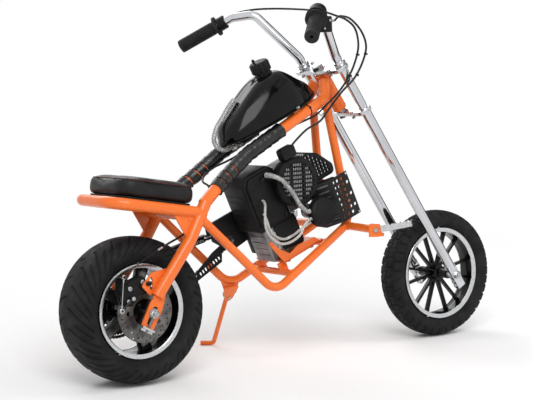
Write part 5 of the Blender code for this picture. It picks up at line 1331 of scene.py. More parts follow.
def build_rim(made, axle, tyre, flange=0.0035):
    """The rim's black well, and its bright turned lips in front of it."""
    radius, half = tyre["rim_radius"], tyre["rim_width"] / 2
    seat, inner = radius - 0.005, radius - 0.010
    for side in (1, -1):
        lip = [(radius, half - 0.0006), (radius - 0.0006, half), (radius - 0.0062, half),
               (inner - 0.0004, half - 0.0026), (inner, half - 0.0052),
               (seat + 0.0002, half - 0.0052), (seat + 0.0004, half - flange - 0.0006),
               (radius, half - flange)]
        made.add(turned_ring([(r, side * y) for r, y in lip], axle), "brushed alloy")
    well = [(seat, half - 0.0042), (inner + 0.0006, half - 0.0050), (inner - 0.0014, 0.006),
            (inner - 0.002, 0), (inner - 0.0014, -0.006), (inner + 0.0006, 0.0050 - half),
            (seat, 0.0042 - half)]
    made.add(turned_ring(well, axle), "black paint")


def spoke_shape(axle, inner, outer, widths, thicknesses, angle):
    """A spoke with rounded edges, whose width changes from the hub to the rim."""
    sections = []
    count = len(widths)
    for i, (width, thick) in enumerate(zip(widths, thicknesses)):
        radius = inner + (outer - inner) * i / (count - 1)
        edge = min(width, thick) * 0.22
        ring = round_corners(((-width / 2, -thick / 2), (width / 2, -thick / 2),
                              (width / 2, thick / 2), (-width / 2, thick / 2)), edge, 3)
        sections.append([axle + Vector((
            radius * math.cos(angle) - across * math.sin(angle), deep,
            radius * math.sin(angle) + across * math.cos(angle))) for across, deep in ring])
    return loft(sections)


def build_front_wheel():
    made = Piece("front_rim_and_hub")
    build_rim(made, FRONT_AXLE, FRONT_TYRE)
    profile = [(0.0053, 0.052), (0.0115, 0.052), (0.012, 0.0515), (0.012, 0.026),
               (0.0135, 0.0225), (0.0185, 0.0195), (0.019, 0.0185), (0.019, 0.0165),
               (0.0165, 0.012), (0.0160, 0), (0.0165, -0.012), (0.019, -0.0165), (0.019, -0.0185),
               (0.0185, -0.0195), (0.0135, -0.0225), (0.012, -0.026), (0.012, -0.0515),
               (0.0115, -0.052), (0.0053, -0.052)]
    made.add(turned_ring(profile, FRONT_AXLE, 64), "black paint")
    outer = FRONT_TYRE["rim_radius"] - 0.0088
    for pair in range(6):
        for way in (1, -1):
            angle = math.tau * pair / 6 + way * math.radians(12)
            made.add(spoke_shape(FRONT_AXLE, 0.012, outer, (0.0080, 0.0070, 0.0062, 0.0062, 0.0070),
                                 (0.014, 0.0135, 0.013, 0.013, 0.014), angle), "black paint")
        angle = math.tau * pair / 6
        web = FRONT_AXLE + Vector((0.0225 * math.cos(angle), 0, 0.0225 * math.sin(angle)))
        made.add(rod(0.0052, -0.006, 0.006, web, Y_AXIS, 24, 0.001), "black paint")
    made.done("front_wheel_body", "front_wheel", sharp=32)

    axle = Piece("front_axle_and_nuts")
    axle.add(rod(0.005, -0.095, 0.095, FRONT_AXLE, Y_AXIS, 32, 0.0008), "bright steel")
    for side in (1, -1):
        axle.add(hex_head(0.017, side * 0.0835, side * 0.0913, FRONT_AXLE, Y_AXIS), "bright steel")
        axle.add(turned([(0, side * 0.0835), (0.0105, side * 0.0835), (0.0107, side * 0.0833),
                         (0, side * 0.0833)], FRONT_AXLE, Y_AXIS, 40), "bright steel")
        axle.add(turned([(0.0052, side * 0.0525), (0.0088, side * 0.0525), (0.009, side * 0.0530),
                         (0.009, side * 0.0642), (0.0088, side * 0.0647),
                         (0.0052, side * 0.0647)], FRONT_AXLE, Y_AXIS, 40, ring=True),
                 "bright steel")
        axle.add(thread(0.005, side * 0.0913, side * 0.0948, FRONT_AXLE, Y_AXIS), "bright steel")
    axle.done("steering", "front_axle")


def thread(radius, start, end, origin, axis, pitch=0.0011):
    """The ridges of a screw thread between two heights."""
    low, high = min(start, end), max(start, end)
    count = max(2, round((high - low) / pitch))
    profile = [(0, low)]
    for i in range(count):
        base = low + (high - low) * i / count
        profile += [(radius - 0.0004, base), (radius, base + (high - low) / count / 2)]
    profile += [(radius - 0.0004, high), (0, high)]
    return turned(profile, origin, axis, 28)


def build_rear_wheel():
    made = Piece("rear_rim_and_hub")
    build_rim(made, REAR_AXLE, REAR_TYRE, 0.0035)
    left = CHAIN_Y - SPROCKET_THICKNESS / 2 - SEAT_GAP
    right = DISC_Y + 0.0015 + SEAT_GAP
    profile = [(0.0063, left + 0.0058), (0.0172, left + 0.0058), (0.0174, left + 0.0055),
               (0.0174, left), (0.0275, left), (0.028, left - 0.0006), (0.028, left - 0.0095),
               (0.0275, left - 0.0105), (0.020, left - 0.016), (0.020, 0.020), (0.0275, 0.0145),
               (0.028, 0.0138), (0.028, -0.0138), (0.0275, -0.0145), (0.022, -0.024),
               (0.035, right + 0.0065), (0.036, right + 0.0055), (0.036, right), (0.0291, right),
               (0.0291, right - 0.0028), (0.0063, right - 0.0028)]
    made.add(turned_ring(profile, REAR_AXLE, 96), "black paint")
    outer = REAR_TYRE["rim_radius"] - 0.0088
    for number in range(5):
        angle = math.tau * number / 5
        made.add(spoke_shape(REAR_AXLE, 0.018, outer, (0.030, 0.026, 0.024, 0.026, 0.030),
                             (0.022, 0.0205, 0.0195, 0.0205, 0.022), angle), "black paint")
        # each spoke's outer faces are turned bright, within the spoke's own thickness
        for side in (1, -1):
            face = spoke_shape(REAR_AXLE, 0.040, outer - 0.004, (0.0160, 0.0170, 0.0190),
                               (0.0008, 0.0008, 0.0008), angle)
            made.add(face, "dark steel", Matrix.Translation((0, side * 0.0102, 0)))
    for angle in (0.9, 2.7, 4.4):
        made.add(hex_head(0.008, right, right - 0.0026, REAR_AXLE + Vector(
            (0.0195 * math.cos(angle), 0, 0.0195 * math.sin(angle))), Y_AXIS), "bright steel")
    made.done("rear_wheel_body", "rear_wheel", sharp=32)


def build_brake():
    made = Piece("drilled_disc")
    middle = (0.069 + 0.030) / 2 + 0.010
    holes = [circle(0.030, 64)]
    for number in range(36):
        angle = math.tau * number / 36
        radius = middle + (0.0052, 0, -0.0052)[number % 3]
        holes.append(circle(0.0021, 16, (radius * math.cos(angle), radius * math.sin(angle))))
    for number in range(5):
        angle = math.tau * (number + 0.5) / 5
        centre = (0.0412 * math.cos(angle), 0.0412 * math.sin(angle))
        holes.append(circle(0.0052, 20, centre))
    place = Matrix.Translation(REAR_AXLE) @ side_plane(DISC_Y)
    made.add(slab(circle(0.069, 144), 0.003, place, holes, 0.0003), "dark steel")
    made.done("rear_wheel_body", "brake_disc", sharp=30)

    made = Piece("caliper_body")
    outline = round_corners(
        ((-0.066, 0.046), (-0.048, 0.070), (-0.012, 0.083), (0.004, 0.062), (0.000, 0.045),
         (-0.024, 0.038), (-0.041, 0.018), (-0.060, 0.020)), 0.004, 6)
    place = Matrix.Translation(REAR_AXLE)
    outer = slab(outline, 0.0145, place @ side_plane(-0.07175), (), 0.0016)
    inner = slab(outline, 0.0068, place @ side_plane(-0.0544), (), 0.0012)
    made.add(outer, "black plastic").add(inner, "black plastic")
    # the bridge that joins both halves beyond the disc's edge
    bridge = ((-0.066, 0.046), (-0.048, 0.070), (-0.012, 0.083), (-0.002, 0.0745),
              (-0.022, 0.0705), (-0.044, 0.060), (-0.0575, 0.044))
    made.add(slab(round_corners(bridge, 0.002, 4), 0.026, place @ side_plane(-0.065), (), 0.001),
             "black plastic")
    face = CALIPER_FACE
    for x, z in ((-0.046, 0.058), (-0.014, 0.070), (-0.050, 0.030)):
        centre = REAR_AXLE + Vector((x, 0, z))
        made.add(rod(0.0068, face - 0.0008, face + 0.002, centre, Y_AXIS, 32, 0.0006),
                 "black plastic")
        made.add(socket_bolt(0.0050, face - 0.0008, face - 0.004, centre, Y_AXIS), "bright steel")
    for low, high in (((-0.040, 0.052), (-0.024, 0.062)), ((-0.052, 0.038), (-0.034, 0.046))):
        first, second = (REAR_AXLE + Vector((x, face + 0.0006, z)) for x, z in (low, high))
        made.add(tube([first, second], 0.0016, 12), "black plastic")
    boss = REAR_AXLE + Vector((-0.005, 0, 0.066))
    tab = -(STAY_Y - 0.010) + 0.002 + SEAT_GAP
    made.add(rod(0.0055, tab, -0.066, boss, Y_AXIS, 32, 0.0004), "black plastic")
    made.add(socket_bolt(0.0052, tab - 0.0044, tab - 0.0078, boss, Y_AXIS), "black steel")
    made.done("chassis", "brake_caliper")

    arm = Piece("caliper_arm")
    y = face - 0.0040
    pivot = REAR_AXLE + Vector((-0.0702, y, 0.0119))
    tip = REAR_AXLE + Vector((-0.0613, y, 0.0856))
    turn = REAR_AXLE + Vector((-0.041, y, 0.036))
    arm.add(tube([turn, turn.lerp(pivot, 0.5), pivot], [0.0034, 0.0026, 0.0030], 16), "black steel")
    arm.add(rod(0.0062, y - 0.003, face + 0.001, Vector((turn.x, 0, turn.z)), Y_AXIS, 40, 0.0008),
            "black steel")
    arm.add(hex_head(0.0085, y - 0.003, y - 0.0055, Vector((turn.x, 0, turn.z)), Y_AXIS),
            "bright steel")
    arm.add(rod(0.0064, y - 0.0042, y + 0.0035, Vector((pivot.x, 0, pivot.z)), Y_AXIS, 40, 0.0012),
            "bright steel")
    arm.add(rod(0.0026, y - 0.0050, y - 0.0040, Vector((pivot.x, 0, pivot.z)), Y_AXIS, 20, 0.0003),
            "black steel")
    arm.add(tube([pivot, tip], 0.0012, 14), "bright steel")
    for share in (0.10, 0.90):
        arm.add(tube([pivot.lerp(tip, share - 0.06), pivot.lerp(tip, share + 0.06)], 0.0021, 14),
                "bright steel")
    arm.add(rod(0.0052, y - 0.004, y + 0.004, Vector((tip.x, 0, tip.z)), Y_AXIS, 40, 0.0010),
            "bright steel")
    arm.add(hex_head(0.0060, y - 0.004, y - 0.0056, Vector((tip.x, 0, tip.z)), Y_AXIS),
            "black steel")
    arm.done("chassis")


def build_rear_axle():
    made = Piece("rear_axle_and_adjusters")
    reach = STAY_Y + 0.003
    made.add(rod(0.006, -reach - 0.016, reach + 0.016, REAR_AXLE, Y_AXIS, 36, 0.0008),
             "bright steel")
    for side in (1, -1):
        start = side * (reach + SEAT_GAP)
        made.add(rod(0.0118, start, start + side * 0.0014, REAR_AXLE, Y_AXIS, 48, 0.0002),
                 "bright steel")
        made.add(hex_head(0.019, start + side * 0.0014, start + side * 0.009, REAR_AXLE, Y_AXIS),
                 "bright steel")
        made.add(thread(0.006, start + side * 0.009, side * (reach + 0.0155), REAR_AXLE, Y_AXIS),
                 "bright steel")
        axes = dropout_axes(side)
        face = 0.003 + SEAT_GAP
        depth = side * (face + 0.0035)
        ahead = axes.to_3x3() @ X_AXIS
        made.add(thread(0.0028, 0.010, 0.0445, axes @ Vector((0, 0, depth)), ahead, 0.0008),
                 "bright steel")
        made.add(hex_head(0.0062, 0.0455, 0.0440, axes @ Vector((0, 0, depth)), ahead),
                 "bright steel")
        inner, outer = sorted((side * -0.006, side * (face + 0.0085)))
        made.add(box((0.0343, -0.016, inner), (0.0394, 0.016, outer), axes, 0.0010),
                 "brushed alloy")
        low, high = sorted((side * face, side * (face + 0.0022)))
        made.add(box((0.0343, -0.0155, high - 0.0022 if side > 0 else low),
                     (0.0443, 0.0155, high if side > 0 else low + 0.0022), axes, 0.0006),
                 "brushed alloy")
    made.done("chassis", "rear_axle")


def sprocket_teeth(teeth, tip, root):
    """A sprocket's outline: round seats between short teeth."""
    points = []
    for i in range(teeth):
        for share, deep in ((0.0, 1.0), (0.14, 0.93), (0.26, 0.62), (0.38, 0.16), (0.46, 0.0),
                            (0.54, 0.0), (0.62, 0.16), (0.74, 0.62), (0.86, 0.93)):
            angle = math.tau * (i + share) / teeth
            radius = tip - (tip - root) * deep
            points.append((radius * math.cos(angle), radius * math.sin(angle)))
    return points


def chain_places():
    """The centre of each chain pin, with the chain's heading there, round the whole loop."""
    small, large = DRIVE_SHAFT, REAR_AXLE
    line = Vector((large.x - small.x, large.z - small.z))
    heading = math.atan2(line.y, line.x)
    spread = math.acos((FRONT_PITCH_RADIUS - REAR_PITCH_RADIUS) / line.length)
    path = []

    def arc(centre, radius, start, end):
        for step in range(161):
            angle = start + (end - start) * step / 160
            path.append(Vector((centre.x + radius * math.cos(angle), CHAIN_Y,
                                centre.z + radius * math.sin(angle))))

    arc(large, REAR_PITCH_RADIUS, heading - spread, heading + spread)
    arc(small, FRONT_PITCH_RADIUS, heading + spread, heading - spread + math.tau)
    path.append(path[0])
    lengths = sum((b - a).length for a, b in zip(path, path[1:]))
    count = 2 * round(lengths / CHAIN_PITCH / 2)
    return resampled(path, lengths / count)[:-1]


def link_plate(first, second, y, thickness, height, waist):
    """A chain plate with round ends and a waist, between two pins."""
    ahead = second - first
    length = ahead.length
    outline = []
    for end in (1, -1):
        for step in range(9):
            angle = math.radians(-100 + 200 * step / 8) + (0 if end > 0 else math.pi)
            outline.append((length / 2 + end * length / 2 + height * math.cos(angle),
                            height * math.sin(angle)))
        outline.append((length / 2, end * waist))
    slope = math.atan2(ahead.z, ahead.x)
    place = Matrix.Translation((first.x, y, first.z)) @ Matrix.Rotation(-slope, 4, "Y")
    place = place @ Matrix.Rotation(math.pi / 2, 4, "X")
    points, faces = [], []
    for z in (-thickness / 2, thickness / 2):
        points += [place @ Vector((a, b, z)) for a, b in outline]
    count = len(outline)
    faces.append(tuple(reversed(range(count))))
    faces.append(tuple(range(count, 2 * count)))
    for i in range(count):
        j = (i + 1) % count
        faces.append((i, j, count + j, count + i))
    return points, faces


def build_chain():
    made = Piece("roller_chain")
    pins = chain_places()
    for i, pin in enumerate(pins):
        other = pins[(i + 1) % len(pins)]
        wide = i % 2 == 0
        for side in (1, -1):
            y = CHAIN_Y + side * (0.0032 if wide else 0.0022)
            made.add(link_plate(pin, other, y, 0.0009, 0.0036, 0.0024),
                     "black steel" if wide else "bright steel")
        origin = Vector((pin.x, CHAIN_Y, pin.z))
        made.add(rod(0.0024, -0.0018, 0.0018, origin, Y_AXIS, 14), "bright steel")
        made.add(rod(0.0012, -0.0040, 0.0040, origin, Y_AXIS, 10), "bright steel")
    made.done("chassis", "drive_chain", sharp=50)

    tip = REAR_PITCH_RADIUS - 0.0038 - SEAT_GAP
    holes = [circle(0.0180, 48)]
    for number in range(5):
        angle = math.tau * (number + 0.5) / 5
        ring = []
        for radius, way in ((0.0565, 1), (0.0375, -1)):
            for step in range(9):
                turn = angle + way * math.radians(-20 + 40 * step / 8)
                ring.append((radius * math.cos(turn), radius * math.sin(turn)))
        holes.append(round_corners(ring, 0.0015, 2))
    place = Matrix.Translation(REAR_AXLE) @ side_plane(CHAIN_Y)
    made = Piece("driven_sprocket")
    made.add(slab(sprocket_teeth(REAR_TEETH, tip, tip - 0.0022), SPROCKET_THICKNESS, place,
                  holes, 0.0003), "black steel")
    for number in range(5):
        angle = math.tau * number / 5
        centre = REAR_AXLE + Vector((0.0232 * math.cos(angle), 0, 0.0232 * math.sin(angle)))
        made.add(hex_head(0.008, CHAIN_Y + 0.0015, CHAIN_Y + 0.0050, centre, Y_AXIS),
                 "bright steel")
    made.done("rear_wheel_body", "rear_sprocket")

    tip = FRONT_PITCH_RADIUS - 0.0038 - SEAT_GAP
    place = Matrix.Translation(DRIVE_SHAFT) @ side_plane(CHAIN_Y)
    made = Piece("drive_sprocket_teeth")
    made.add(slab(sprocket_teeth(FRONT_TEETH, tip, tip - 0.0015), SPROCKET_THICKNESS, place, (),
                  0.0003), "bright steel")
    made.add(rod(0.0055, 0.0583, 0.0838, DRIVE_SHAFT, Y_AXIS, 32, 0.0006), "bright steel")
    made.add(hex_head(0.011, CHAIN_Y + 0.0015, CHAIN_Y + 0.0062, DRIVE_SHAFT, Y_AXIS),
             "bright steel")
    made.done("chassis", "drive_sprocket")


def chain_axes(way):
    """Axes of the chain's upper (-1) or lower (1) run: X forward along it, Z out of the loop."""
    small, large = DRIVE_SHAFT, REAR_AXLE
    line = Vector((large.x - small.x, large.z - small.z))
    distance = line.length
    spread = math.acos((FRONT_PITCH_RADIUS - REAR_PITCH_RADIUS) / distance)
    angle = math.atan2(line.y, line.x) + way * spread
    away = Vector((math.cos(angle), 0, math.sin(angle)))
    rear = Vector((large.x, 0, large.z)) + away * REAR_PITCH_RADIUS
    front = Vector((small.x, 0, small.z)) + away * FRONT_PITCH_RADIUS
    ahead = (front - rear).normalized()
    side = away.cross(ahead)
    return Matrix((
        (ahead.x, side.x, away.x, rear.x), (ahead.y, side.y, away.y, rear.y),
        (ahead.z, side.z, away.z, rear.z), (0, 0, 0, 1),
    )), (front - rear).length


def build_guards():
    axes, run = chain_axes(-1)
    over = 0.008
    rear, front = run * 0.34, run * 0.86
    made = Piece("chain_cover")
    black = "black plastic"
    made.add(box((rear, CHAIN_Y - 0.0065, over + 0.0007), (front, CHAIN_Y + 0.0100, over + 0.0035),
                 axes, 0.0009), black)
    made.add(box((rear, CHAIN_Y + 0.0076, -over), (front, CHAIN_Y + 0.0100, over + 0.0034), axes,
                 0.0009), black)
    made.add(box((front - 0.006, 0.0583, over), (front + 0.014, 0.0613, over + 0.024), axes,
                 0.0008), black)
    made.add(box((front - 0.010, 0.0583, over), (front + 0.008, 0.0725, over + 0.0035), axes,
                 0.0008), black)
    for along in range(5):
        x = rear + 0.018 + along * (front - rear - 0.036) / 4
        made.add(box((x - 0.0012, CHAIN_Y + 0.0072, -over + 0.002),
                     (x + 0.0012, CHAIN_Y + 0.0078, over), axes, 0.0002), black)
    bolt = axes @ Vector((front + 0.004, 0.0, over + 0.014))
    made.add(socket_bolt(0.0042, 0.0613, 0.0646, Vector((bolt.x, 0, bolt.z)), Y_AXIS),
             "bright steel")
    made.done("chassis", "chain_guard")

    axes, run = chain_axes(1)
    made = Piece("slotted_guard")
    outline = round_corners([(run - back, away) for back, away in LOWER_GUARD_CORNERS], 0.003, 5)
    slots = [stadium(0.0072, 0.0022, (run - 0.100 + number * 0.0088, 0.0018), True, 6)
             for number in range(8)]
    made.add(slab(outline, 0.0025, side_plane(-0.0665, axes), slots, 0.0004), black)
    place = axes @ Vector((run - 0.0118, 0, -0.0126))
    place.y = 0
    made.add(rod(0.0040, 0.0583, 0.0660, place, Y_AXIS, 28), black)
    made.add(socket_bolt(0.0042, 0.0675, 0.0705, place, Y_AXIS), "black steel")
    made.done("chassis", "lower_guard")


# Engine

FAN_CENTRE = ENGINE @ Vector((0.0992, 0, 0.1627))
FILTER_CENTRE = ENGINE @ Vector((0.124, 0, 0.0717))
# The middle of each row of slots and fins across the shroud
SHROUD_ROWS = [-0.0485 + number * 0.0087 for number in range(11)]
# Left edge, bottom and top of each column of windows in the shroud's right side
SIDE_WINDOWS = ((0.1565, 0.138, 0.204), (0.1660, 0.138, 0.200), (0.1755, 0.138, 0.196),
                (0.1850, 0.138, 0.190), (0.1945, 0.138, 0.182), (0.2040, 0.138, 0.170))
WINDOW_STEP = 0.0088
HOUSING_RIGHT_Y = -0.055


def side_windows():
    """The left edge and the bottom of each window in the shroud's right side."""
    for x, low, high in SIDE_WINDOWS:
        for row in range(int((high - low) / WINDOW_STEP)):
            yield x, low + row * WINDOW_STEP


def build_engine():
    black, alloy = "black plastic", "cast alloy"
    made = Piece("crankcase_casting")
    made.add(box((-0.012, -0.036, 0.0023), (0.084, 0.036, 0.0838), ENGINE, 0.005, 4), alloy)
    for row in range(4):
        low = 0.018 + row * 0.016
        made.add(box((-0.0135, -0.030, low), (-0.010, 0.030, low + 0.004), ENGINE, 0.001), alloy)
    for x in (0.000, 0.036, 0.072):
        made.add(box((x - 0.003, -0.0375, 0.010), (x + 0.003, -0.034, 0.074), ENGINE, 0.001), alloy)
    up = ENGINE.to_3x3() @ Z_AXIS
    for x in (-0.004, 0.076):
        for y in (-0.029, 0.029):
            made.add(rod(0.0055, 0.0023, 0.020, ENGINE @ Vector((x, y, 0)), up, 24, 0.001), alloy)
    for x, z in ((0.014, 0.030), (0.058, 0.030), (0.014, 0.068), (0.058, 0.068)):
        centre = ENGINE @ Vector((x, 0, z))
        made.add(socket_bolt(0.0036, -0.036, -0.0395, centre, Y_AXIS), "bright steel")
    # A black sheet over the casting's right side, all but its rear lower corner, and a black block
    # over its front face: painted shade, where the casting lies in shade.
    cover = round_corners(((0.024, 0.020), (0.0845, 0.012), (0.0845, 0.0838), (0.016, 0.0838)),
                          0.006, 5)
    made.add(slab(cover, 0.0045, side_plane(-0.0378, ENGINE), (), 0.0012), black)
    made.add(box((0.0800, -0.034, 0.012), (0.0870, 0.034, 0.0838), ENGINE, 0.0015), black)
    made.done("chassis", "crankcase")

    made = Piece("starter_housing")
    outline = round_corners(((-0.028, 0.085), (0.070, 0.085), (0.070, 0.210), (0.055, 0.225),
                             (-0.012, 0.225), (-0.028, 0.205)), 0.009, 5)
    made.add(slab(outline, 0.092, side_plane(-0.0025, ENGINE), (), 0.006), black)
    face = HOUSING_RIGHT_Y + 0.0068
    inner = round_corners(((-0.020, 0.094), (0.062, 0.094), (0.062, 0.205), (0.050, 0.217),
                           (-0.008, 0.217), (-0.020, 0.199)), 0.008, 5)
    made.add(slab(inner, 0.012, side_plane(face, ENGINE), (), 0.0030), black)
    for x, z in ((-0.013, 0.101), (0.055, 0.101), (-0.013, 0.196), (0.055, 0.200)):
        made.add(socket_bolt(0.0040, HOUSING_RIGHT_Y + 0.0008, HOUSING_RIGHT_Y - 0.0026,
                             ENGINE @ Vector((x, 0, z)), Y_AXIS), "black steel")
    for row in range(5):
        low = 0.120 + row * 0.014
        made.add(box((-0.0290, -0.030, low), (-0.0262, 0.030, low + 0.005), ENGINE, 0.0008), black)
    handle = [ENGINE @ Vector(p) for p in ((0.020, -0.0560, 0.200), (0.034, -0.0585, 0.203),
                                           (0.050, -0.0585, 0.190), (0.056, -0.0560, 0.172))]
    made.add(tube(catmull_rom(handle, 6), 0.0034, 16), black)
    made.done("chassis", "engine_housing")

    made = Piece("finned_cylinder")
    made.add(box((0.0703, -0.024, 0.0843), (0.150, 0.028, 0.194), ENGINE, 0.003), alloy)
    for row in range(13):
        x = 0.0745 + row * 0.0060
        made.add(box((x, -0.030, 0.088), (x + 0.0022, 0.034, 0.200), ENGINE, 0.0008), alloy)
    made.done("chassis", "cylinder")

    made = Piece("fan_grille")
    slots = []
    for row in range(-4, 5):
        height = row * 0.0098
        half = math.sqrt(0.0465 ** 2 - height ** 2)
        marks = [mark for mark in (-0.0165, 0.0165) if abs(mark) < half - 0.006]
        edges = [-half, *marks, half]
        for left, right in zip(edges, edges[1:]):
            slots.append(stadium((right - left) / 2 - 0.0016, 0.0029,
                                 ((left + right) / 2, height), False, 4))
    flat = Matrix.Translation(FAN_CENTRE) @ side_plane(-0.0825)
    made.add(slab(circle(0.0522, 96), 0.003, flat, slots, 0.0005), black)
    skirt = [(0.0520, 0.0840), (0.0530, 0.0838), (0.0578, 0.0785), (0.058, 0.0775),
             (0.058, 0.0560), (0.0572, 0.0555), (0.0545, 0.0555), (0.0545, 0.0775),
             (0.0515, 0.0812)]
    made.add(turned(skirt, FAN_CENTRE, -Y_AXIS, 96, ring=True), black)
    made.add(turned([(0, 0.0660), (0.050, 0.0660), (0.050, 0.0640), (0, 0.0640)], FAN_CENTRE,
                    -Y_AXIS, 48), "black steel")
    for number in range(-9, 10):
        x = number * 0.0050
        half = math.sqrt(0.0490 ** 2 - x ** 2)
        made.add(box((x - 0.0008, -0.0800, -half), (x + 0.0008, -0.0655, half),
                     Matrix.Translation(FAN_CENTRE)), "brushed alloy")
    for number in range(6):
        angle = math.tau * (number + 0.5) / 6
        centre = FAN_CENTRE + Vector((0.0548 * math.cos(angle), 0, 0.0548 * math.sin(angle)))
        made.add(rod(0.0032, -0.0790, -0.0760, centre, Y_AXIS, 20, 0.0006), "black steel")
    made.done("chassis", "fan_cover")

    made = Piece("head_shroud")
    outline = round_corners(((0.151, 0.212), (0.193, 0.192), (0.224, 0.150), (0.222, 0.128),
                             (0.151, 0.128)), 0.012, 7)
    cutters = []
    front = ENGINE @ Matrix.Translation((0.209, 0, 0.172)) @ Matrix.Rotation(
        math.radians(53.6), 4, "Y")
    top = ENGINE @ Matrix.Translation((0.172, 0, 0.202)) @ Matrix.Rotation(
        math.radians(25.5), 4, "Y")
    for y in SHROUD_ROWS:
        cutters.append(box((-0.024, y - 0.0029, -0.010), (0.024, y + 0.0029, 0.010), front))
        cutters.append(box((-0.016, y - 0.0029, -0.010), (0.016, y + 0.0029, 0.010), top))
    for x, z in side_windows():
        cutters.append(box((x, -0.060, z), (x + 0.0066, -0.0475, z + 0.0064), ENGINE))
    shell = slab(outline, 0.100, side_plane(-0.005, ENGINE), (), 0.0018)
    made.add(carved(shell, cutters), black)
    for x in (-0.012, 0.0, 0.012):
        made.add(box((x - 0.0011, -0.0535, -0.0034), (x + 0.0011, 0.0435, -0.0008), front), black)
    for x in (-0.006, 0.005):
        made.add(box((x - 0.0011, -0.0535, -0.0034), (x + 0.0011, 0.0435, -0.0008), top), black)
    for y in SHROUD_ROWS:
        for x in range(-4, 5):
            made.add(box((x * 0.0052 - 0.0008, y - 0.0035, -0.0110),
                         (x * 0.0052 + 0.0008, y + 0.0035, -0.0040), front), "brushed alloy")
        for x in range(-2, 4):
            made.add(box((x * 0.0052 - 0.0034, y - 0.0035, -0.0110),
                         (x * 0.0052 - 0.0018, y + 0.0035, -0.0040), top), "brushed alloy")
    for x, z in side_windows():
        made.add(box((x + 0.0022, -0.0515, z - 0.0006), (x + 0.0040, -0.0470, z + 0.0070),
                     ENGINE), "brushed alloy")
    made.done("chassis", "cylinder_shroud", sharp=30)

    made = Piece("coil_and_lead")
    made.add(box((0.084, -0.084, 0.2210), (0.124, -0.057, 0.2475), ENGINE, 0.0045, 4), black)
    made.add(box((0.088, -0.080, 0.2455), (0.120, -0.061, 0.249), ENGINE, 0.0016, 3), black)
    made.add(box((0.090, -0.0595, 0.2150), (0.118, -0.056, 0.2300), ENGINE, 0.0010), "bright steel")
    made.done("chassis", "ignition_coil")

    made = Piece("gear_plate_and_case")
    outline = round_corners(((-0.087, 0.138), (-0.098, 0.096), (-0.0615, 0.051),
                             (-0.005, 0.056), (0.026, 0.134), (-0.016, 0.138)), 0.006, 6)
    made.add(slab(outline, 0.006, side_plane(0.055, ENGINE), (), 0.0010), "black steel")
    made.add(box((-0.011, 0.0363, 0.020), (0.070, 0.0536, 0.0838), ENGINE, 0.004, 4), "black steel")
    made.add(turned([(0.0058, 0.0583), (0.0135, 0.0583), (0.0140, 0.0578), (0.0140, 0.0520),
                     (0.0058, 0.0520)], DRIVE_SHAFT, Y_AXIS, 48, ring=True), "bright steel")
    for x, z in ((-0.080, 0.131), (-0.089, 0.098), (-0.0585, 0.0600), (-0.009, 0.0645),
                 (0.016, 0.127), (-0.018, 0.130)):
        centre = ENGINE @ Vector((x, 0, z))
        made.add(socket_bolt(0.0042, 0.0576, 0.0612, centre, Y_AXIS), "bright steel")
    made.done("chassis", "gearbox")


def build_intake():
    made = Piece("carburettor_body")
    alloy = "cast alloy"
    made.add(turned([(0, 0.0303), (0.0165, 0.0303), (0.017, 0.0310), (0.017, 0.0365),
                     (0.0135, 0.0380), (0.0135, 0.0440), (0.0155, 0.0455), (0.0155, 0.0640),
                     (0.0140, 0.0655), (0.0165, 0.0750), (0.0170, 0.0800), (0.0165, 0.0807),
                     (0, 0.0807)], FILTER_CENTRE, -Y_AXIS, 64), alloy)
    rise = ENGINE.to_3x3() @ Z_AXIS
    middle = FILTER_CENTRE + Vector((0, -0.0500, 0))
    made.add(rod(0.0080, -0.0169, 0.0165, middle, rise, 32, 0.0010), alloy)
    made.add(rod(0.0100, -0.0169, -0.0120, middle, rise, 32, 0.0010), alloy)
    made.add(hex_head(0.0080, 0.0120, 0.0167, middle + Vector((0, 0.0070, 0)), rise),
             "bright steel")
    for x in (-0.0110, 0.0110):
        along = ENGINE.to_3x3() @ Vector((x, 0, 0))
        made.add(socket_bolt(0.0028, -0.0365, -0.0400, FILTER_CENTRE + along, Y_AXIS),
                 "bright steel")
    made.done("chassis", "carburettor")

    made = Piece("filter_cover")
    centre = FILTER_CENTRE
    sections = []
    for height, radius, flat in ((0.0812, 0.0315, 0.0), (0.0850, 0.0355, 0.0),
                                 (0.0985, 0.0358, 0.0), (0.1012, 0.0356, 0.35),
                                 (0.1046, 0.0338, 1.0), (0.1058, 0.0322, 1.0),
                                 (0.1060, 0.0300, 1.0)):
        ring = []
        for step in range(96):
            angle = math.tau * step / 96
            corner = math.cos(math.pi / 8) / math.cos((angle % (math.tau / 8)) - math.pi / 8)
            r = radius * ((1 - flat) + flat * corner)
            ring.append(centre + Vector((r * math.cos(angle), -height, r * math.sin(angle))))
        sections.append(ring)
    made.add(loft(sections), "black plastic")
    made.add(turned([(0.0352, 0.0900), (0.0360, 0.0896), (0.0360, 0.0872), (0.0352, 0.0868)],
                    centre, -Y_AXIS, 96, ring=True), "black plastic")
    for number in range(24):
        angle = math.tau * number / 24
        first = centre + Vector((0.0345 * math.cos(angle), -0.0915, 0.0345 * math.sin(angle)))
        second = first + Vector((0, -0.0080, 0))
        made.add(tube([first, second], 0.0013, 8), "black plastic")
    made.done("chassis", "air_filter", sharp=28)


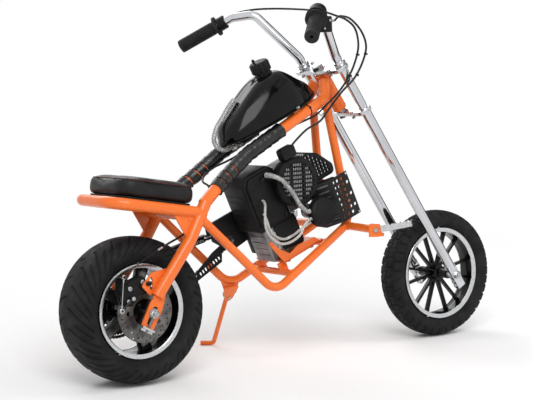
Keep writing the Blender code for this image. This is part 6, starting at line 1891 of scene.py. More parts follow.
def build_muffler():
    wall = 0.003
    flat = ENGINE @ Matrix.Translation((0, 0, 0.070))
    fold = [(0.236, -0.080), (0.186, -0.080), (0.147, -0.053), (0.147, -0.036)]
    bent = rounded([(x, y, 0) for x, y in fold], 0.008, 7)
    outer, inner = [], []
    for i, place in enumerate(bent):
        ahead = (bent[min(i + 1, len(bent) - 1)] - bent[max(i - 1, 0)]).normalized()
        side = Vector((-ahead.y, ahead.x, 0))
        shift = Vector((abs(side.x), abs(side.y), 0))
        outer.append((place.x, place.y))
        inner.append((place.x + shift.x * wall, place.y + shift.y * wall))
    skin = slab([*outer, *reversed(inner)], 0.110, flat, (), 0.0004)
    cutters = []
    for row in range(7):
        height = 0.0265 + row * 0.0145
        for column in range(4):
            if (row + column) % 2 and column == 3:
                continue
            x = 0.1905 + column * 0.0128
            cutters.append(rod(0.0040, -0.090, -0.070, ENGINE @ Vector((x, 0, height)), Y_AXIS, 20))
        cutters.append(moved(slab(stadium(0.0150, 0.0030, (0, 0), False, 6), 0.026),
                             ENGINE @ Matrix.Translation((0.1665, -0.0655, height))
                             @ Matrix.Rotation(-math.atan2(0.027, 0.039), 4, "Z")
                             @ Matrix.Rotation(math.pi / 2, 4, "X")))
    made = Piece("exhaust_guard")
    made.add(carved(skin, cutters), "black steel")
    cap = [(0.203, -0.0790), (0.1862, -0.0790), (0.1483, -0.0525), (0.1483, -0.0370),
           (0.203, -0.0640)]
    for height in (0.070 - 0.0545 + wall / 2, 0.070 + 0.0545 - wall / 2):
        made.add(slab(cap, wall, ENGINE @ Matrix.Translation((0, 0, height)), (), 0.0004),
                 "black steel")
    for x, z in ((0.2315, 0.0195), (0.2315, 0.1200)):
        made.add(socket_bolt(0.0030, -0.080, -0.0828, ENGINE @ Vector((x, 0, z)), Y_AXIS),
                 "bright steel")
    made.done("chassis", "muffler_guard", sharp=30)

    made = Piece("muffler_can")
    core = round_corners([(0.1503, -0.021), (0.1503, -0.046), (0.186, -0.0715),
                          (0.196, -0.0715), (0.200, -0.062), (0.200, -0.021)], 0.004, 5)
    made.add(slab(core, 0.098, ENGINE @ Matrix.Translation((0, 0, 0.070)), (), 0.003),
             "cast alloy")
    made.done("chassis", "muffler")


# Fork, handlebar and controls

GRIP_LENGTH = 0.104
GRIP_RADIUS = 0.0165
GRIP_FLANGE = 0.025
CABLE_RADIUS = 0.0025
FUEL_HOSE = 0.0065
BREATHER_HOSE = 0.0065
DRIP_HOSE = 0.003
PEG_LENGTH = 0.084
PEG_HEIGHT = 0.015
PEG_RISE = 10.0
STAND_ROD = 0.0055
STAND_FOOT = 0.032
STAND_EYE = 0.011
JOINT_GAP = 0.0008
TIE_X = 0.468
BAR_BASE = UPPER_CLAMP + CLAMP_THICKNESS / 2 + SEAT_GAP


def build_fork():
    for side, label in SIDES:
        origin = steer_point(FORK_OFFSET, side * FORK_HALF_SPAN, 0)
        step = LOWER_CLAMP - CLAMP_THICKNESS / 2 - SEAT_GAP
        top = UPPER_CLAMP + CLAMP_THICKNESS / 2
        made = Piece(f"fork_tube_{label}")
        made.add(turned([(0, top), (0.0104, top), (0.011, top - 0.0006), (0.011, step + 0.001),
                         (0.0116, step), (0.0121, step - 0.0005), (0.0125, step - 0.002),
                         (0.0125, 0.0215), (0.0120, 0.020), (0, 0.020)], origin, STEER_UP, 64),
                 "chrome")
        axes = STEER @ Matrix.Translation((FORK_OFFSET, side * FORK_HALF_SPAN, 0))
        made.add(box((-0.012, -0.009, -0.037), (0.012, 0.009, 0.029), axes, 0.0024, 4), "chrome")
        for low in (-0.026, -0.014):
            made.add(socket_bolt(0.0034, -0.012, -0.0150, axes @ Vector((0, 0, low)),
                                 axes.to_3x3() @ X_AXIS), "bright steel")
        made.done("steering", f"fork_leg_{label}")

    for name, node, height in (("lower_fork_clamp", "lower_clamp", LOWER_CLAMP),
                               ("upper_fork_clamp", "upper_clamp", UPPER_CLAMP)):
        made = Piece(name)
        holes = [circle(0.0116, 40, (FORK_OFFSET, side * FORK_HALF_SPAN)) for side, _ in SIDES]
        outline = stadium(FORK_HALF_SPAN + 0.021, 0.020, (FORK_OFFSET * 0.6, 0), True, 24)
        place = STEER @ Matrix.Translation((0, 0, height))
        made.add(slab(outline, CLAMP_THICKNESS, place, holes, 0.0012), "brushed alloy")
        for side, _ in SIDES:
            for across in (-0.0135, 0.0265):
                spot = place @ Vector((FORK_OFFSET * 0.6 + across - 0.0078 + 0.001,
                                       side * 0.056, 0))
                made.add(socket_bolt(0.0046, 0.005, 0.0090, spot, STEER_UP), "bright steel")
                made.add(hex_head(0.0085, -0.005, -0.0090, spot, STEER_UP), "bright steel")
            ear = place @ Vector((FORK_OFFSET, side * (FORK_HALF_SPAN + 0.0195), 0))
            out = Y_AXIS * side
            made.add(rod(0.0042, 0, 0.0040, ear, out, 24, 0.0006), "bright steel")
        if node == "lower_clamp":
            made.add(rod(0.0125, LOWER_CLAMP, UPPER_CLAMP + CLAMP_THICKNESS / 2, STEER_BASE,
                         STEER_UP, 40), "bright steel")
            made.add(hex_head(0.022, LOWER_CLAMP - 0.005, LOWER_CLAMP - 0.012, STEER_BASE,
                              STEER_UP), "bright steel")
        else:
            top = UPPER_CLAMP + CLAMP_THICKNESS / 2
            made.add(turned([(0.0128, top), (0.0165, top), (0.0168, top + 0.0012),
                             (0.0128, top + 0.0014)], STEER_BASE, STEER_UP, 48, ring=True),
                     "bright steel")
            made.add(hex_head(0.0270, top + 0.0012, top + 0.0100, STEER_BASE, STEER_UP),
                     "bright steel")
        made.done("steering", node)


def bar_corners(side):
    return [
        steer_point(FORK_OFFSET, side * FORK_HALF_SPAN, BAR_BASE),
        steer_point(FORK_OFFSET, side * FORK_HALF_SPAN, BAR_BASE + 0.026),
        steer_point(-0.002, side * 0.136, BAR_BASE + 0.164),
        steer_point(-0.036, side * 0.1815, BAR_BASE + 0.179),
        steer_point(-0.1444, side * 0.274, BAR_BASE + 0.172),
    ]


def bar_end(side):
    path = bar_corners(side)
    return path[-1], (path[-1] - path[-2]).normalized()


def build_handlebar():
    for side, label in SIDES:
        path = rounded(bar_corners(side), 0.030, 14)
        path[-1] = path[-1].lerp(path[-2], 0.06)
        made = Piece(f"handlebar_tube_{label}")
        made.add(tube(path, BAR_RADIUS, 40), "chrome")
        origin = steer_point(FORK_OFFSET, side * FORK_HALF_SPAN, 0)
        made.add(turned([(0.0112, BAR_BASE), (0.0142, BAR_BASE), (0.0146, BAR_BASE + 0.0006),
                         (0.0146, BAR_BASE + 0.0100), (0.0140, BAR_BASE + 0.0108),
                         (0.0112, BAR_BASE + 0.0108)], origin, STEER_UP, 48, ring=True), "chrome")
        made.done("steering", f"handlebar_{label}")

        end, outward = bar_end(side)
        inner = BAR_RADIUS + SEAT_GAP
        profile = [(0.0035, 0.0012), (0.0042, 0.0040), (GRIP_RADIUS - 0.003, 0.0040),
                   (GRIP_RADIUS - 0.0006, 0.0030), (GRIP_RADIUS, 0.0014)]
        flange = -GRIP_LENGTH + 0.006
        ribs = 30
        for i in range(ribs):
            start = -0.004 + (flange + 0.010) * i / ribs
            width = (flange + 0.010) / ribs
            deep = 0.0009
            profile += [(GRIP_RADIUS, start), (GRIP_RADIUS, start + width * 0.45),
                        (GRIP_RADIUS - deep, start + width * 0.6),
                        (GRIP_RADIUS - deep, start + width * 0.85)]
        rows = [(GRIP_FLANGE, -0.006), (GRIP_FLANGE, 0)]
        if side < 0:
            rows = [(GRIP_FLANGE, -0.018), (GRIP_FLANGE, -0.014), (GRIP_RADIUS, -0.0135),
                    (GRIP_RADIUS, -0.0065), (GRIP_FLANGE, -0.006), (GRIP_FLANGE, 0)]
        low = -GRIP_LENGTH
        profile = [p for p in profile if p[1] > low + 0.0185 or side > 0]
        profile.append((GRIP_RADIUS, low - rows[0][1] + 0.0008))
        for i, (radius, up) in enumerate(rows):
            shrink = 0.0006 if radius == GRIP_FLANGE else 0.0
            height = low - up
            profile.append((radius - shrink, height))
            if shrink and i + 1 < len(rows):
                step = -0.0006 if (rows[i][1] < rows[min(i + 1, len(rows) - 1)][1]
                                   and rows[min(i + 1, len(rows) - 1)][0] == GRIP_FLANGE) else 0.0
                profile.append((radius, height + step))
        profile += [(inner, low), (inner, -0.001), (0.0035, -0.001)]
        made = Piece(f"grip_cover_{label}")
        made.add(turned(profile, end, outward, 72, ring=True), "grip rubber")
        made.done("steering", f"grip_{label}")


def build_controls():
    end, outward = bar_end(-1)
    far = -GRIP_LENGTH - SEAT_GAP
    inner = BAR_RADIUS + SEAT_GAP
    made = Piece("throttle_case")
    black = "black plastic"
    made.add(turned([(inner, far), (0.0192, far), (0.020, far - 0.0008), (0.020, far - 0.0142),
                     (0.0196, far - 0.0146), (0.0196, far - 0.0154), (0.020, far - 0.0158),
                     (0.020, far - 0.0292), (0.0192, far - 0.030), (inner, far - 0.030)],
                    end, outward, 72, ring=True), black)
    place = end + outward * (far - 0.015)
    frame_at = Matrix.Translation(place)
    made.add(box((0.004, -0.010, -0.042), (0.034, 0.013, -0.006), frame_at, 0.003, 4), black)
    made.add(box((0.008, -0.0108, -0.037), (0.030, -0.0095, -0.012), frame_at, 0.0006), black)
    for x, z in ((0.011, -0.034), (0.027, -0.016)):
        made.add(socket_bolt(0.0026, -0.0104, -0.0124, place + Vector((x, 0, z)), Y_AXIS),
                 "bright steel")
    made.done("steering", "throttle_housing")

    end, outward = bar_end(1)
    forward = STEER_FORWARD - outward * STEER_FORWARD.dot(outward)
    forward.normalize()
    middle = end + outward * (-GRIP_LENGTH - 0.012)
    made = Piece("lever_perch")
    made.add(turned([(inner, 0.010), (0.0160, 0.010), (0.017, 0.0092), (0.017, 0.0012),
                     (0.0162, 0.0008), (0.0162, -0.0008), (0.017, -0.0012), (0.017, -0.0092),
                     (0.0160, -0.010), (inner, -0.010)], middle, outward, 64, ring=True), black)
    barrel = middle + forward * 0.0195
    made.add(turned([(0, 0.002), (0.0052, 0.002), (0.0052, -0.0050), (0.0044, -0.0056),
                     (0.0044, -0.0075), (0.0052, -0.0080), (0.0052, -0.0140), (0.0036, -0.0150),
                     (0.0036, -0.0182), (0, -0.0185)], barrel, outward, 40), "bright steel")
    made.add(tube([middle + forward * 0.012, middle + forward * 0.024], 0.0062, 24), black)
    pivot = middle + forward * 0.0200
    up = outward.cross(forward).normalized()
    made.add(rod(0.0042, -0.0078, 0.0078, pivot, up, 28, 0.0006), "bright steel")
    root = middle + forward * 0.012
    path = catmull_rom([root, root + forward * 0.022 + outward * 0.004,
                        root + forward * 0.034 + outward * 0.024,
                        root + forward * 0.034 + outward * 0.075,
                        root + forward * 0.042 + outward * 0.118], 10)
    radii = []
    for i in range(len(path)):
        share = i / (len(path) - 1)
        radii.append(0.0046 - 0.0014 * math.sin(math.pi * min(1, share * 1.12)))
    radii[-1] = 0.0030
    made.add(tube(path, radii, 20), "brushed alloy")
    made.add(turned([(0, 0.0048), (0.0030, 0.0040), (0.0047, 0.0014), (0.0048, 0),
                     (0.0047, -0.0014), (0.0030, -0.0040), (0, -0.0048)], path[-1], outward, 24),
             "brushed alloy")
    made.done("steering", "brake_lever")


# Footpegs and side stand

def build_pegs():
    for side, label in SIDES:
        axes = peg_axes(side) @ Matrix.Rotation(-math.radians(PEG_RISE), 4, "Y")
        half = PEG_WIDTH / 2
        tongue = half - 0.002 - 0.0015 - JOINT_GAP
        start, top, teeth = 0.020, PEG_HEIGHT / 2, 7
        pitch = (PEG_LENGTH - start) / teeth
        outline = [(PEG_LENGTH - 0.001, -top), (start, -top), (start, top - 0.0004)]
        for i in range(teeth):
            outline += [(start + pitch * (i + 0.42), top - 0.0028),
                        (start + pitch * (i + 0.56), top - 0.0030),
                        (start + pitch * (i + 0.94), top - 0.0002),
                        (start + pitch * (i + 1), top - 0.0002)]
        outline.append((PEG_LENGTH, top - 0.001))
        outline.append((PEG_LENGTH, -top + 0.001))
        made = Piece(f"footpeg_{label}")
        for y in (-half + 0.0022, half - 0.0022):
            made.add(slab(outline, 0.0044, side_plane(y, axes), (), 0.0004), "brushed alloy")
        core = [(x, z - 0.0022 if z > 0 else z + 0.0006) for x, z in outline]
        made.add(slab(core, PEG_WIDTH - 0.0086, side_plane(0, axes)), "dark steel")
        made.add(slab(stadium(0.021, 0.0068, (0.0142, 0), False, 16), tongue * 2,
                      side_plane(0, axes), (circle(0.0038, 24),), 0.0005), "brushed alloy")
        made.done(f"{label}_peg", f"foot_peg_{label}")


def build_stand():
    axes = stand_axes()
    turn = axes.to_3x3()
    low, high = JOINT_GAP, JOINT_GAP + STAND_EYE
    made = Piece("side_stand_leg")
    made.add(turned([(0.0043, high), (0.0095, high), (0.010, high - 0.0005), (0.010, low + 0.0005),
                     (0.0095, low), (0.0043, low)], axes.translation, turn @ Z_AXIS, 48,
                    ring=True), "orange paint")
    centre = axes.translation + turn @ Vector((0, 0, low + STAND_EYE / 2))
    leg = turn @ X_AXIS
    length = ((BIKE @ centre).z - STAND_ROD) / -(BIKE.to_3x3() @ leg).z
    foot = centre + leg * length
    flat = BIKE.to_3x3().inverted() @ Vector((-0.80, 0.60, 0))
    path = rounded([centre + leg * 0.008, foot, foot + flat * STAND_FOOT], 0.012, 10)
    made.add(tube(path, STAND_ROD, 28), "orange paint")
    made.add(bead([centre + leg * 0.0095 + (turn @ Vector((0, math.cos(a), math.sin(a))))
                   * (STAND_ROD - 0.0006) for a in [math.tau * i / 24 for i in range(24)]],
                  0.0012), "orange paint")
    made.done("stand", "side_stand")


# Hoses and cables

def route(points, per_span, spacing=0.0035):
    return resampled(catmull_rom([Vector(point) for point in points], per_span + 6), spacing)


def filter_rim(angle_deg, y):
    out = Vector((math.cos(math.radians(angle_deg)), 0, math.sin(math.radians(angle_deg))))
    return Vector((FILTER_CENTRE.x, y, FILTER_CENTRE.z)) + out * (0.036 + SEAT_GAP * 1.5), out


def build_hoses():
    rim, out = filter_rim(173, -0.0945)
    fuel = [TANK @ Vector(point) for point in (
        (0.066, 0.010, 0.0778), (0.040, 0.010, 0.0658), (0.0165, 0.010, 0.0525),
        (-0.009, 0.010, 0.0385), (-0.0262, 0.010, 0.018), (-0.0262, 0.007, -0.001),
        (-0.014, 0.003, -0.0135), (0.0026, 0, -0.0152))]
    breather = ((0.336, -0.0622, 0.446), (0.341, -0.082, 0.444), (0.360, -0.0945, 0.432),
                (0.386, -0.0965, 0.402), (0.405, -0.0955, 0.374), rim + out * 0.010, rim)
    for name, node, points, radius in (
            ("fuel_hose_and_spring", "fuel_hose", fuel, FUEL_HOSE),
            ("breather_hose_and_spring", "breather_hose", breather, BREATHER_HOSE)):
        line = route(points, 4, 0.002)
        made = Piece(name)
        made.add(tube(line, radius - 0.0014, 20), "clear hose")
        made.add(coil(line[2:-2], radius - 0.0010, 0.0009, 0.0042, 8, 16), "bright steel")
        for place, ahead in ((line[1], line[2] - line[0]), (line[-2], line[-1] - line[-3])):
            made.add(rod(radius - 0.0006, -0.002, 0.002, place, ahead.normalized(), 24, 0.0004),
                     "clear hose")
        made.done("chassis", node)

    first, away = filter_rim(200, -0.0975)
    outer = (first, first + away * 0.010, (0.411, -0.1005, 0.322), (0.3996, -0.1005, 0.3036),
             (0.3748, -0.0990, 0.2894), (0.3486, -0.0960, 0.287), (0.3238, -0.0910, 0.3038),
             (0.3151, -0.0850, 0.3283), (0.3200, -0.0760, 0.3548), (0.3270, -0.0680, 0.3760),
             (0.3290, -0.0600, 0.3850), (0.3290, HOUSING_RIGHT_Y - SEAT_GAP, 0.3860))
    first, away = filter_rim(214, -0.0882)
    inner = (first, first + away * 0.010, (0.4100, -0.0890, 0.3150), (0.3880, -0.0890, 0.3030),
             (0.3629, -0.0880, 0.2960), (0.3420, -0.0840, 0.3040), (0.3310, -0.0780, 0.3200),
             (0.3290, -0.0700, 0.3400), (0.3300, -0.0600, 0.3530),
             (0.3300, HOUSING_RIGHT_Y - SEAT_GAP, 0.3540))
    for name, points in (("outer", outer), ("inner", inner)):
        line = route(points, 3, 0.0025)
        made = Piece(f"drip_tube_{name}")
        made.add(tube(line, DRIP_HOSE, 16), "clear hose")
        made.add(tube([line[0].lerp(line[1], 0.2), line[2]], DRIP_HOSE + 0.0006, 16), "clear hose")
        made.done("chassis", f"drip_hose_{name}")


def tie(line, at, radius, knot):
    """A plastic strap round a line of points, with its lock at one side."""
    place = line[at]
    ahead = (line[min(at + 1, len(line) - 1)] - line[max(at - 1, 0)]).normalized()
    strap = turned([(radius, 0.0013), (radius + 0.0010, 0.0013), (radius + 0.0010, -0.0013),
                    (radius, -0.0013)], place, ahead, 40, ring=True)
    out = Vector(knot) - ahead * Vector(knot).dot(ahead)
    out.normalize()
    lock = axis_matrix(place + out * (radius + 0.0006), out)
    return [strap, moved(box((-0.0022, -0.0024, 0), (0.0022, 0.0024, 0.0028), Matrix(), 0.0004),
                         lock)]


def build_cables():
    end, outward = bar_end(1)
    forward = STEER_FORWARD - outward * STEER_FORWARD.dot(outward)
    forward.normalize()
    middle = end + outward * (-GRIP_LENGTH - 0.012)
    start = middle + forward * 0.0195 - outward * (0.0185 + SEAT_GAP)
    clamp = REAR_AXLE + Vector((-0.0613, -0.0830, 0.0856))
    pull = Vector((0.74, 0, 0.67))
    brake = route((
        start, start - outward * 0.022, (0.470, 0.165, 0.838), (0.497, 0.125, 0.838),
        (0.518, 0.070, 0.834), (0.528, 0.010, 0.828), (0.529, -0.050, 0.820),
        (0.536, -0.087, 0.809), (0.556, -0.101, 0.798), (0.578, -0.105, 0.776),
        (0.5885, -0.101, 0.736), (0.5785, -0.096, 0.694), (0.5600, -0.0895, 0.657),
        (0.5380, -0.0760, 0.6240), (0.5147, -0.0620, 0.5990), (0.4950, -0.0500, 0.5780),
        (0.4650, -0.0340, 0.5630), (0.4200, -0.0120, 0.5430), (0.3600, 0.0120, 0.5130),
        (0.3000, 0.0320, 0.4820), (0.2520, 0.0380, 0.4640), (0.2180, 0.0200, 0.4480),
        (0.2020, -0.0020, 0.4370), (0.2020, -0.0240, 0.4290), (0.1950, -0.0440, 0.4120),
        (0.1700, -0.0560, 0.3830), (0.1350, -0.0660, 0.3500), (0.0988, -0.0720, 0.3280),
        (0.0587, -0.0765, 0.3130), (0.0165, -0.0810, 0.2960), (-0.0260, -0.0840, 0.2745),
        clamp + pull * 0.020, clamp + pull * (0.0052 + SEAT_GAP)), 2)
    made = Piece("brake_cable_run")
    bare = [i for i, p in enumerate(brake) if p.x < 0.030][0]
    radii = [CABLE_RADIUS if i < bare else 0.0011 for i in range(len(brake))]
    made.add(tube(brake, radii, 14), "black cable")
    made.add(tube(brake[bare - 4:bare + 1], CABLE_RADIUS + 0.0007, 18), "bright steel")
    made.add(tube(brake[0:4], CABLE_RADIUS + 0.0007, 18), "bright steel")
    obj = made.done(None, "brake_cable")
    bend_with_fork(obj)

    end, outward = bar_end(-1)
    place = end + outward * (-GRIP_LENGTH - SEAT_GAP - 0.015)
    box_front = place + Vector((0.034 + SEAT_GAP * 1.5, 0.002, -0.016))
    intake = ENGINE @ Vector((0.124, -0.043, 0.0717 + 0.017 + SEAT_GAP))
    rise = ENGINE.to_3x3() @ Z_AXIS
    throttle = route((
        box_front, box_front + X_AXIS * 0.014, (0.474, -0.172, 0.799), (0.505, -0.146, 0.805),
        (0.5488, -0.1260, 0.799), (0.5837, -0.1200, 0.7706), (0.6008, -0.1150, 0.7352),
        (0.5949, -0.1070, 0.698), (0.5750, -0.0980, 0.6600), (0.5456, -0.0860, 0.6290),
        (0.5180, -0.0690, 0.5890), (0.4980, -0.0590, 0.5620), (0.4600, -0.0480, 0.5400),
        intake + rise * 0.135, intake + rise * 0.090, intake + rise * 0.045,
        intake + rise * 0.012, intake), 2)
    made = Piece("throttle_cable_run")
    made.add(tube(throttle, CABLE_RADIUS, 14), "black cable")
    made.add(tube(throttle[0:4], CABLE_RADIUS + 0.0007, 18), "bright steel")
    made.add(tube(throttle[-4:], CABLE_RADIUS + 0.0006, 18), "bright steel")
    obj = made.done(None, "throttle_cable")
    bend_with_fork(obj)

    made = Piece("cable_ties")
    for height in (0.716, 0.668):
        near = min(range(60, 160), key=lambda i: abs(brake[i].z - height)
                   if brake[i].x > 0.54 else 9)
        made.add(tie(brake, near, CABLE_RADIUS, X_AXIS), "black plastic")
        near = min(range(20, len(throttle) - 40), key=lambda i: abs(throttle[i].z - height)
                   if throttle[i].x > 0.54 else 9)
        made.add(tie(throttle, near, CABLE_RADIUS, X_AXIS), "black plastic")
    bend_with_fork(made.done(None))

    made = Piece("frame_tie")
    main = resampled(main_tube_path(-1), 0.002)
    near = min(range(len(main)), key=lambda i: abs(main[i].x - TIE_X))
    made.add(tie(main, near, MAIN_TUBE_RADIUS, (0.2, -0.8, 0.5)), "black plastic")
    made.done("chassis")


def bend_with_fork(obj):
    """Bakes the piece's placement into its mesh; the piece rides on no body."""
    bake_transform(obj)


# Stage, camera and lights

def aim(obj, target):
    obj.rotation_mode = "QUATERNION"
    obj.rotation_quaternion = (obj.location - Vector(target)).to_track_quat("Z", "Y")


def soft_lamp(name, place, target, size, watts):
    data = bpy.data.lights.new(name, "AREA")
    data.shape = "RECTANGLE"
    data.size, data.size_y = size
    data.energy = watts
    lamp = bpy.data.objects.new(name, data)
    bpy.context.scene.collection.objects.link(lamp)
    lamp.location = place
    aim(lamp, target)
    return lamp


def build_camera(stage):
    data = bpy.data.cameras.new("Camera")
    camera = bpy.data.objects.new("Camera", data)
    bpy.context.scene.collection.objects.link(camera)
    turn, rise = math.radians(-33.29), math.radians(8.02)
    back = Vector((math.sin(turn) * math.cos(rise), -math.cos(turn) * math.cos(rise),
                   math.sin(rise)))
    camera.location = (-2.1585, -3.1245, 0.909)
    camera.rotation_mode = "QUATERNION"
    camera.rotation_quaternion = back.to_track_quat("Z", "Y")
    data.sensor_width = 36
    data.lens = stage.lens
    data.shift_x = 0.0492
    data.shift_y = -0.0021
    data.clip_start = 0.1
    data.clip_end = 60
    bpy.context.scene.camera = camera


def white_for_camera(tree, plain, shown):
    """Shows one shader to light and another to the camera and to reflections."""
    path = add_node(tree, "ShaderNodeLightPath")
    seen = path.outputs["Is Camera Ray"]
    for extra in ("Is Glossy Ray", "Is Transmission Ray"):
        both = add_node(tree, "ShaderNodeMath", operation="MAXIMUM")
        tree.links.new(seen, both.inputs[0])
        tree.links.new(path.outputs[extra], both.inputs[1])
        seen = both.outputs[0]
    mix = add_node(tree, "ShaderNodeMixShader")
    tree.links.new(seen, mix.inputs[0])
    tree.links.new(plain, mix.inputs[1])
    tree.links.new(shown, mix.inputs[2])
    return mix.outputs[0]


def dark_card(name, bearing, distance, width):
    """A black card beside the object that only its shiny parts reflect, as a dark streak."""
    out = Vector((math.cos(math.radians(bearing)), math.sin(math.radians(bearing)), 0))
    across = Z_AXIS.cross(out) * width / 2
    foot, head = out * distance + Z_AXIS * 0.02, out * distance + Z_AXIS * 3.6
    card = helper(name, ([foot - across, foot + across, head + across, head - across],
                         [(0, 1, 2, 3)]))
    card.data.materials.append(bpy.data.materials["black plastic"])
    for ray in ("camera", "diffuse", "shadow", "transmission", "volume_scatter"):
        setattr(card, f"visible_{ray}", False)


def fade_to_white(material):
    """Lets the floor turn plain white well away from the object, where its shadow ends."""
    tree = material.node_tree
    shader = tree.nodes["Principled BSDF"]
    output = tree.nodes["Material Output"]
    parts = add_node(tree, "ShaderNodeVectorMath", operation="LENGTH")
    tree.links.new(place_of(tree), parts.inputs[0])
    far = add_node(tree, "ShaderNodeMapRange", interpolation_type="SMOOTHSTEP")
    far.inputs["From Min"].default_value = 0.9
    far.inputs["From Max"].default_value = 2.2
    tree.links.new(parts.outputs["Value"], far.inputs["Value"])
    white = add_node(tree, "ShaderNodeEmission", Color=(1, 1, 1, 1), Strength=1.0)
    blended = add_node(tree, "ShaderNodeMixShader")
    tree.links.new(far.outputs["Result"], blended.inputs[0])
    tree.links.new(shader.outputs[0], blended.inputs[1])
    tree.links.new(white.outputs[0], blended.inputs[2])
    tree.links.new(white_for_camera(tree, shader.outputs[0], blended.outputs[0]),
                   output.inputs["Surface"])


def build_stage(stage):
    scene = bpy.context.scene
    scene.view_settings.view_transform = "Standard"
    world = bpy.data.worlds.new("Studio")
    scene.world = world
    world.use_nodes = True
    tree = world.node_tree
    tree.nodes.clear()
    lit = add_node(tree, "ShaderNodeBackground", Color=(1, 1, 1, 1), Strength=stage.ambient)
    shown = add_node(tree, "ShaderNodeBackground", Color=(1, 1, 1, 1), Strength=1.0)
    output = add_node(tree, "ShaderNodeOutputWorld")
    tree.links.new(white_for_camera(tree, lit.outputs[0], shown.outputs[0]), output.inputs[0])

    floor = helper("studio_floor", ([(-24, -24, 0), (24, -24, 0), (24, 24, 0), (-24, 24, 0)],
                                    [(0, 1, 2, 3)]))
    material = bpy.data.materials.new("studio floor")
    material.use_nodes = True
    shader = material.node_tree.nodes["Principled BSDF"]
    shader.inputs["Base Color"].default_value = (*stage.floor_colour, 1)
    shader.inputs["Roughness"].default_value = 0.9
    shader.inputs["Specular IOR Level"].default_value = 0.1
    fade_to_white(material)
    floor.data.materials.append(material)
    soft_lamp("key", (-1.4, -2.4, 2.9), (0, 0, 0.35), (2.2, 1.6), stage.key_watts)
    fill = soft_lamp("fill", (2.6, -1.2, 1.8), (0, 0, 0.35), (1.6, 1.6), stage.key_watts * 0.45)
    fill.visible_glossy = False
    soft_lamp("rim", (0.4, 2.8, 2.4), (0, 0, 0.35), (2.6, 1.2), stage.key_watts * 0.5)
    dark_card("dark_card", 20, 2.4, 2.2)
    build_camera(stage)


# Settings

class MinibikeLooks(bpy.types.PropertyGroup):
    frame_colour: bpy.props.FloatVectorProperty(
        name="Frame colour", description="Colour of the painted frame", subtype="COLOR",
        size=3, min=0, max=1, default=(0.86, 0.165, 0.018))
    tape_turns: bpy.props.IntProperty(
        name="Tape turns", description="Turns of tape wound on each main tube", default=10,
        min=4, max=30)
    seat_swell: bpy.props.FloatProperty(
        name="Seat swell", description="Pressure that fills out the seat's cover", default=4.0,
        min=0, max=10)


class MinibikeWheels(bpy.types.PropertyGroup):
    rear_grooves: bpy.props.IntProperty(
        name="Rear grooves", description="Swept grooves round each side of the rear tyre",
        default=22, min=8, max=60)
    front_blocks: bpy.props.IntProperty(
        name="Front blocks", description="Tread blocks round the front tyre",
        default=40, min=12, max=80)
    groove_depth: bpy.props.FloatProperty(
        name="Groove depth", description="Depth of the tread", default=0.0036, min=0.0,
        max=0.006, unit="LENGTH")


class MinibikeStage(bpy.types.PropertyGroup):
    floor_colour: bpy.props.FloatVectorProperty(
        name="Floor colour", description="Colour of the studio floor", subtype="COLOR",
        size=3, min=0, max=1, default=(0.93, 0.93, 0.93))
    ambient: bpy.props.FloatProperty(
        name="Ambient light", description="Strength of the light from all round",
        default=0.55, min=0, max=2)
    key_watts: bpy.props.FloatProperty(
        name="Key light", description="Power of the main lamp, in watts", default=70, min=0,
        unit="POWER")
    lens: bpy.props.FloatProperty(
        name="Lens", description="Focal length of the camera in millimetres",
        default=107.5, min=20, max=300)


# Operators

class MINIBIKE_OT_finishes(bpy.types.Operator):
    """Make the finishes and give them to the solid model"""
    bl_idname = "minibike.finishes"
    bl_label = "Finishes"

    def execute(self, context):
        make_finishes(context.scene.minibike_looks)
        finish_nodes()
        return {"FINISHED"}


class MINIBIKE_OT_tyres(bpy.types.Operator):
    """Build both tyres with their tread"""
    bl_idname = "minibike.tyres"
    bl_label = "Tyres"

    def execute(self, context):
        build_tyres(context.scene.minibike_wheels)
        return {"FINISHED"}


class MINIBIKE_OT_frame(bpy.types.Operator):
    """Build the welded frame and the tape wound on it"""
    bl_idname = "minibike.frame"
    bl_label = "Frame and tape"

    def execute(self, context):
        build_frame()
        build_tape(context.scene.minibike_looks)
        return {"FINISHED"}


class MINIBIKE_OT_seat(bpy.types.Operator):
    """Build the seat's pan, its padded cover and its piping"""
    bl_idname = "minibike.seat"
    bl_label = "Seat"

    def execute(self, context):
        build_seat(context.scene.minibike_looks)
        return {"FINISHED"}


class MINIBIKE_OT_tank(bpy.types.Operator):
    """Build the fuel tank, its cap and its tap"""
    bl_idname = "minibike.tank"
    bl_label = "Tank"

    def execute(self, context):
        build_tank()
        return {"FINISHED"}


class MINIBIKE_OT_wheels(bpy.types.Operator):
    """Build both wheels and their axles"""
    bl_idname = "minibike.wheels"
    bl_label = "Wheels"

    def execute(self, context):
        build_front_wheel()
        build_rear_wheel()
        build_rear_axle()
        return {"FINISHED"}


class MINIBIKE_OT_brake(bpy.types.Operator):
    """Build the drilled disc and the caliper"""
    bl_idname = "minibike.brake"
    bl_label = "Brake"

    def execute(self, context):
        build_brake()
        return {"FINISHED"}


class MINIBIKE_OT_chain(bpy.types.Operator):
    """Build the chain, its sprockets and its guard"""
    bl_idname = "minibike.chain"
    bl_label = "Chain"

    def execute(self, context):
        build_chain()
        build_guards()
        return {"FINISHED"}


class MINIBIKE_OT_engine(bpy.types.Operator):
    """Build the crankcase, the cylinder and their covers"""
    bl_idname = "minibike.engine"
    bl_label = "Engine"

    def execute(self, context):
        build_engine()
        return {"FINISHED"}


class MINIBIKE_OT_intake(bpy.types.Operator):
    """Build the carburettor, its filter and the guarded muffler"""
    bl_idname = "minibike.intake"
    bl_label = "Intake and exhaust"

    def execute(self, context):
        build_intake()
        build_muffler()
        return {"FINISHED"}


class MINIBIKE_OT_fork(bpy.types.Operator):
    """Build the fork's legs and clamps"""
    bl_idname = "minibike.fork"
    bl_label = "Fork"

    def execute(self, context):
        build_fork()
        return {"FINISHED"}


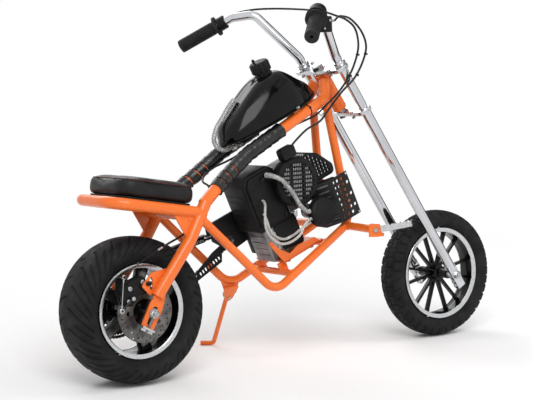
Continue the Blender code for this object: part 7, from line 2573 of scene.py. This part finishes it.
class MINIBIKE_OT_handlebar(bpy.types.Operator):
    """Build the handlebar, its grips and the controls on it"""
    bl_idname = "minibike.handlebar"
    bl_label = "Handlebar"

    def execute(self, context):
        build_handlebar()
        build_controls()
        return {"FINISHED"}


class MINIBIKE_OT_pegs(bpy.types.Operator):
    """Build the footpegs and the side stand"""
    bl_idname = "minibike.pegs"
    bl_label = "Pegs and stand"

    def execute(self, context):
        build_pegs()
        build_stand()
        return {"FINISHED"}


class MINIBIKE_OT_cords(bpy.types.Operator):
    """Build the hoses, the cables and their ties"""
    bl_idname = "minibike.cords"
    bl_label = "Hoses and cables"

    def execute(self, context):
        build_hoses()
        build_cables()
        return {"FINISHED"}


class MINIBIKE_OT_stage(bpy.types.Operator):
    """Set up the floor, the lamps and the camera"""
    bl_idname = "minibike.stage"
    bl_label = "Stage"

    def execute(self, context):
        build_stage(context.scene.minibike_stage)
        return {"FINISHED"}


OPERATORS = (
    MINIBIKE_OT_finishes, MINIBIKE_OT_tyres, MINIBIKE_OT_frame, MINIBIKE_OT_seat, MINIBIKE_OT_tank,
    MINIBIKE_OT_wheels, MINIBIKE_OT_brake, MINIBIKE_OT_chain, MINIBIKE_OT_engine,
    MINIBIKE_OT_intake, MINIBIKE_OT_fork, MINIBIKE_OT_handlebar, MINIBIKE_OT_pegs,
    MINIBIKE_OT_cords, MINIBIKE_OT_stage,
)


class MINIBIKE_PT_panel(bpy.types.Panel):
    """The minibike's settings and the steps that build it"""
    bl_label = "Minibike"
    bl_idname = "MINIBIKE_PT_panel"
    bl_space_type = "VIEW_3D"
    bl_region_type = "UI"
    bl_category = "Minibike"

    def draw(self, context):
        for group in ("minibike_looks", "minibike_wheels", "minibike_stage"):
            settings = getattr(context.scene, group)
            column = self.layout.column()
            for name in settings.__annotations__:
                column.prop(settings, name)
        for operator in OPERATORS:
            self.layout.operator(operator.bl_idname)


GROUPS = (
    ("minibike_looks", MinibikeLooks), ("minibike_wheels", MinibikeWheels),
    ("minibike_stage", MinibikeStage),
)
CLASSES = (*(group for _, group in GROUPS), *OPERATORS, MINIBIKE_PT_panel)


def register():
    for item in CLASSES:
        bpy.utils.register_class(item)
    for name, group in GROUPS:
        setattr(bpy.types.Scene, name, bpy.props.PointerProperty(type=group))


def unregister():
    for name, _ in GROUPS:
        delattr(bpy.types.Scene, name)
    for item in reversed(CLASSES):
        bpy.utils.unregister_class(item)


def main():
    register()
    bpy.ops.minibike.finishes()
    bpy.ops.minibike.tyres()
    bpy.ops.minibike.frame()
    bpy.ops.minibike.seat()
    bpy.ops.minibike.tank()
    bpy.ops.minibike.wheels()
    bpy.ops.minibike.brake()
    bpy.ops.minibike.chain()
    bpy.ops.minibike.engine()
    bpy.ops.minibike.intake()
    bpy.ops.minibike.fork()
    bpy.ops.minibike.handlebar()
    bpy.ops.minibike.pegs()
    bpy.ops.minibike.cords()
    bpy.ops.minibike.stage()
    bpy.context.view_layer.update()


if __name__ == "__main__":
    main()
